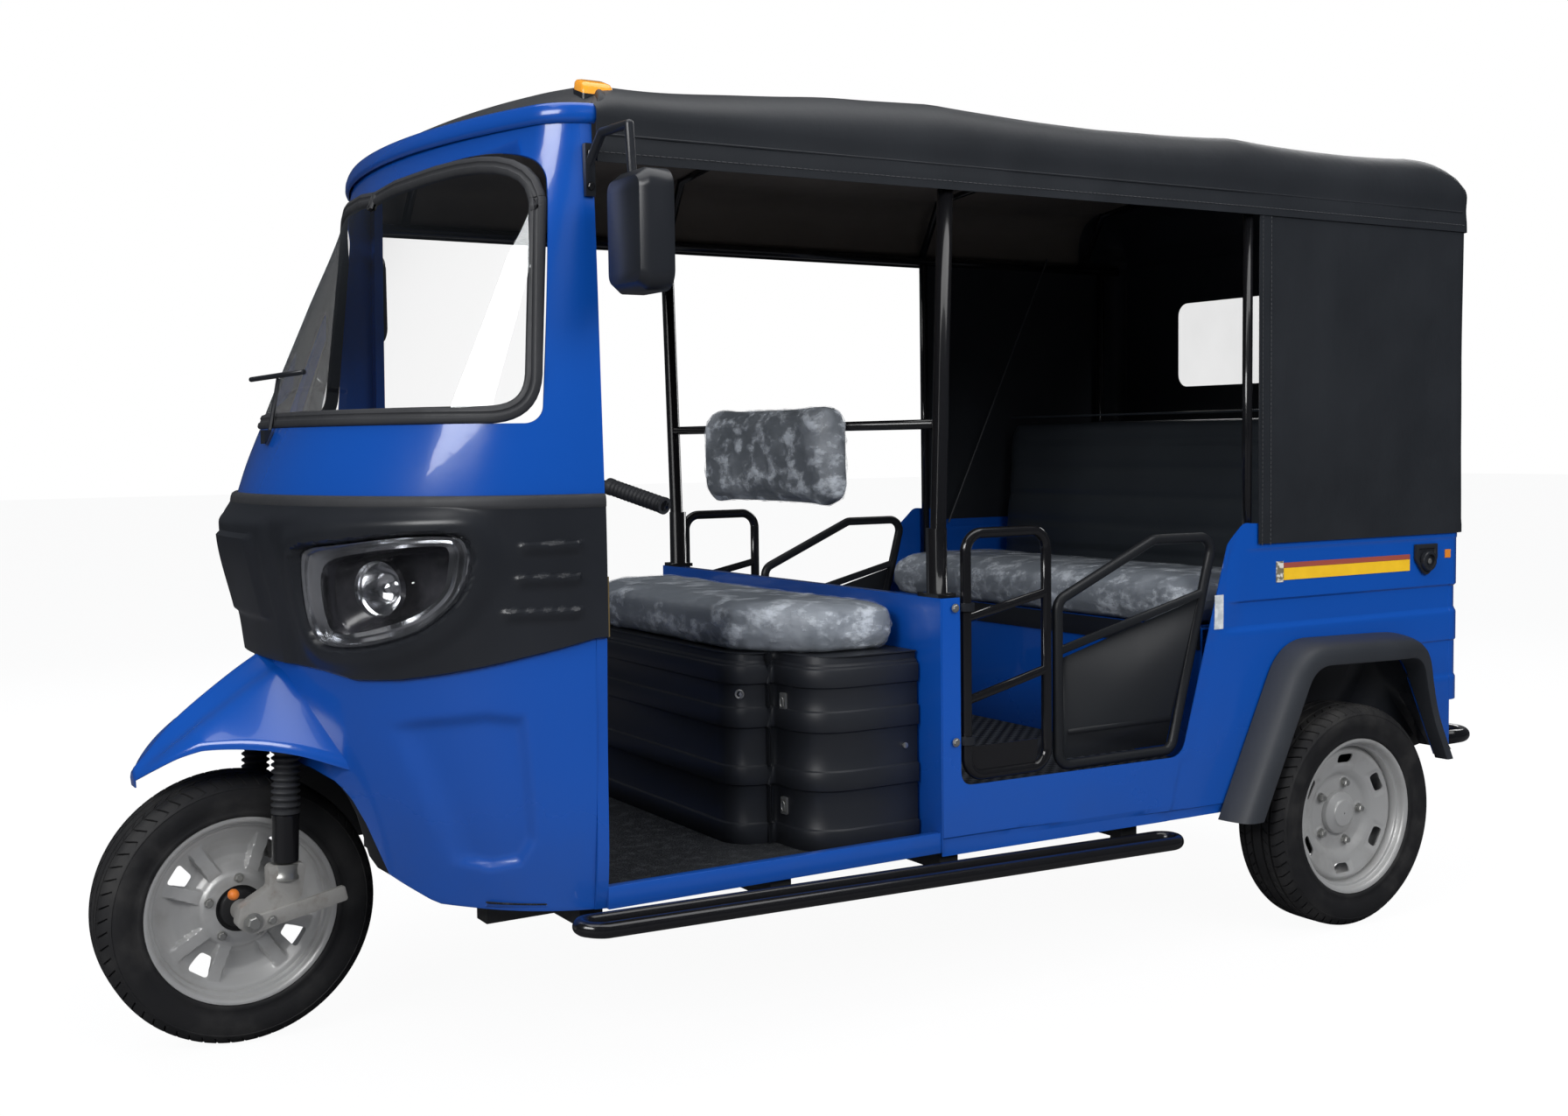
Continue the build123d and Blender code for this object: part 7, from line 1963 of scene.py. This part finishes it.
for vertex in bows_piece.data.vertices:
    if vertex.co.x > 0.5:
        vertex.co.z -= 0.034 * eased(vertex.co.z, SHOULDER - 0.02, SHOULDER_TOP - 0.01)
steps_piece = copied("side_step_tubes", "side_steps")
for vertex in steps_piece.data.vertices:
    x, y, z = vertex.co
    if abs(y) > 0.600:
        ahead_share = min(1.0, max(0.0, (x + 0.47) / 1.38))
        bow = sin(pi * ahead_share) * 0.5 + 0.5
        vertex.co.y = copysign(abs(y) - (1 - bow) * 0.030 * eased(abs(y), 0.62, 0.70) - 0.010, y)
        vertex.co.z = z + 0.002 + 0.032 * ahead_share ** 3
with reshaped(steps_piece.data, MERGE):
    pass
settle(steps_piece, gloss_black, "chassis", "side_steps", sharp=40)
for node in ("left_gate", "right_gate"):
    merged(node, gloss_black, node + "_body", sharp=40)

# ------------------------------------------------------------------ gate plates and hinge bolts
# A thin steel sheet is welded in the foot of each gate, inside the tube. Each hinge strap is held
# to the door post by one plated bolt.
GATE_BACK, GATE_FRONT = DOOR_FRONT - 0.200, DOOR_FRONT - 0.024
for side, label in SIDES:
    sheet_line = softened([(GATE_FRONT, 0.455), (GATE_FRONT, 0.505), (GATE_BACK, 0.505), (GATE_BACK, 0.455),
                           (GATE_FRONT, 0.455)], [0.0005, 0.0005, 0.020], 5)[:-1]
    gate_sheet = laid(f"{label}_gate_sheet", [[Vector((x, side * (0.600 + y), z)) for x, z in sheet_line]
                                              for y in (-0.0008, 0.0008)], ring=True, capped=True)
    settle(gate_sheet, gloss_black, f"{label}_gate_body", slot="black_paint")
    for rise in HINGES:
        hex_head(f"{label}_hinge_bolt_{round(rise * 1000)}", Vector((DOOR_FRONT + 0.014, side * 0.609, rise)),
                 Vector((0, side, 0)), 0.0070, 0.0048, zinc, "chassis", "chrome")

# ------------------------------------------------------------------ tail and marker lamps
# Injection-moulded acrylic covers with upright flutes inside, screwed to a black base. The marker
# lamps are flat amber ones that sit on the shoulders of the roof.
tail_cover = Finish("tail_lamp_cover", (0.45, 0.012, 0.010), 0.12, Coat_Weight=0.5)
turn_band = tail_cover.z.above(0.6655, 0.6660)
tail_cover.put(Base_Color=tail_cover.mix(turn_band, (0.42, 0.010, 0.010), (0.80, 0.26, 0.02)),
               Roughness=0.10 + tail_cover.noise(30, 3) * 0.08)
tail_cover.relief(tail_cover.noise(160, 0, (1, 1, 0.02)), 0.0012, 0.7)
marker_cover = uneven("marker_lamp_cover", (0.85, 0.34, 0.03), 0.15, 0.12, 40, 3, 0.1, Coat_Weight=0.5)
marker_cover.relief(marker_cover.noise(180, 0, (1, 0.02, 1)), 0.0010, 0.6)


def lamp_block(name, half_u, half_v, corner, layers, place, finish, *nodes, slot=None):
    """A round-cornered cover from (depth, drawn in) layers, put in place by `place`."""
    line = softened([(0, half_v), (half_u, half_v), (half_u, -half_v), (-half_u, -half_v), (-half_u, half_v),
                     (0, half_v)], [corner] * 4, 6)[:-1]
    rows = [[place(u * (1 - small / half_u), v * (1 - small / half_v), deep) for u, v in line]
            for deep, small in layers]
    cover = laid(name, rows, ring=True, capped=True)
    return settle(cover, finish, "chassis", *nodes, slot=slot, sharp=40)


def pair_slot(side, node, slot):
    """Nodes and slot for one of a pair: the left one stands for the node, the right one only gets a slot."""
    return ((node,), None) if side == 1 else ((), slot)


for side, label in SIDES:
    def on_back(u, v, deep, side=side):
        return Vector((BODY_BACK - deep, side * 0.525 + u, 0.640 + v))

    def on_shoulder(u, v, deep, side=side):
        return Vector((POST - 0.024 + u, side * 0.548 + v, 1.7330 + deep - side * v * 0.35))

    nodes, slot = pair_slot(side, "tail_lamps", "black_plastic")
    lamp_block(f"tail_lamp_base_{label}", 0.043, 0.075, 0.010, [(0.0002, 0), (0.008, 0), (0.010, 0.002)],
               on_back,
               black_moulding, *nodes, slot=slot)
    lamp_block(f"tail_lamp_cover_{label}", 0.039, 0.071, 0.010,
               [(0.009, 0), (0.022, 0.0006), (0.026, 0.003), (0.0278, 0.008), (0.0280, 0.030)], on_back,
               tail_cover, slot="red_lens")
    nodes, slot = pair_slot(side, "marker_lamps", "black_plastic")
    lamp_block(f"marker_lamp_base_{label}", 0.031, 0.023, 0.010, [(-0.012, 0), (0.001, 0)], on_shoulder,
               black_moulding, *nodes, slot=slot)
    lamp_block(f"marker_lamp_cover_{label}", 0.030, 0.022, 0.010,
               [(0.001, 0), (0.013, 0.001), (0.018, 0.004), (0.020, 0.010)], on_shoulder, marker_cover,
               slot="amber_lens")

# ------------------------------------------------------------------ mirrors
# Black moulded shells with bevelled fronts hang on bent rod from plates on the door posts. Each
# holds a silvered glass that faces back.
silvered = uneven("mirror_silver", (0.86, 0.88, 0.90), 0.03, 0.02, 5, 3, 0.03, Metallic=1.0)
merged("mirror_glass", silvered, "chassis")
merged("mirrors", black_moulding, "chassis", sharp=28, bevel=0.002)
for side, label in SIDES:
    for rise in (1.562, 1.618):
        hex_head(f"{label}_mirror_bolt_{round(rise * 1000)}", Vector((POST + 0.010, side * 0.6042, rise)),
                 Vector((0, side, 0)), 0.0060, 0.0045, gloss_black, "chassis", "black_paint")

# ------------------------------------------------------------------ handlebar and steering column
# The bar and its column are black enamelled steel tube, with moulded rubber grips whose ribs run
# round them.
for node in ("steering_column", "handlebar"):
    merged(node, gloss_black, "steering", sharp=40)
for side, label in SIDES:
    grip_root = Vector((FRONT - 0.683, side * 0.245, 1.037))
    grip_end = Vector((FRONT - 0.734, side * 0.385, 1.000))
    way = (grip_end - grip_root).normalized()
    level = way.cross(Vector((0, 0, 1))).normalized()
    upright = level.cross(way)
    rows = []
    for step in range(64):
        share = step / 63
        swell = 0.0150 + 0.0016 * (0.5 + 0.5 * cos(2 * pi * share * 15))
        swell = 0.0170 if share < 0.05 or share > 0.96 else swell
        rows.append([grip_root + (grip_end - grip_root) * share
                     + (level * cos(2 * pi * k / 28) + upright * sin(2 * pi * k / 28)) * swell
                     for k in range(28)])
    grip = laid(f"{label}_grip", rows, ring=True, capped=True)
    nodes, slot = pair_slot(side, "handle_grips", "rubber")
    settle(grip, rubber, "steering", *nodes, slot=slot, sharp=50)

# ------------------------------------------------------------------ wiper
# A pressed arm on a splined boss carries a long rubber blade in a thin steel holder.
merged("wiper", black_moulding, "chassis", sharp=34)

# ------------------------------------------------------------------ dashboard
# One black moulding with a leather-like grain, hung behind the screen, with a round dial and a
# row of push switches in its face.
dash_grain = Finish("dashboard_plastic", (0.014, 0.015, 0.018), 0.5)
dash_pores = dash_grain.noise(260, 3)
dash_grain.put(Roughness=0.44 + dash_pores * 0.16)
dash_grain.relief(dash_pores, 0.0006, 0.4)
merged("dashboard", dash_grain, "chassis", bevel=0.003)
front_turned("dash_dial", Vector((POST + 0.2548, 0.0, 0.925)), Vector((-1, 0, 0)),
             [(-0.001, 0.048), (0.009, 0.047), (0.011, 0.043), (0.006, 0.040), (0.0055, 0.001)],
             black_moulding,
             "black_plastic")
for k in range(4):
    switch_y = 0.085 + 0.026 * k
    front_turned(f"dash_switch_{k}", Vector((POST + 0.2548, switch_y, 0.935)), Vector((-1, 0, 0.1)),
                 [(-0.001, 0.0095), (0.005, 0.0090), (0.0062, 0.0070), (0.0062, 0.0010)], rubber, "rubber",
                 16)

# ------------------------------------------------------------------ roof strap, post trim and curtain snap
# A thin webbing strap steadies the roof on the far side. A brass-coloured strip guards the
# rear edge of the left door post, and a plated snap holds the left curtain's corner.
pipe_along("roof_strap", [Vector((-1.1588 + 0.366 * k / 12, -0.600, 1.6470 - 0.760 * k / 12))
                          for k in range(13)],
           0.0022, thread, "black_plastic")
brass = uneven("brass_strip", (0.30, 0.22, 0.10), 0.4, 0.32, 60, 3, 0.2, Metallic=0.6)
trim_rows = [[Vector((POST + deep, 0.6146 + lift, 0.785 + 0.105 * k / 6)) for k in range(7)]
             for deep, lift in ((-0.004, 0.0), (-0.004, 0.0022), (0.006, 0.0022), (0.006, 0.0))]
post_strip = laid("post_trim_strip", trim_rows + [trim_rows[0]])
settle(post_strip, brass, "chassis", slot="chrome", sharp=40)
front_turned("curtain_snap", Vector((REAR + 0.245, 0.6245, 0.905)), Vector((0, 1, 0)),
             [(-0.002, 0.0085), (0.002, 0.0082), (0.0038, 0.0050), (0.0040, 0.0008)], zinc, "chrome", 24)
